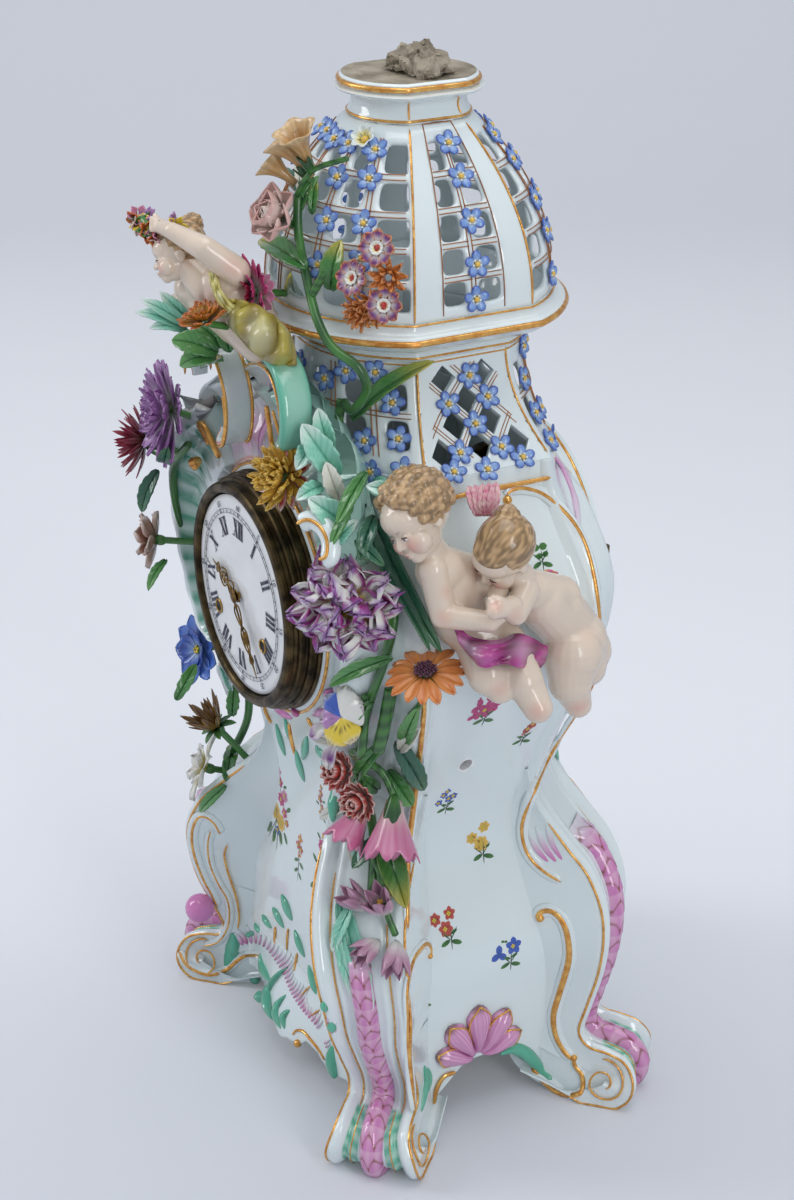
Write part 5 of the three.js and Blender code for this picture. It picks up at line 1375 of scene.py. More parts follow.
def makeOpenFlowers():
    t = shades
    lilacTone = petalTone(t["white"], t["lilac"], None, t["purple"], 0.85)
    redTone = petalTone(t["darkRed"], t["crimson"], None, t["rose"], 0.25)
    brownTone = petalTone(t["umber"], t["brownPink"], t["rosePale"], t["umber"], 0.5)
    asterTone = petalTone(t["white"], t["magenta"], None, t["crimson"], 0.6)
    oliveTone = petalTone(t["olive"], t["umber"], None, t["ochre"], 0.5)
    sepalTone = petalTone(tones["leafDark"], tones["leaf"])

    def carnationTone(a, v, seed):
        stripe = noise.noise(Vector((a * 11, v * 0.8, seed * 7.3)))
        shade = t["yellow"].lerp(t["white"], smooth((v - 0.35) / 0.3))
        shade = shade.lerp(t["purple"].lerp(t["magenta"], 0.35),
                           smooth((stripe + 0.02) / 0.16) * smooth((v - 0.35) / 0.3))
        # painted shade: each petal darker towards its base, in the flower's heart
        return shade.lerp(t["violet"], 0.75 * smooth((v - 0.93) / 0.05)) * (0.75 + 0.25 * smooth(v / 0.35))

    chrysTone = petalTone(t["ochre"], t["gold"], None, t["umber"], 0.35)
    heads = {
        "dahlia": (["dahlia_flower"], "purple_enamel", (-67, -86, 322), (-0.15, -0.97, 0.12), 20, [
            petals(18, 23.8, 8.2, 4, 16, shape="notch", tone=lilacTone, start=2, ruffle=0.5),
            petals(16, 20, 7.5, 18, 22, shape="notch", tone=lilacTone, start=2, rise=1.6, turnBy=0.5, ruffle=0.5),
            petals(13, 15, 6.5, 34, 20, shape="notch", tone=lilacTone, rise=2.8, ruffle=0.5),
            petals(9, 10, 5.5, 52, 14, shape="notch", tone=lilacTone, rise=3.6, ruffle=0.4),
        ], ("yellow", 2.6, 12, 0.8)),
        "aster": (["aster_flower"], "crimson_enamel", (-93, -90, 299), (-0.6, -0.8, 0.0), 18, [
            petals(20, 17, 3.6, 8, 26, shape="point", tone=redTone, jitter=0.16),
            petals(18, 15, 3.4, 26, 24, shape="point", tone=redTone, rise=1.4, jitter=0.16),
            petals(14, 12, 3.2, 46, 20, shape="point", tone=redTone, rise=2.4, jitter=0.16),
            petals(12, 9, 3.4, -38, -30, shape="point", tone=sepalTone, jitter=0.2),
        ], ("ochre", 2.2, 9, 0.8)),
        "left_brown": (["left_brown_flower"], "brown_enamel", (-84, -90, 252), (-0.55, -0.8, 0.12), 16, [
            petals(7, 15, 10, 2, 30, tone=brownTone, ruffle=1.0, jitter=0.2),
            petals(6, 11, 8, 26, 26, tone=brownTone, ruffle=1.0, rise=1.5, turnBy=0.5, jitter=0.2),
            petals(5, 7, 4, 52, 20, shape="point", tone=petalTone(tones["leaf"], t["lemon"]), rise=2),
        ], ("umber", 2.4, 10, 0.8)),
        "cornflower": (["blue_flower"], "blue_enamel", (-73, -75, 195), (0.15, -0.95, 0.22), 18, [
            petals(9, 16.2, 10.9, 4, 10, shape="teeth",
                   tone=petalTone(t["paleBlue"], colour(78, 122, 208), None, t["cornflower"], 0.6), jitter=0.07,
                   along=8, across=8),
            petals(8, 10.4, 7.8, 20, 12, shape="teeth",
                   tone=petalTone(t["paleBlue"], t["cornflower"], None, t["ink"], 0.45), jitter=0.07, rise=0.8,
                   turnBy=0.5),
        ], ("yellow", 1.8, 8, 0.7)),
        "left_lower": (["left_lower_flower"], "brown_enamel", (-60, -73, 158), (-0.15, -0.6, 0.78), 18, [
            petals(11, 17, 4.6, 40, 22, shape="point", tone=oliveTone, jitter=0.16),
            petals(9, 15, 4.2, 60, 14, shape="point", tone=oliveTone, jitter=0.16),
            petals(7, 9, 5, 8, -30, shape="point", tone=sepalTone, jitter=0.2),
        ], ("umber", 2.4, 9, 0.9)),
        "lily": (["lily_flower"], "porcelain", (-68, -76, 132), (-0.4, -0.8, 0.35), 16, [
            petals(6, 15, 8.6, 26, -24, tone=petalTone(t["lemon"], t["white"], None, tones["shadeAndGrime"], 0.3),
                   ruffle=1.2, jitter=0.15),
            petals(5, 10, 7.2, 52, -8, tone=petalTone(t["yellow"], t["white"]), ruffle=0.9, jitter=0.15,
                   turnBy=0.5),
        ], ("gold", 2.0, 8, 0.9)),
        "carnation": (["carnation_flower"], "purple_enamel", (78, -70, 281), (0.72, -0.62, 0.28), 24, [
            petals(13, 24, 14, 4, 14, shape="teeth", tone=carnationTone, ruffle=2.8, jitter=0.16, along=9,
                   across=14),
            petals(12, 20.5, 12, 22, 16, shape="teeth", tone=carnationTone, ruffle=3.0, rise=1.5, turnBy=0.5,
                   jitter=0.2, along=9, across=12),
            petals(10, 17, 10, 40, 18, shape="teeth", tone=carnationTone, ruffle=3.4, rise=2.5, jitter=0.25,
                   along=9, across=12),
            petals(8, 13, 8.5, 58, 14, shape="teeth", tone=carnationTone, ruffle=3.4, rise=3.0, jitter=0.3, along=8,
                   across=10),
        ], None),
        "daisy": (["daisy_flower"], "orange_enamel", (105, -48, 257), (0.2, -0.28, 0.94), 14, [
            petals(15, 14, 5.4, 2, -22, shape="notch",
                   tone=petalTone(t["orange"], t["orange"], None, t["deepOrange"], 0.6), start=3.5, jitter=0.06),
            petals(12, 8, 3.8, -30, -20, shape="point", tone=petalTone(tones["leaf"], t["tan"]), start=1.5,
                   jitter=0.1),
        ], ("plum", 4.8, 44, 0.75)),
        "chrysanthemum": (["chrysanthemum_flower"], "yellow_enamel", (33, -77, 324), (0.38, -0.86, 0.32), 12, [
            petals(13, 13, 6.0, -14, 22, shape="point",
                   tone=petalTone(t["scarlet"], t["scarlet"], t["rosePale"], t["darkRed"], 0.4), start=3,
                   jitter=0.1),
            petals(20, 13, 3.4, 10, 38, shape="notch", tone=chrysTone, start=3, jitter=0.15, ruffle=0.7),
            petals(20, 11, 3.2, 28, 36, shape="notch", tone=chrysTone, start=2.5, rise=1.4, jitter=0.18,
                   ruffle=0.7),
            petals(16, 9, 3.0, 46, 34, shape="notch", tone=chrysTone, rise=2.6, jitter=0.2, ruffle=0.7),
            petals(11, 7, 2.8, 62, 30, shape="notch", tone=chrysTone, rise=3.4, jitter=0.25, ruffle=0.7),
        ], None),
        "rose": (["rose_flower"], "pale_pink_enamel", (9, -64, 427), (0.12, -0.86, 0.5), 12, [
            petals(6, 14, 13, 8, 50, tone=petalTone(t["white"], t["rosePale"], t["rose"]), dish=0.5, jitter=0.14,
                   start=2),
            petals(5, 12, 12, 34, 62, tone=petalTone(t["rosePale"], t["rosePale"], t["rose"]), dish=0.6, rise=1,
                   turnBy=0.5, jitter=0.14, start=2),
            petals(4, 9.5, 10, 58, 58, tone=petalTone(t["rose"], t["rosePale"]), dish=0.7, rise=2, jitter=0.14),
            petals(3, 7.5, 7, 74, 40, tone=petalTone(t["rose"], t["rosePale"]), dish=0.8, rise=2.4, jitter=0.14),
        ], None),
        "pink_aster": (["pink_aster_flower"], "pink_enamel", (7, -76, 397), (0.1, -0.95, 0.2), 14, [
            petals(18, 14.5, 4.4, 10, 24, shape="notch", tone=asterTone, jitter=0.12),
            petals(15, 10.5, 3.4, 30, 24, shape="notch", tone=asterTone, rise=1.2, jitter=0.12),
            petals(11, 8, 3.2, 50, 20, shape="notch", tone=petalTone(t["magenta"], t["crimson"]), rise=2,
                   jitter=0.12),
            petals(9, 8, 5.5, -40, 20, tone=petalTone(tones["leaf"], t["pinkPetal"]), rise=-0.6, jitter=0.05),
        ], ("gold", 2.0, 8, 0.7)),
    }
    for index, (name, (nodes, slot, at, toward, reach, rings, heart)) in enumerate(heads.items()):
        dice = random.Random(40 + index)
        bm = newPiece()
        turn = whorls(bm, at, toward, rings, dice)
        finishFlower(name + "_petals", bm, slot, nodes)
        bm = newPiece()
        if heart:
            tint, radius, count, size = heart
            heartBeads(bm, at, turn, radius, count, size, shades[tint], dice, 1.6)
        blob(bm, Vector(at) - turn @ Vector((0, 0, 1.5)), (2.6, 2.6, 3.4), tones["leaf"], turn)
        stalkTo(bm, at, toward, reach)
        finishPiece(name + "_stalk", bm, applied, "leaf_enamel")


def trumpet(bm, at, toward, length, mouth, tone, lobes=5, throat=1.6, flare=2.2, depth=0.35, spin=0.0, point=0.0):
    turn = turnTo(toward, spin)

    def place(u, v):
        lobe = 0.5 + 0.5 * math.cos(tau * u * lobes)
        radius = throat + (mouth - throat) * v ** flare
        reach = length * v * (1 + point * lobe * v * v)
        radius *= 1 + depth * (lobe - 0.5) * v ** 3
        return turn @ Vector((radius * math.cos(tau * u), radius * math.sin(tau * u), reach)) + Vector(at)

    closeUp(bm, surface(bm, 40, 14, place, lambda u, v: tone(math.cos(tau * u * lobes), v, u * 5)))


def makeTrumpets():
    t = shades
    bm = newPiece()
    tanTone = petalTone(t["tan"], t["tan"], t["paleTan"], t["umber"], 0.25)
    for base, toward, length, mouth in (((13, -52, 444), (-0.35, -0.5, 0.8), 20, 8.5),
                                        ((17, -54, 449), (0.1, -0.45, 0.88), 19, 8.5),
                                        ((6, -56, 440), (-0.5, -0.6, 0.62), 15, 7.0)):
        trumpet(bm, base, toward, length, mouth, tanTone, 5, 1.5, 2.4, 0.3)
    finishFlower("trumpets", bm, "brown_enamel", ["trumpet_flower"])
    bm = newPiece()
    pinkTone = petalTone(t["rosePale"], t["pinkPetal"], None, t["magenta"], 0.45)
    trumpet(bm, (75, -47, 180), (0.42, -0.3, -0.86), 22, 12.5, pinkTone, 8, 3.2, 1.3, 0.12, 0, 0.22)
    trumpet(bm, (63, -54, 176), (0.1, -0.62, -0.78), 19, 9.0, pinkTone, 7, 2.6, 1.4, 0.12, 0.3, 0.22)
    finishFlower("bellflowers", bm, "pink_enamel", ["bell_flower"])
    bm = newPiece()
    for base, toward, length, mouth in (((75, -47, 183), (0.42, -0.3, -0.86), 12, 5.2),
                                        ((63, -54, 179), (0.1, -0.62, -0.78), 9, 4)):
        trumpet(bm, base, toward, length, mouth, petalTone(tones["leaf"], tones["leafDark"]), 5, 1.2, 0.8, 0.4, 0,
                0.5)
    for base, toward, length, mouth in (((13, -52, 442), (-0.35, -0.5, 0.8), 6, 2.6),
                                        ((17, -54, 447), (0.1, -0.45, 0.88), 6, 2.6)):
        trumpet(bm, base, toward, length, mouth, petalTone(tones["leaf"], tones["leafDark"]), 5, 1.2, 0.8, 0.4, 0,
                0.5)
    finishFlower("calyxes", bm, "leaf_enamel")
    tulipTone = petalTone(t["white"], t["tulip"], None, t["tulipDark"], 0.5)
    for name, node, buds in (
        ("tulips", "tulip_flower", (((76, -60, 128), (-0.35, -0.75, 0.62), 17, 5.2),
                                    ((84, -56, 129), (0.25, -0.45, 0.86), 19, 5.4))),
        ("lower_tulips", "lower_tulip_flower",
         (((87, -61, 118), (0.2, -0.85, -0.25), 15, 5.0), ((92, -55, 119), (0.6, -0.4, -0.55), 18, 5.6))),
    ):
        bm = newPiece()
        dice = random.Random(71)
        for base, toward, length, mouth in buds:
            turn = turnTo(toward)
            for number in range(6):
                petal(bm, base, turn, tau * number / 6, tulipTone, length, mouth * 1.5, 50 if number % 2 else 42,
                      52, start=0.8, shape="point", dish=0.5, seed=dice.uniform(0, 9))
            heartBeads(bm, Vector(base) + turn @ Vector((0, 0, length * 0.45)), turn, 1.2, 4, 0.7, t["ochre"], dice)
        finishFlower(name, bm, "purple_enamel", [node])


def makeSmallHeads():
    t = shades
    dice = random.Random(5)
    bm = newPiece()
    stripes = petalTone(t["rosePale"], t["coral"], t["rosePale"], t["scarlet"], 0.8, 5)
    for at, toward, size in (((56, -62, 189), (0.3, -0.86, 0.4), 1.0), ((64, -57, 178), (0.5, -0.8, 0.1), 1.05)):
        turn = turnTo(toward)
        for count, length, lift, rise in ((14, 10, 6, 0), (12, 9.5, 30, 1), (9, 8.5, 54, 1.8), (6, 7.5, 74, 2.2)):
            for number in range(count):
                petal(bm, at, turn, tau * number / count + lift, stripes, length * size, 3.8 * size, lift, 58,
                      rise=rise, dish=0.4, seed=dice.uniform(0, 9))
    finishFlower("red_heads", bm, "red_enamel", ["red_double_flower"])
    bm = newPiece()
    at, toward = (69, -69, 224), (0.35, -0.88, 0.32)
    turn = turnTo(toward, 0.0)

    def pansyTone(main, spots):
        def tone(a, v, seed):
            shade = main.lerp(t["white"], smooth((v - 0.75) / 0.2) * 0.6)
            rays = 0.5 + 0.5 * math.cos(a * 16)
            shade = shade.lerp(t["black"], clamp(spots * rays ** 3 * bump(v, 0.38, 0.2)))
            return shade.lerp(t["black"], 0.8 * bump(v, 0.93, 0.05) * (0.5 + 0.5 * math.sin(a * 30)))
        return tone

    for angle, tint, size, spots in ((90, "white", 1.15, 0.0), (40, "white", 1.1, 0.0),
                                     (150, "cornflower", 1.0, 0.3), (205, "lilac", 0.95, 0.4),
                                     (-45, "yellow", 1.0, 1.0), (-100, "yellow", 1.1, 1.0)):
        petal(bm, at, turn, math.radians(angle), pansyTone(t[tint], spots), 12 * size, 12.5 * size, 12, -18,
              dish=-0.15, ruffle=0.6, start=0.4, across=14, along=12, rise=0.3 * size)
    petal(bm, (66, -69, 214), turnTo((0.2, -0.7, 0.65)), math.radians(-80),
          petalTone(t["white"], t["purple"], t["white"]), 14, 7, 4, -24, dish=0.3, ruffle=0.8)
    petal(bm, (62, -68, 217), turnTo((0.2, -0.7, 0.65)), math.radians(-130),
          petalTone(t["white"], t["white"], t["lilac"]), 12, 7, 14, -24, dish=0.3, ruffle=0.8)
    finishFlower("pansy", bm, "yellow_enamel", ["pansy_flower"])
    bm = newPiece()
    rim = petalTone(t["white"], t["purple"], t["orange"], t["darkRed"], 0.5)
    orangeTone = petalTone(t["deepOrange"], t["orange"], None, t["umber"], 0.5)
    for at, toward in (((57, -44, 424), (0.62, -0.7, 0.36)), ((48, -50, 410), (0.4, -0.84, 0.36)),
                       ((62, -44, 402), (0.75, -0.6, 0.28))):
        turn = turnTo(toward)
        for number in range(8):
            petal(bm, at, turn, tau * number / 8, rim, 5.8, 4.6, 12, -6, start=2.0, rise=2.5, ruffle=0.5,
                  seed=dice.uniform(0, 9))
            petal(bm, at, turn, tau * number / 8 + 0.3, petalTone(t["lemon"], t["white"]), 2.6, 2.8, 50, -30,
                  start=0.8, rise=2.4)
        heartBeads(bm, at, turn, 1.0, 4, 0.8, t["scarlet"], dice, 2.4)
        trumpet(bm, Vector(at) - turn @ Vector((0, 0, 5)), toward, 8, 4.0, orangeTone, 6, 1.4, 1.2, 0.3)
    for at, toward in (((61, -42, 413), (0.8, -0.55, 0.2)), ((56, -46, 400), (0.55, -0.8, -0.1)),
                       ((50, -49, 397), (0.3, -0.9, -0.1))):
        turn = turnTo(toward)
        for count, length, lift in ((9, 7.5, 12), (7, 6.5, 40), (5, 5, 64)):
            for number in range(count):
                petal(bm, at, turn, tau * number / count + lift, orangeTone, length, 3.2, lift, 24, shape="point",
                      ruffle=0.6, seed=dice.uniform(0, 9))
    finishFlower("auriculas", bm, "brown_enamel", ["auricula_flower"])


makeOpenFlowers()
makeTrumpets()
makeSmallHeads()
print("flowers made")


# Leaves and stems, placed by where the picture shows them

leafTones = {
    "green": (colour(34, 84, 44), colour(72, 136, 62), colour(188, 178, 74)),
    "plain": (colour(36, 88, 48), colour(84, 146, 78), colour(104, 160, 90)),
    "dark": (colour(22, 60, 52), colour(44, 100, 76), colour(70, 120, 80)),
    "sea": (colour(74, 160, 134), colour(140, 210, 186), colour(222, 236, 230)),
    "pale": (colour(180, 180, 164), colour(214, 214, 202), colour(226, 226, 218)),
}


def leaf(bm, base, tip, width, arch, kind, teeth=5.0, cup=0.35, roll=0.0):
    base, tip = Vector(base), Vector(tip)
    ahead = (tip - base).normalized()
    out = eyeBack * 0.8 + Vector((0.25, -0.3, 0.35))
    out = Matrix.Rotation(roll, 3, ahead) @ (out - ahead * out.dot(ahead)).normalized()
    side = ahead.cross(out)
    dark, middle, tipTone = leafTones[kind]

    def place(u, v):
        a = (u - 0.5) * 2
        wide = width * 0.5 * min(1.0, 1.75 * (v + 0.03) ** 0.55 * (1.001 - v) ** 0.62)
        wide *= 1 - 0.14 * (teeth > 0) * ((v * teeth) % 1.0)
        bow = arch * math.sin(math.pi * v) + wide * cup * (abs(a) ** 1.5) - 0.7 * bump(a, 0, 0.2)
        bow += 0.35 * math.sin((v * 9 - abs(a) * 2) * tau / 2) * (1 - v)
        return base.lerp(tip, v) + side * a * wide + out * bow

    def tone(u, v):
        a = abs(u - 0.5) * 2
        vein = bump((v * 7 - a * 1.6) % 1.0, 0.5, 0.16) * 0.35 + 0.45 * bump(a, 0, 0.14)
        shade = middle.lerp(tipTone, smooth((v - 0.55) / 0.4) * 0.8 + 0.25 * smooth((a - 0.7) / 0.3) * v)
        return shade.lerp(dark, clamp(vein + 0.55 * (1 - smooth(v / 0.5))))

    surface(bm, 10, 22, place, tone)


def stemTone(u, v):
    return tones["leafDark"].lerp(tones["leaf"], 0.55 + 0.45 * math.sin(v * 31 + u * 6))


def makeVines():
    # name, replaced node, stem lines, leaves as base x, y, lift, tip x, y, lift, width, arch, kind, teeth, roll
    plants = {
        "dome_vine": ([
            ([(8, -56, 438), (14, -59, 421), (27, -61, 402), (38, -62, 390), (47, -60, 382), (57, -54, 376),
              (57, -50, 366), (48, -52, 354), (38, -52, 356)], 2.0),
            ([(38, -52, 356), (38, -54, 345), (40, -58, 334)], 2.1),
            ([(31, -44, 455), (18, -54, 448), (10, -58, 436)], 1.2),
            ([(30, -61, 400), (33, -58, 408), (35, -55, 416)], 1.8),
        ], [
            (306, 268, 12, 260, 240, 14, 13, 3, "green", 6, 0.2),
            (318, 328, 6, 290, 274, 15, 15, 4, "green", 6, 0.0),
            (331, 290, 3, 341, 240, 7, 13, 3, "green", 6, -0.2),
            (352, 420, 9, 434, 361, 9, 11, 4, "green", 0, -0.5), (306, 200, 8, 284, 168, 9, 6, 2, "dark", 5, 0.2),
            (302, 208, 7, 276, 196, 9, 7, 2, "dark", 5, 0.2),
            (298, 214, 7, 318, 176, 6, 6, 2, "plain", 0, -0.3), (312, 214, 4, 316, 180, 5, 5, 2, "green", 0, 0.0),
            (300, 196, 9, 300, 150, 9, 5, 1, "pale", 0, 0.0),
        ]),
        "right_vine": ([
            ([(61, -51, 309), (80, -50, 280), (84, -55, 259), (74, -58, 232), (62, -57, 201), (55, -51, 175),
              (61, -50, 155), (77, -60, 127)], 2.2),
            ([(74, -60, 236), (76, -62, 220), (72, -62, 205), (60, -60, 200)], 2.0),
            ([(82, -52, 240), (81, -55, 222), (77, -56, 208)], 3.0),
            ([(62, -57, 198), (70, -50, 192), (75, -47, 182)], 1.7),
            ([(60, -56, 196), (62, -56, 186), (63, -54, 176)], 1.5),
            ([(61, -50, 155), (72, -56, 140), (76, -60, 128)], 1.6),
            ([(66, -54, 150), (80, -54, 140), (84, -56, 129)], 1.6),
            ([(68, -52, 148), (84, -56, 132), (92, -55, 121)], 1.6),
            ([(44, -56, 322), (52, -58, 312), (46, -64, 300), (52, -62, 296)], 2.2),
            ([(105, -48, 256), (98, -46, 240), (84, -44, 226)], 1.5),
        ], [
            (369, 508, 6, 441, 652, 12, 11, 5, "dark", 0, 0.3), (372, 548, 8, 430, 650, 8, 7, 3, "dark", 0, -0.5),
            (362, 515, 8, 366, 560, 12, 8, 2, "plain", 0, 0.0),
            (392, 658, 8, 330, 686, 12, 9, 4, "plain", 5, 0.2), (384, 742, 8, 352, 786, 8, 9, 3, "plain", 6, 0.2),
            (396, 742, 8, 424, 790, 8, 12, 3, "dark", 6, -0.2),
            (404, 744, 8, 418, 708, 9, 9, 3, "plain", 0, 0.0), (388, 770, 7, 412, 806, 9, 12, 3, "plain", 5, 0.0),
            (372, 702, 9, 352, 726, 10, 6, 2, "plain", 0, 0.3),
            (385, 838, 5, 352, 868, 8, 11, 3, "dark", 5, 0.3), (384, 840, 5, 406, 908, 8, 15, 4, "green", 0, -0.1),
            (357, 812, 6, 358, 868, 8, 7, 2, "sea", 4, 0.4),
            (350, 806, 4, 320, 818, 8, 7, 2, "pale", 0, 0.2), (352, 812, 4, 334, 842, 7, 8, 2, "pale", 0, -0.2),
            (355, 820, 4, 352, 862, 6, 6, 2, "pale", 0, 0.3),
            (400, 750, 9, 420, 728, 9, 8, 2, "pale", 0, 0.0), (340, 745, 7, 314, 736, 10, 8, 2, "pale", 0, 0.2),
            (378, 790, 7, 354, 772, 9, 9, 3, "plain", 5, 0.0),
            (340, 900, 3, 372, 1014, 4, 14, 3, "sea", 6, 0.0), (338, 925, 3, 356, 1000, 3, 9, 2, "sea", 6, 0.2),
            (352, 905, 4, 332, 952, 3, 8, 2, "sea", 6, 0.2),
            (345, 500, 2, 372, 540, 5, 13, 4, "sea", 0, 0.0), (330, 490, 2, 362, 522, 4, 11, 4, "sea", 0, 0.3),
            (372, 482, 2, 392, 498, 3, 11, 3, "sea", 0, 0.0),
        ]),
        "left_vine": ([
            ([(-59, -81, 309), (-84, -80, 285), (-86, -76, 256), (-78, -64, 225), (-67, -56, 192), (-60, -56, 162),
              (-66, -64, 136)], 2.0),
            ([(-80, -70, 300), (-90, -84, 296), (-92, -88, 298)], 1.6),
        ], [
            (158, 470, 2, 142, 512, 2, 10, 3, "dark", 5, 0.2), (166, 462, 2, 168, 446, 2, 9, 3, "dark", 5, 0.2),
            (176, 700, 3, 196, 664, 3, 8, 3, "plain", 4, 0.2),
            (232, 716, 3, 234, 684, 3, 8, 2, "plain", 4, 0.2), (226, 780, 3, 236, 742, 3, 9, 3, "green", 5, 0.2),
            (226, 786, 3, 200, 812, 3, 8, 2, "plain", 5, 0.2),
            (166, 560, 2, 148, 590, 2, 7, 2, "plain", 5, 0.3),
        ]),
        "crest_leaves": ([], [
            (186, 328, 4, 136, 312, 4, 7, 4, "sea", 0, 0.2), (188, 326, 5, 142, 300, 5, 7, 4, "sea", 0, 0.1),
            (190, 322, 6, 160, 292, 6, 7, 4, "sea", 0, 0.0), (188, 332, 3, 150, 328, 3, 7, 4, "sea", 0, 0.3),
            (218, 352, 6, 172, 340, 10, 14, 4, "plain", 6, 0.1),
            (224, 346, 6, 196, 322, 12, 12, 4, "plain", 6, 0.0), (216, 356, 4, 180, 366, 6, 13, 4, "plain", 6, 0.2),
            (230, 352, 6, 226, 326, 10, 10, 3, "plain", 6, -0.1), (222, 360, 4, 206, 372, 6, 9, 3, "plain", 5, 0.2),
        ]),
    }
    for name, (stems, blades) in plants.items():
        bm = newPiece()
        for line, radius in stems:
            tube(bm, line, radius, stemTone, 10, 48, ends=0.02)
        if stems:
            finishPiece(name + "_stem", bm, applied, "leaf_enamel", replaces=[name])
            bm = newPiece()
        for x, y, lift, tipX, tipY, tipLift, width, arch, kind, teeth, roll in blades:
            leaf(bm, seat(x, y, lift), seat(tipX, tipY, tipLift), width, arch, kind, teeth, 0.35, roll)
        finishFlower(name + "_leaves", bm, "leaf_enamel", (), 0.7)


makeVines()
print("leaves made")


# Crest, dial shell and the palmettes at the side panels' feet

def fan(name, node, slot, inner, rim, depth, tone, thickness, cells):
    # a fluted sheet round the dial, from the boss out to a rim of (angle, radius) pairs
    bm = newPiece()
    edge = spread([(angle, radius, 0) for angle, radius in rim], 120)

    def place(u, v):
        at = edge[int(u * 120 + 0.5)]
        radius = blendOf(inner, at.y * (1 + 0.012 * math.cos(u * tau * 9)), v)
        return aroundDial(radius, depth(u, v), math.radians(at.x))

    surface(bm, cells[0], cells[1], place, tone)
    turnToFront(bm)
    finishPiece(name, bm, porcelain, slot, replaces=[node], sharp=60,
                modifiers=[("SOLIDIFY", {"thickness": thickness * mm, "offset": -1.0})])


def ribbon(bm, line, width, thick, tone):
    # a scroll band whose width lies front to back
    path = spread([(x, y, z) for x, y, z in line], 90)

    def section(u, v):
        angle = tau * u
        size = 0.55 + 0.45 * smooth(v / 0.12) * smooth((1 - v) / 0.08)
        a, b = math.cos(angle), math.sin(angle)
        across = thick * size * math.copysign(abs(a) ** 0.6, a)
        deep = width * size * math.copysign(abs(b) ** 0.5, b)
        return across + 0.4 * (abs(deep) / width) ** 2, deep

    sweep(bm, path, section, 28, tone, (0, 1, 0))


def atSeam(u, reach):
    return bump(u, 0.0, reach) + bump(u, 1.0, reach)


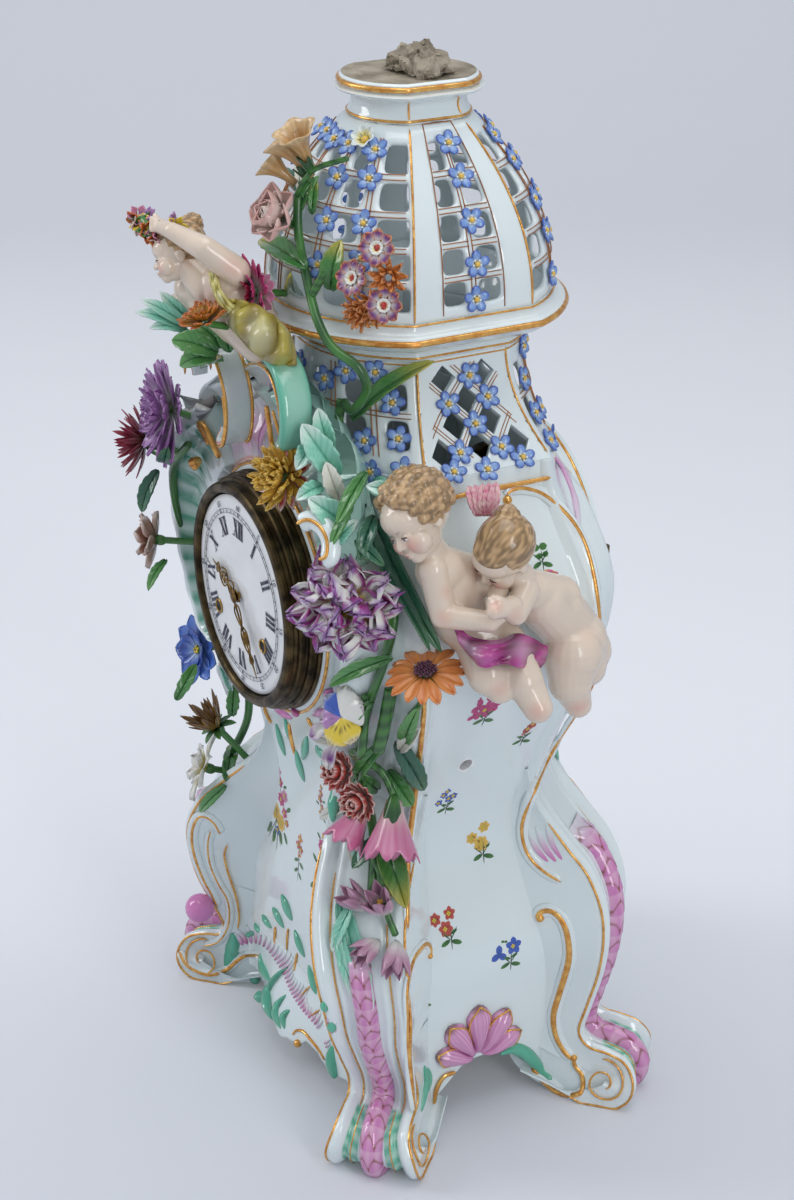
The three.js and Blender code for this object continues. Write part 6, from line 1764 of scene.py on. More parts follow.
def makeCrest():
    t, s = tones, shades
    deepSea = colour(46, 128, 104)

    def crestTone(u, v):
        rib = 0.5 + 0.5 * math.cos(u * tau * 13)
        # painted shade: the sea-green flutes are darker in their hollows and whiter on their ridges towards the
        # boss; the pink flutes are greyer on their ridges
        green = t["seaGreen"].lerp(t["deepGreen"], 0.25 * rib).lerp(t["white"], 0.35 + 0.45 * (1 - rib) * (1 - v))
        rosy = t["white"].lerp(t["pink"], smooth(1 - abs(v - 0.35) / 0.5) * 0.8).lerp(t["shadeAndGrime"], 0.35 * (1 - rib))
        share = smooth((u - 0.42) / 0.12) * (1 - smooth((u - 0.62) / 0.1))
        left = t["white"].lerp(t["deepGreen"], 0.6 * bump(v, 0.7, 0.3)).lerp(t["pink"], 0.4 * bump(v, 0.2, 0.25))
        shade = green.lerp(rosy, share) if u < 0.62 else rosy.lerp(left, smooth((u - 0.62) / 0.1))
        return shade.lerp(s["deepOrange"], 0.75 * bump(v, 0.03, 0.05))

    def crestDepth(u, v):
        rib = 0.5 + 0.5 * math.cos(u * tau * 13)
        return -68.5 + 3.2 * math.sin(v * 2.6) * rib - 2.0 * bump(v, 1.0, 0.12) + 5.0 * bump(v, 0.62, 0.35)

    fan("crest_fan", "crest_shell", "porcelain", 57.8,
        [(36, 68), (45, 83), (62, 90), (78, 92), (90, 93), (106, 93), (121, 95), (133, 100), (143, 94), (153, 78)],
        crestDepth, crestTone, 17.0, (130, 26))

    def shellTone(u, v):
        rib = 0.5 + 0.5 * math.cos(u * tau * 15)
        green = t["seaGreen"].lerp(colour(48, 136, 110), 0.6 * (1 - rib))
        shade = t["white"].lerp(green, smooth((v - 0.12) / 0.35) * (0.92 - 0.62 * rib))
        shade = shade.lerp(t["white"], smooth((v - 0.72) / 0.08))
        return shade.lerp(colour(198, 170, 150), 0.5 * bump(v, 0.99, 0.05))

    def shellDepth(u, v):
        rib = 0.5 + 0.5 * math.cos(u * tau * 15)
        return -72.5 - 6.0 * smooth((v - 0.45) / 0.35) + 2.2 * smooth((v - 0.9) / 0.1) + 1.7 * rib * bump(v, 0.45,
                0.4)

    fan("dial_fan_left", "dial_shell_left", "sea_green_enamel", 60.0,
        [(131, 91), (143, 98), (155, 101), (169, 99), (177, 96), (187, 91), (197, 87), (208, 84), (217, 80),
         (227, 62)],
        shellDepth, shellTone, 19.0, (140, 28))

    bm = newPiece()
    ribbon(bm, [(-52, -78, 343), (-50, -78, 354), (-41, -78, 361), (-29, -78, 363), (-19, -78, 358),
                (-12, -78, 347), (-11, -78, 335), (-15, -78, 325), (-22, -78, 322), (-24, -77, 327)], 6.2, 1.6,
           lambda u, v: t["white"].lerp(s["deepOrange"], 0.85 * atSeam((u + 0.25) % 1.0, 0.1)))
    finishPiece("crest_ribbon_white", bm, porcelain, "porcelain", replaces=["crest_scroll_white"], turnOut=True)
    bm = newPiece()
    ribbon(bm, [(-16, -66, 357), (-6, -68, 366), (6, -70, 371), (18, -72, 372), (30, -73, 369), (38, -74, 361),
                (41, -75, 351), (39, -75, 342), (34, -74, 337)], 7.0, 3.0,
           lambda u, v: t["seaGreen"].lerp(t["paleGreen"], 0.6 * atSeam(u, 0.2)).lerp(deepSea,
                   0.5 * smooth((v - 0.75) / 0.2)))
    finishPiece("crest_ribbon_leaf", bm, porcelain, "sea_green_enamel", replaces=["crest_scroll_leaf"],
                turnOut=True)
    bm = newPiece()
    upper = spread([(-16, -72, 356), (-4, -74, 362), (10, -76, 366), (22, -77, 365), (31, -78, 357),
                    (34, -78, 345)], 60)
    lower = spread([(-12, -70, 343), (-8, -68, 346), (0, -66, 350), (8, -66, 350), (18, -68, 346), (30, -74, 340)],
                   60)

    def lining(u, v):
        step = int(u * 60 + 0.5)
        return upper[step].lerp(lower[step], v) + Vector((0, 5 * math.sin(math.pi * v), 0))

    def liningTone(u, v):
        rosy = t["white"].lerp(t["pink"], smooth((v - 0.15) / 0.5) * smooth(u / 0.5))
        # painted shade: greyer towards the end that lies behind the white scroll
        return rosy.lerp(t["shadeAndGrime"], 0.5 * (1 - smooth(u / 0.35)))

    surface(bm, 60, 12, lining, liningTone)
    finishFlower("crest_lining", bm, "pink_enamel", (), 2.0)
    bm = newPiece()
    for line, radius in ((upper, 0.75), ([(-11.5, -84.5, 347), (-10, -84.5, 335), (-14, -84.5, 324)], 0.7),
                         ([(6, -72, 346), (12, -73, 334), (14, -72.5, 322)], 1.2),
                         ([(10, -71, 345), (19, -71, 332), (21, -71, 322)], 0.8),
                         ([(-50, -75, 309), (-57, -77, 317), (-50, -77, 317), (-42, -74, 305)], 1.5),
                         ([(-62, -76, 294), (-64, -78, 296), (-60, -77, 298)], 2.4)):
        tube(bm, line, radius, t["yellow"], 8, 40)
    for y in (-84.3, -71.8):
        tube(bm, [(-53.8, y, 343), (-51.8, y, 355), (-42, y, 362.6), (-29, y, 364.8), (-17.8, y, 359.2),
                  (-10.2, y, 347.6), (-9.2, y, 335), (-13.6, y, 323.6), (-21, y, 320.2)], 0.75, t["yellow"], 8, 80)
    finishPiece("crest_gilding", bm, gilding, "gilt_brass")
    for side, name in ((1, "side_shell_right"), (-1, "side_shell_left")):
        bm = newPiece()
        rims = []
        for degrees, length, wide in ((-66, 25, 5.4), (-34, 29, 6.0), (0, 31, 6.4), (34, 29, 6.0), (66, 25, 5.4)):
            angle = math.radians(degrees)
            out = Vector((0, math.sin(angle), math.cos(angle)))
            across = Vector((0, math.cos(angle), -math.sin(angle)))

            def lobe(u, v):
                a = (u - 0.5) * 2
                half = wide * (0.28 + 0.72 * smooth(v / 0.75)) * math.sqrt(clamp((1 - v) / 0.22, 0.0005))
                spot = out * (length * (0.12 + 0.88 * v)) + across * a * half
                y, z = -5 + spot.y, caseLook["bottom"] + 15 + spot.z
                swell = 4.6 * (1 - a * a) ** 0.5 * math.sqrt(clamp(v * 3)) * math.sqrt(clamp((1.02 - v) * 3))
                return onSide(y, max(z, 31), 0.4 + swell + bump(a, 0, 0.2) * v, side)

            def lobeTone(u, v):
                ribbed = t["palePink"].lerp(t["pink"], 0.5 + 0.5 * math.cos(u * 40))
                return ribbed.lerp(s["umber"], 0.7 * smooth((v - 0.86) / 0.1)).lerp(t["pink"], 0.5 * (1 - v))

            surface(bm, 14, 26, lobe, lobeTone)
            turns = [step / 24 * math.pi for step in range(25)]
            rims.append([lobe(0.5 + 0.5 * math.sin(turn - math.pi / 2), 0.985 * math.sin(turn) ** 0.4)
                         for turn in turns])
        finishPiece(name + "_lobes", bm, porcelain, "pink_enamel", replaces=[name])
        bm = newPiece()
        for rim in rims:
            tube(bm, rim, 0.5, t["yellow"], 6, 0)
        finishPiece(name + "_gilding", bm, gilding, "gilt_brass")


makeCrest()
print("crest made")


# Figures: joined limbs made one skin, then painted

def deep(px, py, distance):
    ahead = sight(px, py)
    return eye + ahead * (distance / -ahead.dot(eyeBack))


def inView(right, up, back):
    return (eyeRight * right + eyeUp * up + eyeBack * back).normalized()


def moulded(name, bm, slot, voxel, tone, smoothing=5, replaces=()):
    piece = finishPiece(name, bm, skin, slot, replaces=replaces, modifiers=[
        ("REMESH", {"mode": "VOXEL", "voxel_size": voxel * mm, "use_smooth_shade": True}),
        ("SMOOTH", {"factor": 0.5, "iterations": smoothing}),
    ])
    mesh = settled(piece).data
    layer = mesh.color_attributes.get("paint") or mesh.color_attributes.new("paint", "FLOAT_COLOR", "POINT")
    painted = []
    for vert in mesh.vertices:
        painted.extend(tone(vert.co / mm - axisAt))
    layer.data.foreach_set("color", painted)
    return piece


def fleshTone(spots):
    def tone(at):
        shade = tones["skin"].lerp(tones["shadeAndGrime"], 0.10 + 0.10 * noise.noise(at * 0.12))
        for spot, radius, tint, share in spots:
            shade = shade.lerp(tint, share * smooth(1 - (at - spot).length / radius))
        return shade
    return tone


def makeHead(name, at, facing, up, size, hair, voxel=0.42):
    front = Vector(facing).normalized()
    top = (Vector(up) - front * Vector(up).dot(front)).normalized()
    turn = Matrix((front.cross(top), -front, top)).transposed()
    at = Vector(at)

    def put(x, y, z):
        return at + turn @ (Vector((x, y, z)) * size)

    bm = newPiece()

    def lump(x, y, z, a, b, c):
        blob(bm, put(x, y, z), (a * size, b * size, c * size), tones["skin"], turn)

    lump(0, 0.12, 0.16, 0.84, 0.98, 0.92)
    lump(0, -0.26, -0.32, 0.66, 0.66, 0.72)
    lump(0, -0.42, 0.24, 0.66, 0.52, 0.52)
    lump(0, -0.66, -0.82, 0.25, 0.22, 0.2)
    lump(0, -0.89, -0.58, 0.19, 0.11, 0.06)
    lump(0, -0.86, -0.69, 0.15, 0.10, 0.07)
    limb(bm, put(0, -0.84, -0.10), put(0, -0.97, -0.33), 0.06 * size, 0.10 * size)
    for side in (-1, 1):
        lump(side * 0.36, -0.54, -0.44, 0.37, 0.36, 0.36)
        lump(side * 0.09, -0.91, -0.36, 0.08, 0.08, 0.07)
        lump(side * 0.31, -0.74, -0.15, 0.17, 0.14, 0.10)
        lump(side * 0.80, 0.0, -0.22, 0.10, 0.17, 0.24)
    spots = [(put(side * 0.40, -0.80, -0.42), 0.40 * size, tones["blush"], 0.75) for side in (-1, 1)]
    spots += [(put(0, -0.98, -0.635), 0.15 * size, colour(186, 84, 76), 0.9)]
    spots += [(put(side * x, -0.90, 0.02 + z), 0.09 * size, tones["hair"] * 0.6, 0.8) for side in (-1, 1)
              for x, z in ((0.18, 0.02), (0.28, 0.05), (0.38, 0.03), (0.47, -0.02))]
    moulded(name + "_face", bm, "flesh_enamel", voxel, fleshTone(spots), 3)
    bm = newPiece()
    for side in (-1, 1):
        blob(bm, put(side * 0.31, -0.815, -0.16), (0.11 * size, 0.07 * size, 0.055 * size), colour(236, 236, 232),
             turn, 14, 8)
        blob(bm, put(side * 0.30, -0.865, -0.16), (0.045 * size, 0.03 * size, 0.048 * size), colour(60, 78, 104),
             turn, 12, 8)
        tube(bm, [put(side * 0.19, -0.86, -0.13), put(side * 0.30, -0.90, -0.095), put(side * 0.43, -0.82, -0.14)],
             0.022 * size, colour(96, 62, 44), 6, 10)
    finishPiece(name + "_eyes", bm, skin, "flesh_enamel")
    bm = newPiece()
    dice = random.Random(len(name))
    if hair == "curls":
        blob(bm, put(0, 0.20, 0.26), (0.88 * size, 0.96 * size, 0.92 * size), tones["hair"], turn)
        for number in range(150):
            z = 1 - 1.5 * (number + 0.5) / 150
            angle = number * goldenTurn
            x, y = math.sqrt(max(0, 1 - z * z)) * math.cos(angle), math.sqrt(max(0, 1 - z * z)) * math.sin(angle)
            if y > -0.55 - 0.3 * z or z > 0.74:
                blob(bm, put(x * 0.9, 0.18 + y * 0.98, 0.22 + z * 0.93), size * dice.uniform(0.13, 0.2),
                     tones["hair"], None, 10, 6)
    else:
        blob(bm, put(0, 0.24, 0.22), (0.90 * size, 0.98 * size, 0.95 * size), tones["hair"], turn)
        lump(0, -0.28, 0.62, 0.62, 0.5, 0.32)
        x, y, z, radius = hair
        for number in range(26):
            angle = number * goldenTurn
            lift = 1 - 2 * (number + 0.5) / 26
            across = math.sqrt(1 - lift * lift)
            out = turn @ Vector((across * math.cos(angle), across * math.sin(angle), lift))
            blob(bm, put(x, y, z) + out * radius * size * 0.8, radius * size * 0.42, tones["hair"], None, 8, 6)

    def hairTone(spot):
        local = turn.inverted() @ (spot - at) / size
        strand = noise.noise(Vector((local.x * 9, local.y * 2.0, local.z * 9)))
        shade = tones["hair"].lerp(tones["hair"] * 0.45, smooth(0.5 + strand))
        return shade.lerp(colour(226, 200, 160), 0.4 * smooth(-strand))

    moulded(name + "_hair", bm, "flesh_enamel", voxel, hairTone, 2)


def body(name, node, limbs, spots):
    bm = newPiece()
    for first, second in limbs:
        limb(bm, deep(*first[:3]), deep(*second[:3]), first[3], second[3])
    marks = [(deep(x, y, distance), radius, tones["blush"], share) for x, y, distance, radius, share in spots]
    moulded(name, bm, "flesh_enamel", 0.6, fleshTone(marks), 7, [node])


def fingers(limbs, x, y, distance, aheadX, aheadY):
    for number in range(4):
        drop = (number - 1.5) * 3.0
        limbs.append(((x, y + drop * 0.8, distance, 1.5), (x + aheadX, y + aheadY + drop * 1.3, distance - 2, 1.0)))
    limbs.append(((x, y - 3, distance, 1.5), (x + aheadX * 0.6, y + aheadY - 9, distance, 1.1)))


def makeFigures():
    t = tones
    makeHead("nymph", deep(178, 252, 927), inView(-0.97, -0.30, 0.10), inView(-0.30, 0.95, 0.1), 11.2,
             (0.0, 0.82, 0.86, 0.38))
    limbs = [
        ((184, 262, 926, 5.6), (206, 288, 924, 7.0)), ((196, 290, 934, 7.5), (226, 284, 918, 8.0)),
        ((190, 288, 942, 7), (222, 300, 934, 9)),
        ((206, 300, 934, 8.5), (240, 318, 928, 12)), ((224, 288, 922, 9.5), (246, 312, 924, 12)),
        ((240, 316, 926, 12), (262, 336, 930, 12)),
        ((236, 272, 912, 6.6), (205, 249, 906, 5.4)), ((205, 249, 906, 5.4), (172, 231, 912, 3.7)),
        ((172, 231, 912, 3.6), (160, 226, 920, 3.4)),
        ((196, 294, 948, 6), (176, 306, 956, 5)),
    ]
    fingers(limbs, 160, 226, 920, -9, -2)
    body("nymph_body", "nymph", limbs, [(234, 268, 902, 9, 0.5), (190, 262, 918, 4, 0.4), (210, 300, 915, 8, 0.25)])
    bm = newPiece()
    dice = random.Random(12)
    wreath = [deep(136 + 36 * step / 8, 222 + 16 * step / 8 - 5 * math.sin(step), 934 - 2 * step)
              for step in range(9)]
    tube(bm, wreath, 1.6, t["leaf"], 8, 24)
    for number, spot in enumerate(wreath):
        for extra in range(2):
            place = spot + Vector((dice.uniform(-3, 3), dice.uniform(-3, 3), dice.uniform(-3, 3)))
            tint = (shades["deepOrange"], shades["pinkPetal"], shades["rosePale"], t["leaf"], shades["lilac"],
                    shades["yellow"])[(number * 2 + extra) % 6]
            toward = inView(dice.uniform(-1, 1), dice.uniform(-0.6, 1), dice.uniform(0.3, 1))
            turn = turnTo(toward)
            for leafNumber in range(6):
                petal(bm, place, turn, tau * leafNumber / 6, petalTone(tint * 0.7, tint), 4.4, 3.2, 18, 30,
                      dish=0.4, seed=leafNumber, across=4, along=4)
            blob(bm, place + turn @ Vector((0, 0, 1)), 0.9, shades["gold"], None, 8, 5)
    finishFlower("nymph_garland", bm, "orange_enamel", (), 0.4)

    makeHead("boy", deep(416, 516, 888), inView(-0.62, -0.62, 0.42), inView(-0.60, 0.72, 0.28), 15.2, "curls", 0.5)
    limbs = [
        ((424, 540, 890, 6.5), (440, 566, 902, 8)), ((440, 570, 900, 10.5), (470, 576, 912, 9.5)),
        ((452, 580, 906, 11.5), (462, 620, 914, 12)),
        ((462, 620, 914, 12), (488, 640, 918, 12.5)), ((433, 570, 892, 6.4), (443, 616, 898, 5.4)),
        ((443, 616, 898, 5.4), (490, 622, 892, 4.4)), ((490, 622, 892, 4.2), (502, 614, 890, 3.4)),
        ((478, 646, 914, 9.5), (488, 674, 906, 9.0)), ((488, 674, 906, 8.8), (500, 688, 908, 6.6)),
        ((506, 644, 914, 9.0), (524, 682, 908, 8.4)), ((524, 682, 908, 8.0), (538, 708, 908, 6.4)),
        ((470, 580, 908, 6), (500, 588, 902, 4.5)), ((500, 588, 902, 4.5), (494, 604, 892, 3.6)),
    ]
    fingers(limbs, 500, 612, 890, 8, -4)
    body("boy_body", "putto_boy", limbs,
         [(444, 618, 892, 6, 0.35), (500, 690, 900, 7, 0.35), (538, 712, 902, 7, 0.4), (496, 604, 888, 5, 0.4),
          (446, 592, 890, 5, 0.25)])

    makeHead("girl", deep(502, 552, 893), inView(-0.60, -0.74, 0.10), inView(-0.10, 0.50, 0.84), 13.6,
             (0.30, 0.86, 0.66, 0.34), 0.5)
    limbs = [
        ((515, 572, 900, 6.5), (534, 596, 912, 8)), ((530, 590, 908, 9), (560, 596, 924, 9)),
        ((540, 600, 916, 11.5), (566, 626, 934, 12)), ((556, 608, 926, 12), (578, 640, 942, 12.5)),
        ((574, 640, 938, 14.5), (582, 662, 944, 11)), ((572, 652, 932, 13.5), (570, 682, 934, 9.5)),
        ((570, 682, 934, 9.2), (578, 704, 940, 6.0)), ((584, 650, 948, 12), (588, 668, 954, 8)),
        ((526, 590, 900, 5.8), (516, 614, 892, 4.8)), ((516, 614, 892, 4.8), (498, 604, 884, 3.6)),
        ((512, 606, 890, 4.6), (494, 612, 882, 3.2)),
    ]
    fingers(limbs, 498, 602, 883, -9, 3)
    body("girl_body", "putto_girl", limbs,
         [(516, 616, 886, 6, 0.3), (496, 606, 880, 5, 0.5), (578, 706, 934, 7, 0.5), (584, 640, 926, 10, 0.15)])

    def cloth(name, node, slot, rings, tint, dark, thick=1.2, fold=1.0):
        # rings of (x, y, distance) points across the cloth, blended along it
        bm = newPiece()
        rows = [spread([deep(*point) for point in ring], 40) for ring in rings]
        columns = [spread([row[step] for row in rows], 30) for step in range(41)]

        def place(u, v):
            spot = columns[int(u * 40 + 0.5)][int(v * 30 + 0.5)]
            crease = 1 - abs(math.sin(u * 13 + v * 5 + 1.5 * noise.noise(Vector((u * 3, v * 2, fold)))))
            waves = 1.3 * math.sin(u * 21 + v * 4) * math.sin(math.pi * v) + 0.8 * math.sin(v * 17 + u * 9)
            return spot + eyeBack * (waves + (fold - 1) * (2.4 - 4.6 * crease))

        def clothTone(u, v):
            # painted shade: the cloth takes its second tint on one flank of each fold, and paler streaks run across
            # the middle rows
            shade = tint.lerp(dark, 0.5 + 0.5 * math.sin(u * 21 + v * 4 + 2.4))
            return shade.lerp(t["white"], 0.25 * bump(v, 0.5, 0.5) * (0.5 + 0.5 * math.sin(u * 13)))

        surface(bm, 40, 30, place, clothTone)
        finishPiece(name, bm, applied, slot, replaces=node, modifiers=[
            ("SOLIDIFY", {"thickness": thick * mm, "offset": 0.0}), ("SUBSURF", {"levels": 1, "render_levels": 1})])

    magenta, deepMagenta = shades["magentaCloth"], colour(128, 34, 96)
    cloth("boy_wrap", ["putti_drape"], "pink_enamel", [
        [(452, 622, 904), (470, 636, 900), (496, 640, 898), (520, 634, 906), (548, 646, 922)],
        [(458, 640, 900), (474, 652, 892), (498, 654, 890), (522, 650, 900), (546, 660, 920)],
        [(470, 656, 900), (484, 668, 892), (504, 664, 892), (520, 668, 898), (540, 668, 920)],
    ], magenta, deepMagenta, 1.2, 1.35)
    cloth("girl_sash", [], "pink_enamel", [
        [(524, 572, 906), (536, 572, 910), (548, 570, 918), (558, 572, 926)],
        [(524, 584, 906), (536, 582, 910), (548, 580, 918), (558, 584, 926)],
    ], shades["magenta"], shades["orange"], 1.0)
    cloth("nymph_wrap", ["nymph_drape"], "olive_enamel", [
        [(228, 300, 912), (240, 300, 908), (254, 304, 906), (266, 312, 906), (276, 318, 908)],
        [(222, 312, 918), (240, 318, 906), (262, 326, 900), (280, 334, 902), (290, 336, 908)],
        [(226, 322, 922), (244, 336, 906), (266, 346, 900), (284, 352, 902), (296, 352, 908)],
        [(236, 330, 924), (252, 350, 912), (270, 362, 908), (284, 366, 908), (297, 366, 910)],
    ], shades["drape"], colour(140, 122, 40), 2.0, 1.8)
    cloth("nymph_strap", [], "olive_enamel", [
        [(209, 272, 912), (212, 288, 908), (218, 302, 908), (230, 314, 910)],
        [(216, 272, 910), (220, 288, 906), (228, 300, 906), (240, 310, 908)],
    ], colour(214, 206, 130), shades["drape"], 1.0)
    bm = newPiece()
    for number in range(5):
        lift = number * 2.6
        leaf(bm, deep(478 + number * 3, 516, 900), deep(468 + number * 7, 486 - lift * 0.4, 902), 7, 2, "sea", 5,
             0.3, 0.2)
    layer = bm.verts.layers.float_color["paint"]
    for vert in bm.verts:
        vert[layer] = shades["magenta"].lerp(shades["rosePale"], 0.5 + 0.5 * noise.noise(vert.co * 0.6))
    finishFlower("boy_wing", bm, "pink_enamel", (), 0.8)


makeFigures()
print("figures made")


# Raised lines, curls, leaves and painted sprigs, drawn where the picture shows them

def mirrorAll(bm, axis, reach=200.0):
    # the unseen side repeats the seen one, all but what lies further out than reach
    flip = Vector((-1, 1, 1)) if axis == 0 else Vector((1, -1, 1))
    far, waiting = set(), []
    for vert in bm.verts:
        if abs(vert.co[1 - axis]) > reach and vert not in far:
            far.add(vert)
            waiting.append(vert)
            while waiting:
                for edge in waiting.pop().link_edges:
                    for other in edge.verts:
                        if other not in far:
                            far.add(other)
                            waiting.append(other)
    near = [face for face in bm.faces if face.verts[0] not in far]
    corners = list({vert for face in near for vert in face.verts})
    edges = list({edge for face in near for edge in face.edges})
    copy = bmesh.ops.duplicate(bm, geom=corners + edges + near)["geom"]
    for item in copy:
        if isinstance(item, bmesh.types.BMVert):
            item.co = Vector((item.co.x * flip.x, item.co.y * flip.y, item.co.z))
    bmesh.ops.reverse_faces(bm, faces=[item for item in copy if isinstance(item, bmesh.types.BMFace)])


def fromCrop(left, top, scale, points):
    # points read from an enlarged part of the picture
    return [(left + x / scale, top + y / scale) for x, y in points]


def relief(bm, points, width, height, tone, taper=0.0, count=40, lift=0.0):
    # a line ends where the body falls away behind its edge
    kept = [points[0]]
    for point in points[1:]:
        step = math.dist(point, kept[-1])
        if (seat(*point) - seat(*kept[-1])).length > 3 + 1.3 * step:
            if len(kept) > 1:
                break
            kept = []
        kept.append(point)
    if len(kept) < 2:
        return
    outs = [seatNormal(x, y) for x, y in kept]
    line = [seat(x, y) + out * lift for (x, y), out in zip(kept, outs)]
    whole = sum(outs, Vector((0, 0, 0))).normalized()

    def facing(v):
        place = v * (len(outs) - 1)
        first = min(int(place), len(outs) - 2)
        return tuple(outs[first].lerp(outs[first + 1], place - first) + whole * 0.6)

    def radius(v):
        return width * (1 - taper + taper * math.sin(math.pi * clamp(v * 0.96 + 0.02)) ** 0.8)

    tube(bm, line, radius, tone, 10, count, height / width, facing, 0.05)


def leafTint(u, v):
    # deep along the middle, pale at both edges and at the tip
    rib = math.sin(tau * u) ** 2
    shade = gapTones["deep"].lerp(gapTones["sea"], 0.35 + 0.65 * rib)
    return shade.lerp(tones["paleGreen"], 0.45 * (1 - rib) * smooth(v))


def pinkTint(u, v):
    return gapTones["pink"].lerp(tones["white"], 0.55 * smooth(v) + 0.3 * math.sin(tau * u) ** 2)


sideLines = {
    "edge": [(580, 705), (551, 750), (534, 788), (524, 817), (522.6, 836), (529, 855), (543, 870), (562, 882)],
    "edge top": [(508, 499), (506, 495), (511, 490), (524, 488), (546, 495), (568, 518), (583, 544), (592, 576),
                 (597, 610), (597, 640), (592, 680), (580, 705)],
    "neck": [(442, 500), (470, 493), (510, 485), (550, 477)],
    "front edge": [(424, 690), (423, 720), (415.4, 793), (408.8, 849), (407, 900), (406, 930)],
    "curl": [(430, 957), (429, 948), (425, 944), (418, 950), (411, 962), (407, 985), (406.5, 1010), (408.8, 1058),
             (413.7, 1112)],
    "scroll": [(541, 920), (537.5, 917), (542, 911), (552, 911), (562, 920), (568, 936), (569, 960), (560, 992),
               (554, 1014), (556, 1034), (564, 1050), (573, 1060)],
    "foot": [(573, 1056), (576, 1066), (582, 1074), (583.5, 1085), (579, 1093), (564, 1094.5), (548, 1085),
             (532, 1067)],
    "arch": [(433, 1105), (436, 1088), (443, 1076), (455, 1071)],
}
gapTones = {"sea": colour(92, 186, 156), "deep": colour(52, 142, 112), "pink": colour(214, 130, 190),
            "rosy": colour(200, 84, 150)}


def makeSideWork():
    bm = newPiece()
    for name, width in (("edge", 3.0), ("edge top", 3.0), ("scroll", 3.6), ("curl", 2.6), ("front edge", 2.2),
                        ("foot", 2.2)):
        relief(bm, sideLines[name], width, 1.1, tones["white"], 0.0, 70)
    mirrorAll(bm, 0)
    finishPiece("side_mouldings", bm, porcelain, "porcelain")
    bm = newPiece()
    for name, width in (("edge", 0.9), ("edge top", 1.0), ("scroll", 1.5), ("curl", 1.2), ("front edge", 1.3),
                        ("foot", 1.3), ("neck", 1.1), ("arch", 1.2)):
        relief(bm, sideLines[name], width, 0.7, tones["yellow"], 0.25, 70, 1.0)
    for x, y, size in ((507.5, 500, 2.0), (540, 918, 2.0), (430, 956, 1.4), (574, 1058, 1.6)):
        blob(bm, seat(x, y, 0.8), size, tones["yellow"])
    mirrorAll(bm, 0)
    finishPiece("side_gilding", bm, gilding, "gilt_brass")
    bm = newPiece()
    for points, width in (([(497, 1050), (510, 1047), (524, 1052), (540, 1068), (552, 1080)], 3.4),
                          ([(500, 1054), (515, 1050), (530, 1062)], 2.6),
                          ([(424, 1066), (426, 1080), (424, 1096), (421, 1112)], 3.2),
                          ([(427, 1068), (429, 1078), (428, 1092)], 2.0)):
        relief(bm, points, width, 1.6, leafTint, 0.8)
    for points, width in (([(528, 830), (536, 848), (548, 862)], 1.6), ([(536, 826), (544, 846), (556, 862)], 1.8),
                          ([(546, 824), (552, 844), (562, 860)], 1.6)):
        relief(bm, points, width, 0.5, lambda u, v: tones["white"].lerp(gapTones["pink"], smooth(v)), 0.8)
    for number in range(6):
        top = (552 + 3 * number, 452 + 5 * number)
        foot = (571 + 1.6 * number, 486 + 9 * number)
        middle = ((top[0] + foot[0]) / 2 + 3, (top[1] + foot[1]) / 2 - 2)
        relief(bm, [top, middle, foot], 1.9, 0.8, pinkTint, 0.5, 20, 0.1)
    mirrorAll(bm, 0)
    finishPiece("side_leaves", bm, porcelain, "sea_green_enamel")


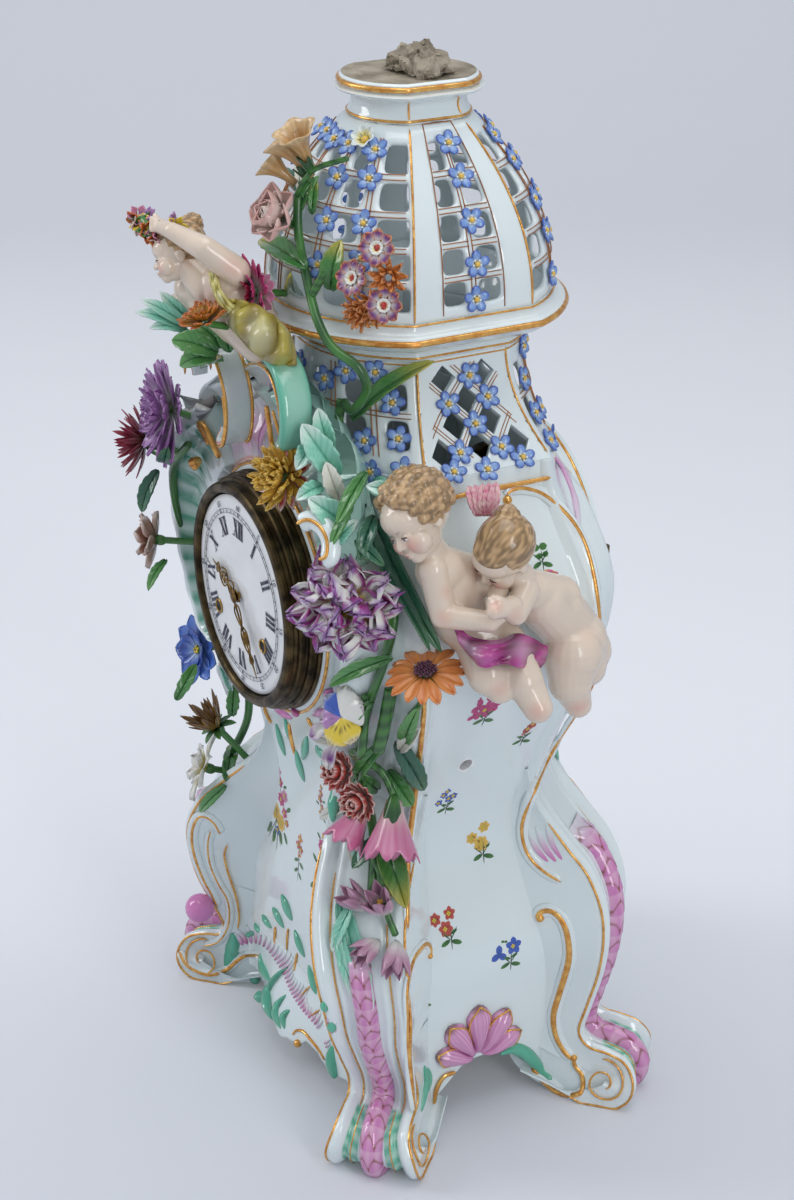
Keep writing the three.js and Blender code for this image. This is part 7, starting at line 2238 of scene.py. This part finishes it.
def makeFrontWork():
    white, sea, pink, gold = newPiece(), newPiece(), newPiece(), newPiece()
    big = lambda points: fromCrop(155, 800, 7.84, points)
    low = lambda points: fromCrop(230, 850, 6.8, points)
    up = lambda points: fromCrop(160, 660, 3.015, points)
    scroll = big([(520, 260), (470, 170), (400, 120), (340, 130), (300, 220), (300, 350), (340, 500), (400, 640),
                  (445, 720), (495, 830), (505, 920), (470, 1000), (400, 1060)])
    inner = big([(440, 230), (420, 350), (440, 500), (500, 640), (570, 760), (590, 880), (570, 1000), (500, 1100),
                 (380, 1140)])
    outer = big([(570, 340), (550, 420), (570, 530), (610, 650), (650, 780), (665, 900), (655, 1000)])
    upper = up([(180, 10), (215, 110), (240, 220), (285, 320), (272, 430), (252, 460), (268, 520), (240, 562),
                (205, 552)])
    foot = big([(190, 1180), (250, 1280), (350, 1340), (450, 1360), (560, 1330), (650, 1250), (720, 1210),
                (800, 1215), (825, 1245)])
    for line, width in ((scroll, 3.2), (inner, 2.6), (upper, 2.6), (foot, 2.6)):
        relief(white, line, width, 1.5, tones["white"], 0.0, 80)
    for line, width in ((scroll, 0.8), (inner, 0.55), (outer, 0.6), (upper, 0.7), (foot, 1.1)):
        relief(gold, line, width, 0.6, tones["yellow"], 0.2, 80, 1.25)
    blob(pink, seat(200, 908, 1.5), (7.6, 7.6, 7.6), gapTones["pink"], None, 28, 18)
    relief(sea, big([(560, 1320), (600, 1200), (635, 1040)]), 4.0, 1.6, gapTones["sea"], 0.8)
    for points, width in (
        ([(350, 300), (385, 380), (425, 480)], 2.8), ([(290, 390), (330, 450), (370, 530)], 1.9),
        ([(220, 440), (250, 480), (285, 530)], 1.4), ([(170, 495), (190, 530), (215, 560)], 1.2),
        ([(110, 575), (135, 570), (165, 560)], 1.2), ([(440, 540), (470, 620), (510, 730)], 2.0),
        ([(535, 780), (560, 860), (590, 985)], 2.0), ([(640, 1030), (650, 1100), (655, 1190)], 1.6),
        ([(690, 1170), (695, 1240), (690, 1310)], 1.6), ([(700, 1330), (700, 1420), (710, 1560)], 2.6),
        ([(205, 700), (230, 790), (280, 905)], 2.4), ([(160, 850), (180, 910), (215, 960)], 2.0),
        ([(200, 960), (205, 1040), (225, 1130)], 2.2),
        ([(400, 800), (330, 850), (270, 950), (250, 1060), (290, 1160)], 2.6),
        ([(385, 985), (330, 1050), (320, 1130), (350, 1220)], 2.0), ([(410, 1090), (370, 1130), (375, 1220)], 1.8),
        ([(20, 560), (25, 640), (10, 740)], 2.2),
    ):
        relief(sea, low(points), width * 1.45, 1.9, leafTint, 0.95, 26, 0.2)
    spine = low([(90, 650), (170, 640), (250, 680), (310, 770), (370, 880), (420, 1000), (480, 1090), (560, 1180),
                 (620, 1260), (660, 1370)])
    spine = spread([(x, y, 0) for x, y in spine], 34)
    for step in range(34):
        at, ahead = spine[step], (spine[step + 1] - spine[step]).normalized()
        reach = 15 + 4 * math.sin(step * 0.7)
        away = Vector((ahead.y, -ahead.x, 0))
        spots = [at, at + away * reach * 0.6 - ahead * 3, at + away * reach - ahead * 7]
        relief(pink, [(spot.x, spot.y) for spot in spots], 1.5, 0.8,
               lambda u, v: gapTones["rosy" if step % 2 else "pink"].lerp(tones["white"], smooth(v)), 0.6, 8, 0.1)
    for points, width in (([(312, 520), (308, 590), (302, 655)], 1.3), ([(400, 530), (392, 600), (384, 690)], 0.9),
                          ([(460, 700), (450, 760), (435, 830)], 1.1), ([(545, 930), (505, 970), (460, 1015)], 1.4),
                          ([(612, 1090), (580, 1112), (552, 1130)], 1.3)):
        relief(gold, low(points), width, 0.5, tones["yellow"], 0.5, 14, 0.4)
    relief(gold, low([(425, 1265), (450, 1235), (500, 1240), (555, 1300), (610, 1370), (650, 1440)]), 1.1, 0.7,
           tones["yellow"], 0.3, 40, 0.6)
    blob(gold, seat(*low([(460, 1315)])[0], 0.6), 2.0, tones["yellow"])
    for points, width, tone in (
        ([(350, 190), (362, 230), (378, 290)], 2.6, "sea"), ([(375, 170), (385, 200), (392, 240)], 2.0, "sea"),
        ([(410, 270), (420, 310), (436, 368)], 3.0, "sea"), ([(445, 230), (440, 260), (430, 300)], 2.4, "sea"),
        ([(470, 255), (480, 275), (500, 290)], 2.0, "sea"), ([(490, 330), (500, 300), (520, 270)], 2.4, "sea"),
        ([(180, 20), (215, 90), (245, 200), (275, 310)], 4.0, "sea"),
        ([(520, 380), (522, 430), (520, 490)], 2.4, "sea"),
        ([(340, 140), (370, 160), (400, 175)], 1.8, "pink"), ([(395, 150), (420, 165), (445, 190)], 1.8, "rosy"),
        ([(460, 165), (480, 160), (500, 150)], 1.6, "pink"), ([(500, 90), (515, 100), (530, 110)], 2.4, "pink"),
    ):
        relief(sea if tone == "sea" else pink, up(points), width * 1.25, 1.4,
               leafTint if tone == "sea" else gapTones[tone], 0.95, 20, 0.2)
    for points, width in (([(315, 140), (325, 165), (338, 190)], 1.3), ([(390, 190), (396, 230), (408, 285)], 1.6),
                          ([(445, 175), (455, 190), (465, 205)], 1.4), ([(500, 165), (512, 180), (510, 200)], 1.6)):
        relief(gold, up(points), width, 0.9, tones["yellow"], 0.5, 20, 0.4)
    for name, bm, material, slot in (
        ("front_scrolls", white, porcelain, "porcelain"), ("front_leaves", sea, porcelain, "sea_green_enamel"),
        ("front_shellwork", pink, porcelain, "pink_enamel"), ("front_gilding", gold, gilding, "gilt_brass"),
    ):
        mirrorAll(bm, 1, 66.0)
        finishPiece(name, bm, material, slot)


# Painted sprigs: thin coats of enamel that follow the glaze

def coat(bm, project, x, y, angle, length, width, tint, second=None):
    turn = math.radians(angle)
    ahead, side = Vector((math.cos(turn), math.sin(turn))), Vector((-math.sin(turn), math.cos(turn)))

    def place(u, v):
        wide = width * 0.5 * min(1.0, 1.9 * (v + 0.02) ** 0.5 * (1.001 - v) ** 0.5)
        flat = ahead * length * v + side * (u - 0.5) * 2 * wide
        return project(x + flat.x, y + flat.y)

    second = second or tint * 0.7
    surface(bm, 4, 5, place, lambda u, v: tint.lerp(second, smooth(1 - v) * 0.8 + 0.2 * bump(u, 0.5, 0.2)))


def sprig(bm, project, x, y, scale, blooms, stems, leaves):
    # blooms as x, y, petals, reach, tint; everything in millimetres round the sprig's middle
    for dx, dy, count, reach, tint in blooms:
        for number in range(count):
            coat(bm, project, x + dx * scale, y + dy * scale, 360 * number / count + dx * 9, reach * scale,
                 reach * 0.75 * scale, shades[tint] if tint in shades else tones[tint])
        if count > 3:
            for number in range(4):
                coat(bm, lambda a, b: project(a, b, 0.16), x + (dx - 0.3) * scale, y + dy * scale, 90 * number,
                     0.8 * scale, 0.7 * scale, shades["yellow"])
    for fromX, fromY, toX, toY in stems:
        angle = math.degrees(math.atan2(toY - fromY, toX - fromX))
        coat(bm, project, x + fromX * scale, y + fromY * scale, angle, math.hypot(toX - fromX, toY - fromY) * scale,
             0.42 * scale, tones["leafDark"])
    for dx, dy, angle, length in leaves:
        coat(bm, project, x + dx * scale, y + dy * scale, angle, length * scale, length * 0.42 * scale,
             tones["leaf"], tones["leafDark"])


def makeSprigs():
    bm = newPiece()
    plain = ([(0, -6, 0.5, 1), (0, -3, -3, 0), (0, -3, 3, 0.5)],
             [(-0.3, -3, 200, 3.6), (0.2, -3.4, -20, 3.8), (0, -1.6, 160, 2.6), (0.4, -1.2, 20, 2.6)])
    for px, py, scale, blooms in (
        (486, 712, 1.0, [(-3, 3, 3, 3.0, "magenta"), (-0.5, 1, 5, 3.2, "magenta"), (3, 2, 3, 2.6, "magenta"),
                         (-4, -0.6, 3, 2.4, "magenta"), (0.6, 4.6, 3, 2.4, "magenta"),
                         (-3.4, 6, 3, 1.0, "magenta")]),
        (524, 734, 0.9, [(2.6, 4.4, 4, 2.2, "coral"), (3.6, 6.4, 4, 1.8, "coral"), (1, 2.4, 4, 2.0, "coral"),
                         (0, 0.8, 3, 1.6, "coral")]),
        (447, 802, 0.85, [(-2, 4, 5, 1.7, "cornflower"), (0.6, 1.6, 5, 2.0, "cornflower"),
                          (-3.6, 0.6, 5, 1.7, "cornflower"), (2.4, 2.4, 5, 1.7, "cornflower"),
                          (-0.6, 5.6, 4, 1.4, "cornflower")]),
        (482, 845, 1.0, [(-0.4, 0.6, 7, 2.8, "gold"), (-3.6, 3.4, 6, 2.2, "gold"), (0.8, 6.4, 6, 2.2, "gold")]),
        (449, 930, 1.0, [(-1.0, 0.6, 6, 2.6, "coral"), (-4.2, 4.0, 6, 2.2, "coral"), (1.2, 4.8, 5, 2.2, "coral")]),
        (510, 954, 1.0, [(-4, 0.8, 3, 3.2, "cornflower"), (1.6, 2.4, 5, 3.0, "cornflower"),
                         (-1.6, 4.6, 2, 1.2, "leaf")]),
        (427, 1002, 0.75, [(1.4, 4.4, 5, 1.8, "gold"), (-1.6, 1.8, 5, 1.8, "gold")]),
        (540, 552, 0.9, [(0, 1.5, 2, 3.0, "leaf"), (0.6, -1, 2, 2.4, "leaf")]),
    ):
        at = seat(px, py)
        sprig(bm, onSide, at.y, at.z, scale * 1.45, blooms, *plain)
    mirrorAll(bm, 0)
    finishPiece("side_sprigs", bm, applied, "porcelain")
    bm = newPiece()
    for px, py, scale, blooms, stems, leaves in (
        (275, 818, 1.15, [(-1.5, 2, 8, 3.6, "gold"), (3, -0.5, 8, 3.4, "gold"), (-3.5, 7, 6, 2.6, "yellow"),
                          (-5.4, 4, 5, 1.6, "cornflower"), (1, -4.6, 5, 1.8, "cornflower"),
                          (2.5, 8.5, 6, 2.8, "magenta"), (5.4, 4.5, 5, 2.2, "magenta"),
                          (5, 11, 6, 2.6, "pinkPetal"), (1.5, 15, 5, 2.2, "magenta"),
                          (0.4, 19, 5, 2.0, "pinkPetal"), (-1, 23, 4, 1.8, "magenta"),
                          (-2, 27, 4, 1.4, "pinkPetal"), (7.6, 1.4, 5, 1.6, "coral")],
         [(0, 0, -3, -12), (0, 0, -6, -11), (1, -1, 1, -13), (0, 0, 4, -10), (2, 10, -1.5, 29)],
         [(-6, -1, 220, 5), (-4, -4, 240, 6), (-1, -5, 260, 6), (3, -4, 290, 5), (6, -3, 310, 4.5), (-7, 3, 160, 4),
          (7, 6, 40, 4), (-3, 10, 130, 3.5), (4, 14, 30, 3), (-2.4, 18, 150, 3)]),
        (317, 806, 0.9, [(0.4, 6, 5, 2.0, "coral"), (-1, 2.4, 5, 2.2, "coral"), (0.6, -1.4, 5, 2.0, "coral"),
                         (-1.4, -5, 4, 1.8, "orange"), (1.2, 9.4, 4, 1.5, "coral")], [(0.6, 9, -1.4, -8)],
                         [(1.4, 2, 30, 3), (-2.4, -1, 170, 3), (1, -6, -30, 3)]),
        (298, 852, 0.95, [(0, 6, 4, 2.4, "orange"), (-1.4, 2.6, 4, 2.4, "coral"), (1.4, 1.4, 4, 2.0, "coral"),
                          (0, -1.6, 3, 1.8, "orange")], [(0, 4, 0, -15)],
                          [(-0.6, -4, 210, 4), (0.8, -5, -20, 4), (-0.4, -8.4, 220, 4), (0.6, -10, -40, 3.4)]),
        (321, 877, 1.15, [(0, 0, 11, 4.8, "magenta"), (-1.6, 10.6, 7, 3.0, "magenta"), (-0.6, 15, 5, 1.8, "orange"),
                          (2.4, -8.6, 5, 2.4, "paleBlue"), (4.4, -6.4, 5, 2.0, "cornflower"),
                          (2.6, -11.6, 4, 1.8, "cornflower")],
         [(0, 16, 0, -16)], [(-4.4, -5, 220, 5), (-2, -8, 240, 5), (5, 4, 40, 4), (-4.6, 3, 150, 4),
                             (2.4, 8, 30, 3.6), (-3, 13, 150, 3), (0, -12, 250, 4)]),
        (248, 887, 0.9, [(-2, 2, 3, 2.8, "coral"), (2, 1, 3, 2.8, "coral")], [(0, 0, 0.6, -5)],
         [(-0.6, -3, 200, 2.6), (1, -3, -20, 2.8)]),
    ):
        at = onPlane(px, py, 1, -56.5)
        sprig(bm, onFront, at.x, at.z, scale * 1.2, blooms, stems, leaves)
    mirrorAll(bm, 1)
    finishPiece("front_bouquets", bm, applied, "porcelain")


# Forget-me-nots on the lattices, and the fine lines on their bars

def forgetMeNot(bm, at, out, dice):
    turn = turnTo(out, dice.uniform(0, 3))
    layer = bm.verts.layers.float_color["paint"]
    dark, light = colour(52, 84, 176), colour(128, 164, 222)
    for number in range(5):
        angle = tau * number / 5 + dice.uniform(-0.08, 0.08)
        lean = turn @ Matrix.Rotation(angle, 3, "Z") @ Matrix.Rotation(-0.22, 3, "Y")
        made = blob(bm, Vector(at) + turn @ Vector((3.5 * math.cos(angle), 3.5 * math.sin(angle), 0.6)),
                    (2.45, 2.15, 0.75), light, lean, 12, 6)
        for vert in made:
            local = turn.inverted() @ (vert.co - Vector(at))
            reach, aside = math.hypot(local.x, local.y), abs(math.sin(math.atan2(local.y, local.x) - angle))
            edge = smooth((reach - 3.6) / 2.2) * 0.8 + 0.7 * smooth((aside * reach - 1.1) / 1.0)
            vert[layer] = tones["white"].lerp(light, smooth((reach - 1.4) / 1.2)).lerp(dark, edge)
    blob(bm, Vector(at) + turn @ Vector((0, 0, 1.1)), (1.25, 1.25, 0.9), shades["gold"], turn, 8, 5)
    for number in range(5):
        angle = tau * (number + 0.5) / 5
        blob(bm, Vector(at) + turn @ Vector((1.7 * math.cos(angle), 1.7 * math.sin(angle), 0.9)), (0.6, 0.6, 0.4),
             tones["white"], turn, 6, 4)


def barRuns(off):
    # both edges of the two bars between a bow's windows
    return [1 + third / 3 + side * off for third in (1, 2) for side in (-1, 1)]


def makeForgetMeNots():
    sets = {
        "dome_side": (0, [(1072, 403), (1112, 512), (1147, 655), (1165, 798), (1163, 912)]),
        "dome_bow": (1, [(835, 425), (712, 515), (815, 520), (677, 655), (797, 665), (790, 930), (650, 800),
                         (680, 362), (703, 390), (750, 405), (660, 350), (790, 780), (590, 440), (600, 500)]),
        "neck_side": (0, [(1140, 1160), (1072, 1255), (1200, 1230), (1160, 1320), (1110, 1415), (1245, 1395),
                          (1315, 1430), (1090, 1478), (1200, 1470)]),
        "neck_bow": (1, [(590, 1115), (672, 1170), (740, 1145), (835, 1150), (890, 1250), (800, 1375), (910, 1370),
                         (820, 1475), (925, 1470)]),
    }
    near = lambda points: fromCrop(120, 20, 3.267, points)
    dice = random.Random(9)
    for name, (axis, spots) in sets.items():
        bm = newPiece()
        for x, y in near(spots):
            forgetMeNot(bm, seat(x, y, 0.3), seatNormal(x, y) * 0.8 + eyeBack * 0.2, dice)
        mirrorAll(bm, axis)
        finishPiece(name + "_forget_me_nots", bm, applied, "blue_enamel")
    bm = newPiece()
    x, y = near([(800, 390)])[0]
    turn = turnTo(seatNormal(x, y))
    for number in range(6):
        petal(bm, seat(x, y, 1.0), turn, tau * number / 6, petalTone(shades["lemon"], tones["white"]), 5, 4, 24, 20,
              dish=0.3, seed=number)
    blob(bm, seat(x, y, 2.4), 1.4, shades["gold"], None, 8, 5)
    finishFlower("dome_white_flower", bm, "porcelain")
    bm = newPiece()
    first, pitch, half = domeLook["first"], domeLook["pitch"], domeLook["windowHeight"] / 2
    for corner in range(4):
        lay = lambda run, z, sizes=domeSize, corner=corner: mirroredPoint(bowlPoint(sizes(z), z, run, 0.12), corner)
        lines = []
        for row in range(domeLook["rows"] - 1):
            for off in (-0.95, 0.95):
                z = first + pitch * (row + 0.5) + off
                lines.append([lay(0.02 + 0.47 * step / 5, z) for step in range(6)])
                lines.append([lay(1.05 + 0.95 * step / 16, z) for step in range(17)])
        for run in (0.035, *barRuns(0.018), 1.985):
            lines.append([lay(run, blendOf(first - half - 1.5, first + pitch * 4 + half + 1.5, step / 24))
                          for step in range(25)])
        lines.append([lay(0.52, blendOf(first - half - 3, 463, step / 24)) for step in range(25)]
                     + [lay(0.52 * (1 - step / 6), 463) for step in range(1, 7)])
        for z in (348.0 - 0.9, 348.0 + 0.9):
            lines.append([lay(1.06 + 0.94 * step / 16, z, neckSize) for step in range(17)])
        for run in barRuns(0.02):
            lines.append([lay(run, blendOf(332, 366, step / 16), neckSize) for step in range(17)])
        for line in lines:
            tube(bm, line, 0.24, tones["white"], 5, 0, ends=0)
    for side in (-1, 1):
        for slope in (-1, 1):
            for shift in (-18, 0, 18):
                for off in (-0.9, 0.9):
                    line = []
                    for step in range(25):
                        z = blendOf(331, 366, step / 24)
                        y = slope * (z - 343 - shift) + off
                        size = neckSize(z)
                        if abs(y) < size[1] - 5:
                            line.append(Vector(((size[0] + 0.12) * side, y, z)))
                    if len(line) > 3:
                        tube(bm, line, 0.22, tones["white"], 5, 0, ends=0)
    finishPiece("lattice_lines", bm, brownGold, "gilt_brass")


def makeRocaille():
    # lobed leaves and a white scroll over the shell's right flank
    bm = newPiece()
    for base, tip, distance, width, kind, teeth in (
        ((338, 476), (302, 424), 902, 15, "sea", 4), ((330, 452), (318, 408), 904, 11, "sea", 5),
        ((348, 526), (308, 498), 898, 14, "sea", 4), ((332, 546), (358, 520), 894, 9, "sea", 3),
        ((340, 500), (326, 462), 899, 10, "pale", 4),
        ((366, 472), (337, 524), 889, 8, "plain", 9), ((352, 505), (330, 548), 893, 6, "plain", 8),
        ((374, 516), (360, 560), 887, 9, "dark", 8), ((398, 494), (366, 486), 886, 9, "sea", 3),
        ((356, 540), (384, 566), 886, 7, "dark", 7),
        ((318, 440), (296, 470), 905, 10, "sea", 4), ((322, 486), (296, 500), 902, 9, "sea", 4),
    ):
        leaf(bm, deep(*base, distance + 4), deep(*tip, distance), width, 3.0, kind, teeth, 0.5)
    finishFlower("rocaille_leaves", bm, "sea_green_enamel", (), 0.8)
    bm = newPiece()
    line = [deep(x, y, distance) for x, y, distance in ((300, 524, 901), (312, 520, 899), (324, 527, 897),
            (331, 541, 895), (330, 556, 894), (322, 560, 895))]
    tube(bm, line, 4.2, tones["white"], 14, 50, 0.7, tuple(eyeBack))
    finishPiece("rocaille_scroll", bm, porcelain, "porcelain")
    bm = newPiece()
    tube(bm, [spot + eyeBack * 2.6 - eyeRight * 1.6 for spot in line], 0.8, tones["yellow"], 8, 50)
    finishPiece("rocaille_gilding", bm, gilding, "gilt_brass")


makeSideWork()
makeFrontWork()
makeRocaille()
makeSprigs()
makeForgetMeNots()
print("gilding and painting made")


# The broken stub, the rear boss and the brass work

def shard(bm, at, size, turn, seed, tint, detail=4):
    # a lump pushed out towards a box, then broken up
    layer = bm.verts.layers.float_color["paint"]
    for vert in bmesh.ops.create_icosphere(bm, subdivisions=detail, radius=1.0)["verts"]:
        square = vert.co / max(abs(vert.co.x), abs(vert.co.y), abs(vert.co.z)) ** 0.85
        spot = Vector((square.x * size[0] / 2, square.y * size[1] / 2, square.z * size[2] / 2))
        rough = noise.noise_vector(spot * 0.2 + Vector((seed * 7.1, 0, 0))) * 2.2
        rough += noise.noise_vector(spot * 0.7 + Vector((0, seed * 3.7, 0))) * 0.9
        crack = noise.noise(spot * 0.5 + Vector((seed, seed, 0)))
        vert[layer] = tint.lerp(colour(92, 84, 72), smooth(crack + 0.2))
        vert.co = turn @ (spot + rough) + Vector(at)


def makeStub():
    low, high = (Vector(corner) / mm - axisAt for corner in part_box("finial_stub"))
    middle = (low + high) / 2
    pale, grey, green = colour(206, 196, 178), colour(150, 144, 134), colour(112, 112, 96)
    bm = newPiece()
    top = low.z + (high.z - low.z) * 0.16
    size = ((high.x - low.x) * 0.86, (high.y - low.y) * 0.8, top - low.z)
    shard(bm, (middle.x, middle.y, (low.z + top) / 2 + 0.3), size, Matrix.Rotation(0.2, 3, "Z"), 1.0, grey, 5)
    for number, (x, y, z, size, angle, tint) in enumerate((
        (-0.30, -0.12, 0.42, (9, 13, 7), 0.5, green), (-0.16, 0.20, 0.52, (8, 10, 8), 1.2, grey),
        (0.02, -0.10, 0.66, (12, 9, 8), 0.1, pale),
        (0.20, 0.12, 0.56, (13, 11, 7), -0.4, pale), (0.32, -0.10, 0.44, (9, 12, 6), 0.9, pale),
        (-0.05, 0.26, 0.40, (10, 7, 6), 0.3, green), (0.10, -0.28, 0.34, (12, 6, 4), -0.2, grey),
    )):
        at = (middle.x + x * (high.x - low.x), middle.y + y * (high.y - low.y), low.z + z * (high.z - low.z))
        shard(bm, at, size, Matrix.Rotation(angle, 3, "Z") @ Matrix.Rotation(angle * 0.5, 3, "X"), number + 2.0,
              tint)
    finishPiece("broken_stub", bm, bareClay, "bare_clay", replaces=["finial_stub"], sharp=35)


def makeMarigold():
    # the brown flower behind the nymph's hip, seen nearly edge on
    bm = newPiece()
    at, dice = deep(205, 322, 912), random.Random(41)
    tone = petalTone(shades["umber"], shades["ochre"], shades["deepOrange"], shades["umber"], 0.5)
    whorls(bm, at, inView(-0.25, 0.75, 0.45), [
        petals(16, 10.5, 3.6, 8, 26, shape="notch", tone=tone, start=1.5, ruffle=0.4),
        petals(13, 8.5, 3.2, 26, 26, shape="notch", tone=tone, rise=1.2, turnBy=0.5, ruffle=0.4),
        petals(9, 6, 2.8, 48, 20, shape="notch", tone=tone, rise=2.0, ruffle=0.4),
    ], dice)
    stalkTo(bm, at, inView(-0.25, 0.75, 0.45), 16, 1.3)
    finishFlower("hip_marigold", bm, "orange_enamel")


def makeRearBoss():
    turned("rear_boss", [(58, 50), (58, 67.6), (57.4, 69.2), (55.8, 70), (47.6, 70), (46.3, 69.3), (46, 68),
                         (46, 50)], porcelain, "porcelain")
    bm = newPiece()
    for radius, y, size in ((57.6, 66.0, 0.9), (51.5, 70.0, 0.6)):
        tube(bm, ringAbout(radius, y), size, tones["yellow"], 8, 0, ends=0)
    finishPiece("rear_boss_gilding", bm, gilding, "gilt_brass")


def refinish():
    # the pieces that stay as they come get the worked metals
    finishes = {
        "front_plate": plainBrass, "back_plate": plainBrass, "winding_barrel_left": plainBrass,
        "winding_barrel_right": plainBrass,
        "centre_wheel": plainBrass, "third_wheel": plainBrass, "escape_wheel": plainBrass, "pallet_anchor": steel,
        "pendulum": plainBrass,
        "strike_bell": bellMetal, "strike_hammer": steel, "case_strap_left": plainBrass,
        "case_strap_right": plainBrass,
        "rear_ring": agedGilt, "rear_cover": plainBrass, "rear_hinge_pin": steel,
    }
    for name, material in finishes.items():
        for slot in bpy.data.objects[name].material_slots:
            slot.material = material


makeStub()
makeMarigold()
makeRearBoss()
refinish()
print("stub, rear boss and brass work made")


# Camera, lights and the pale ground

def backgroundMaterial(name, lit):
    material = bpy.data.materials.new(name)
    material.use_nodes = True
    tree = material.node_tree
    shader = tree.nodes["Principled BSDF"]
    shader.inputs["Base Color"].default_value = lit
    shader.inputs["Roughness"].default_value = 0.9
    shader.inputs["Specular IOR Level"].default_value = 0.1
    # only the camera sees this glow, so the object's light and shadow stay as they are
    path, glow, mix = (tree.nodes.new(kind)
                       for kind in ("ShaderNodeLightPath", "ShaderNodeAttribute", "ShaderNodeMix"))
    glow.attribute_name = "paint"
    mix.data_type = "RGBA"
    mix.inputs["A"].default_value = (0, 0, 0, 1)
    tree.links.new(path.outputs["Is Camera Ray"], mix.inputs["Factor"])
    tree.links.new(glow.outputs["Color"], mix.inputs["B"])
    tree.links.new(mix.outputs["Result"], shader.inputs["Emission Color"])
    shader.inputs["Emission Strength"].default_value = 1.0
    return material


def makeCamera():
    camera = addObject("camera", bpy.data.cameras.new("camera"))
    turn = Matrix((eyeRight, eyeUp, eyeBack)).transposed()
    camera.matrix_world = Matrix.Translation(Vector(view["place"]) + axisAt * mm) @ turn.to_4x4()
    camera.data.lens = view["lens"]
    camera.data.sensor_width = view["film"]
    bpy.context.scene.camera = camera


lamps = {
    "left window": {"at": (-0.9, -1.3, 1.1), "size": (0.5, 1.2), "power": 9.0},
    "right window": {"at": (1.7, 0.1, 1.0), "size": (0.4, 1.2), "power": 8.0},
    "overhead": {"at": (0.1, 0.1, 1.7), "size": (1.2, 1.2), "power": 8.0},
}


def makeLamps():
    target = Vector((0, 0, 0.24))
    for name, lamp in lamps.items():
        data = bpy.data.lights.new(name, "AREA")
        data.shape = "RECTANGLE"
        data.size, data.size_y = lamp["size"]
        data.energy = lamp["power"]
        light = addObject(name, data)
        light.location = lamp["at"]
        light.rotation_euler = (target - light.location).to_track_quat("-Z", "Y").to_euler()


stageLook = {"reach": 2600.0, "depth": 1500.0, "height": 2400.0, "bend": 500.0, "floor": colour(212, 215, 224),
             "sky": colour(219, 223, 229), "world": 0.62, "glow": Vector((0.20, 0.205, 0.20, 1.0))}


def makeStage():
    bm = newPiece()
    reach, depth, height, bend = (stageLook[key] for key in ("reach", "depth", "height", "bend"))
    curve = math.pi * bend / 2

    def place(u, v):
        # a floor, a quarter round and a wall behind the object
        run = v * (2 * depth + curve + height)
        if run < 2 * depth:
            out, up = run - depth, 0.0
        elif run < 2 * depth + curve:
            angle = (run - 2 * depth) / bend
            out, up = depth + bend * math.sin(angle), bend - bend * math.cos(angle)
        else:
            out, up = depth + bend, bend + run - 2 * depth - curve
        return Vector((-eyeRight.y, eyeRight.x, 0)) * out + eyeRight * (u - 0.5) * 2 * reach + Vector((0, 0, up))

    # painted light: the ground's camera-only glow is dim on the floor in front of the object, full under and behind
    # it, and weaker from the far floor up the wall
    surface(bm, 2, 60, place, lambda u, v: stageLook["glow"]
            * (blendOf(0.1, 1.0, smooth((v - 0.2) / 0.1)) - 0.3 * smooth((v - 0.4) / 0.14)))
    backdrop = addObject("backdrop", smoothMesh("backdrop", bm))
    backdrop.data.materials.append(backgroundMaterial("pale ground", stageLook["floor"]))
    world = bpy.data.worlds.new("soft room")
    bpy.context.scene.world = world
    world.use_nodes = True
    sky = world.node_tree.nodes["Background"]
    sky.inputs["Color"].default_value = stageLook["sky"]
    sky.inputs["Strength"].default_value = stageLook["world"]


makeCamera()
makeLamps()
makeStage()
bpy.context.scene.view_settings.view_transform = "Standard"
print("camera, lamps and ground made")
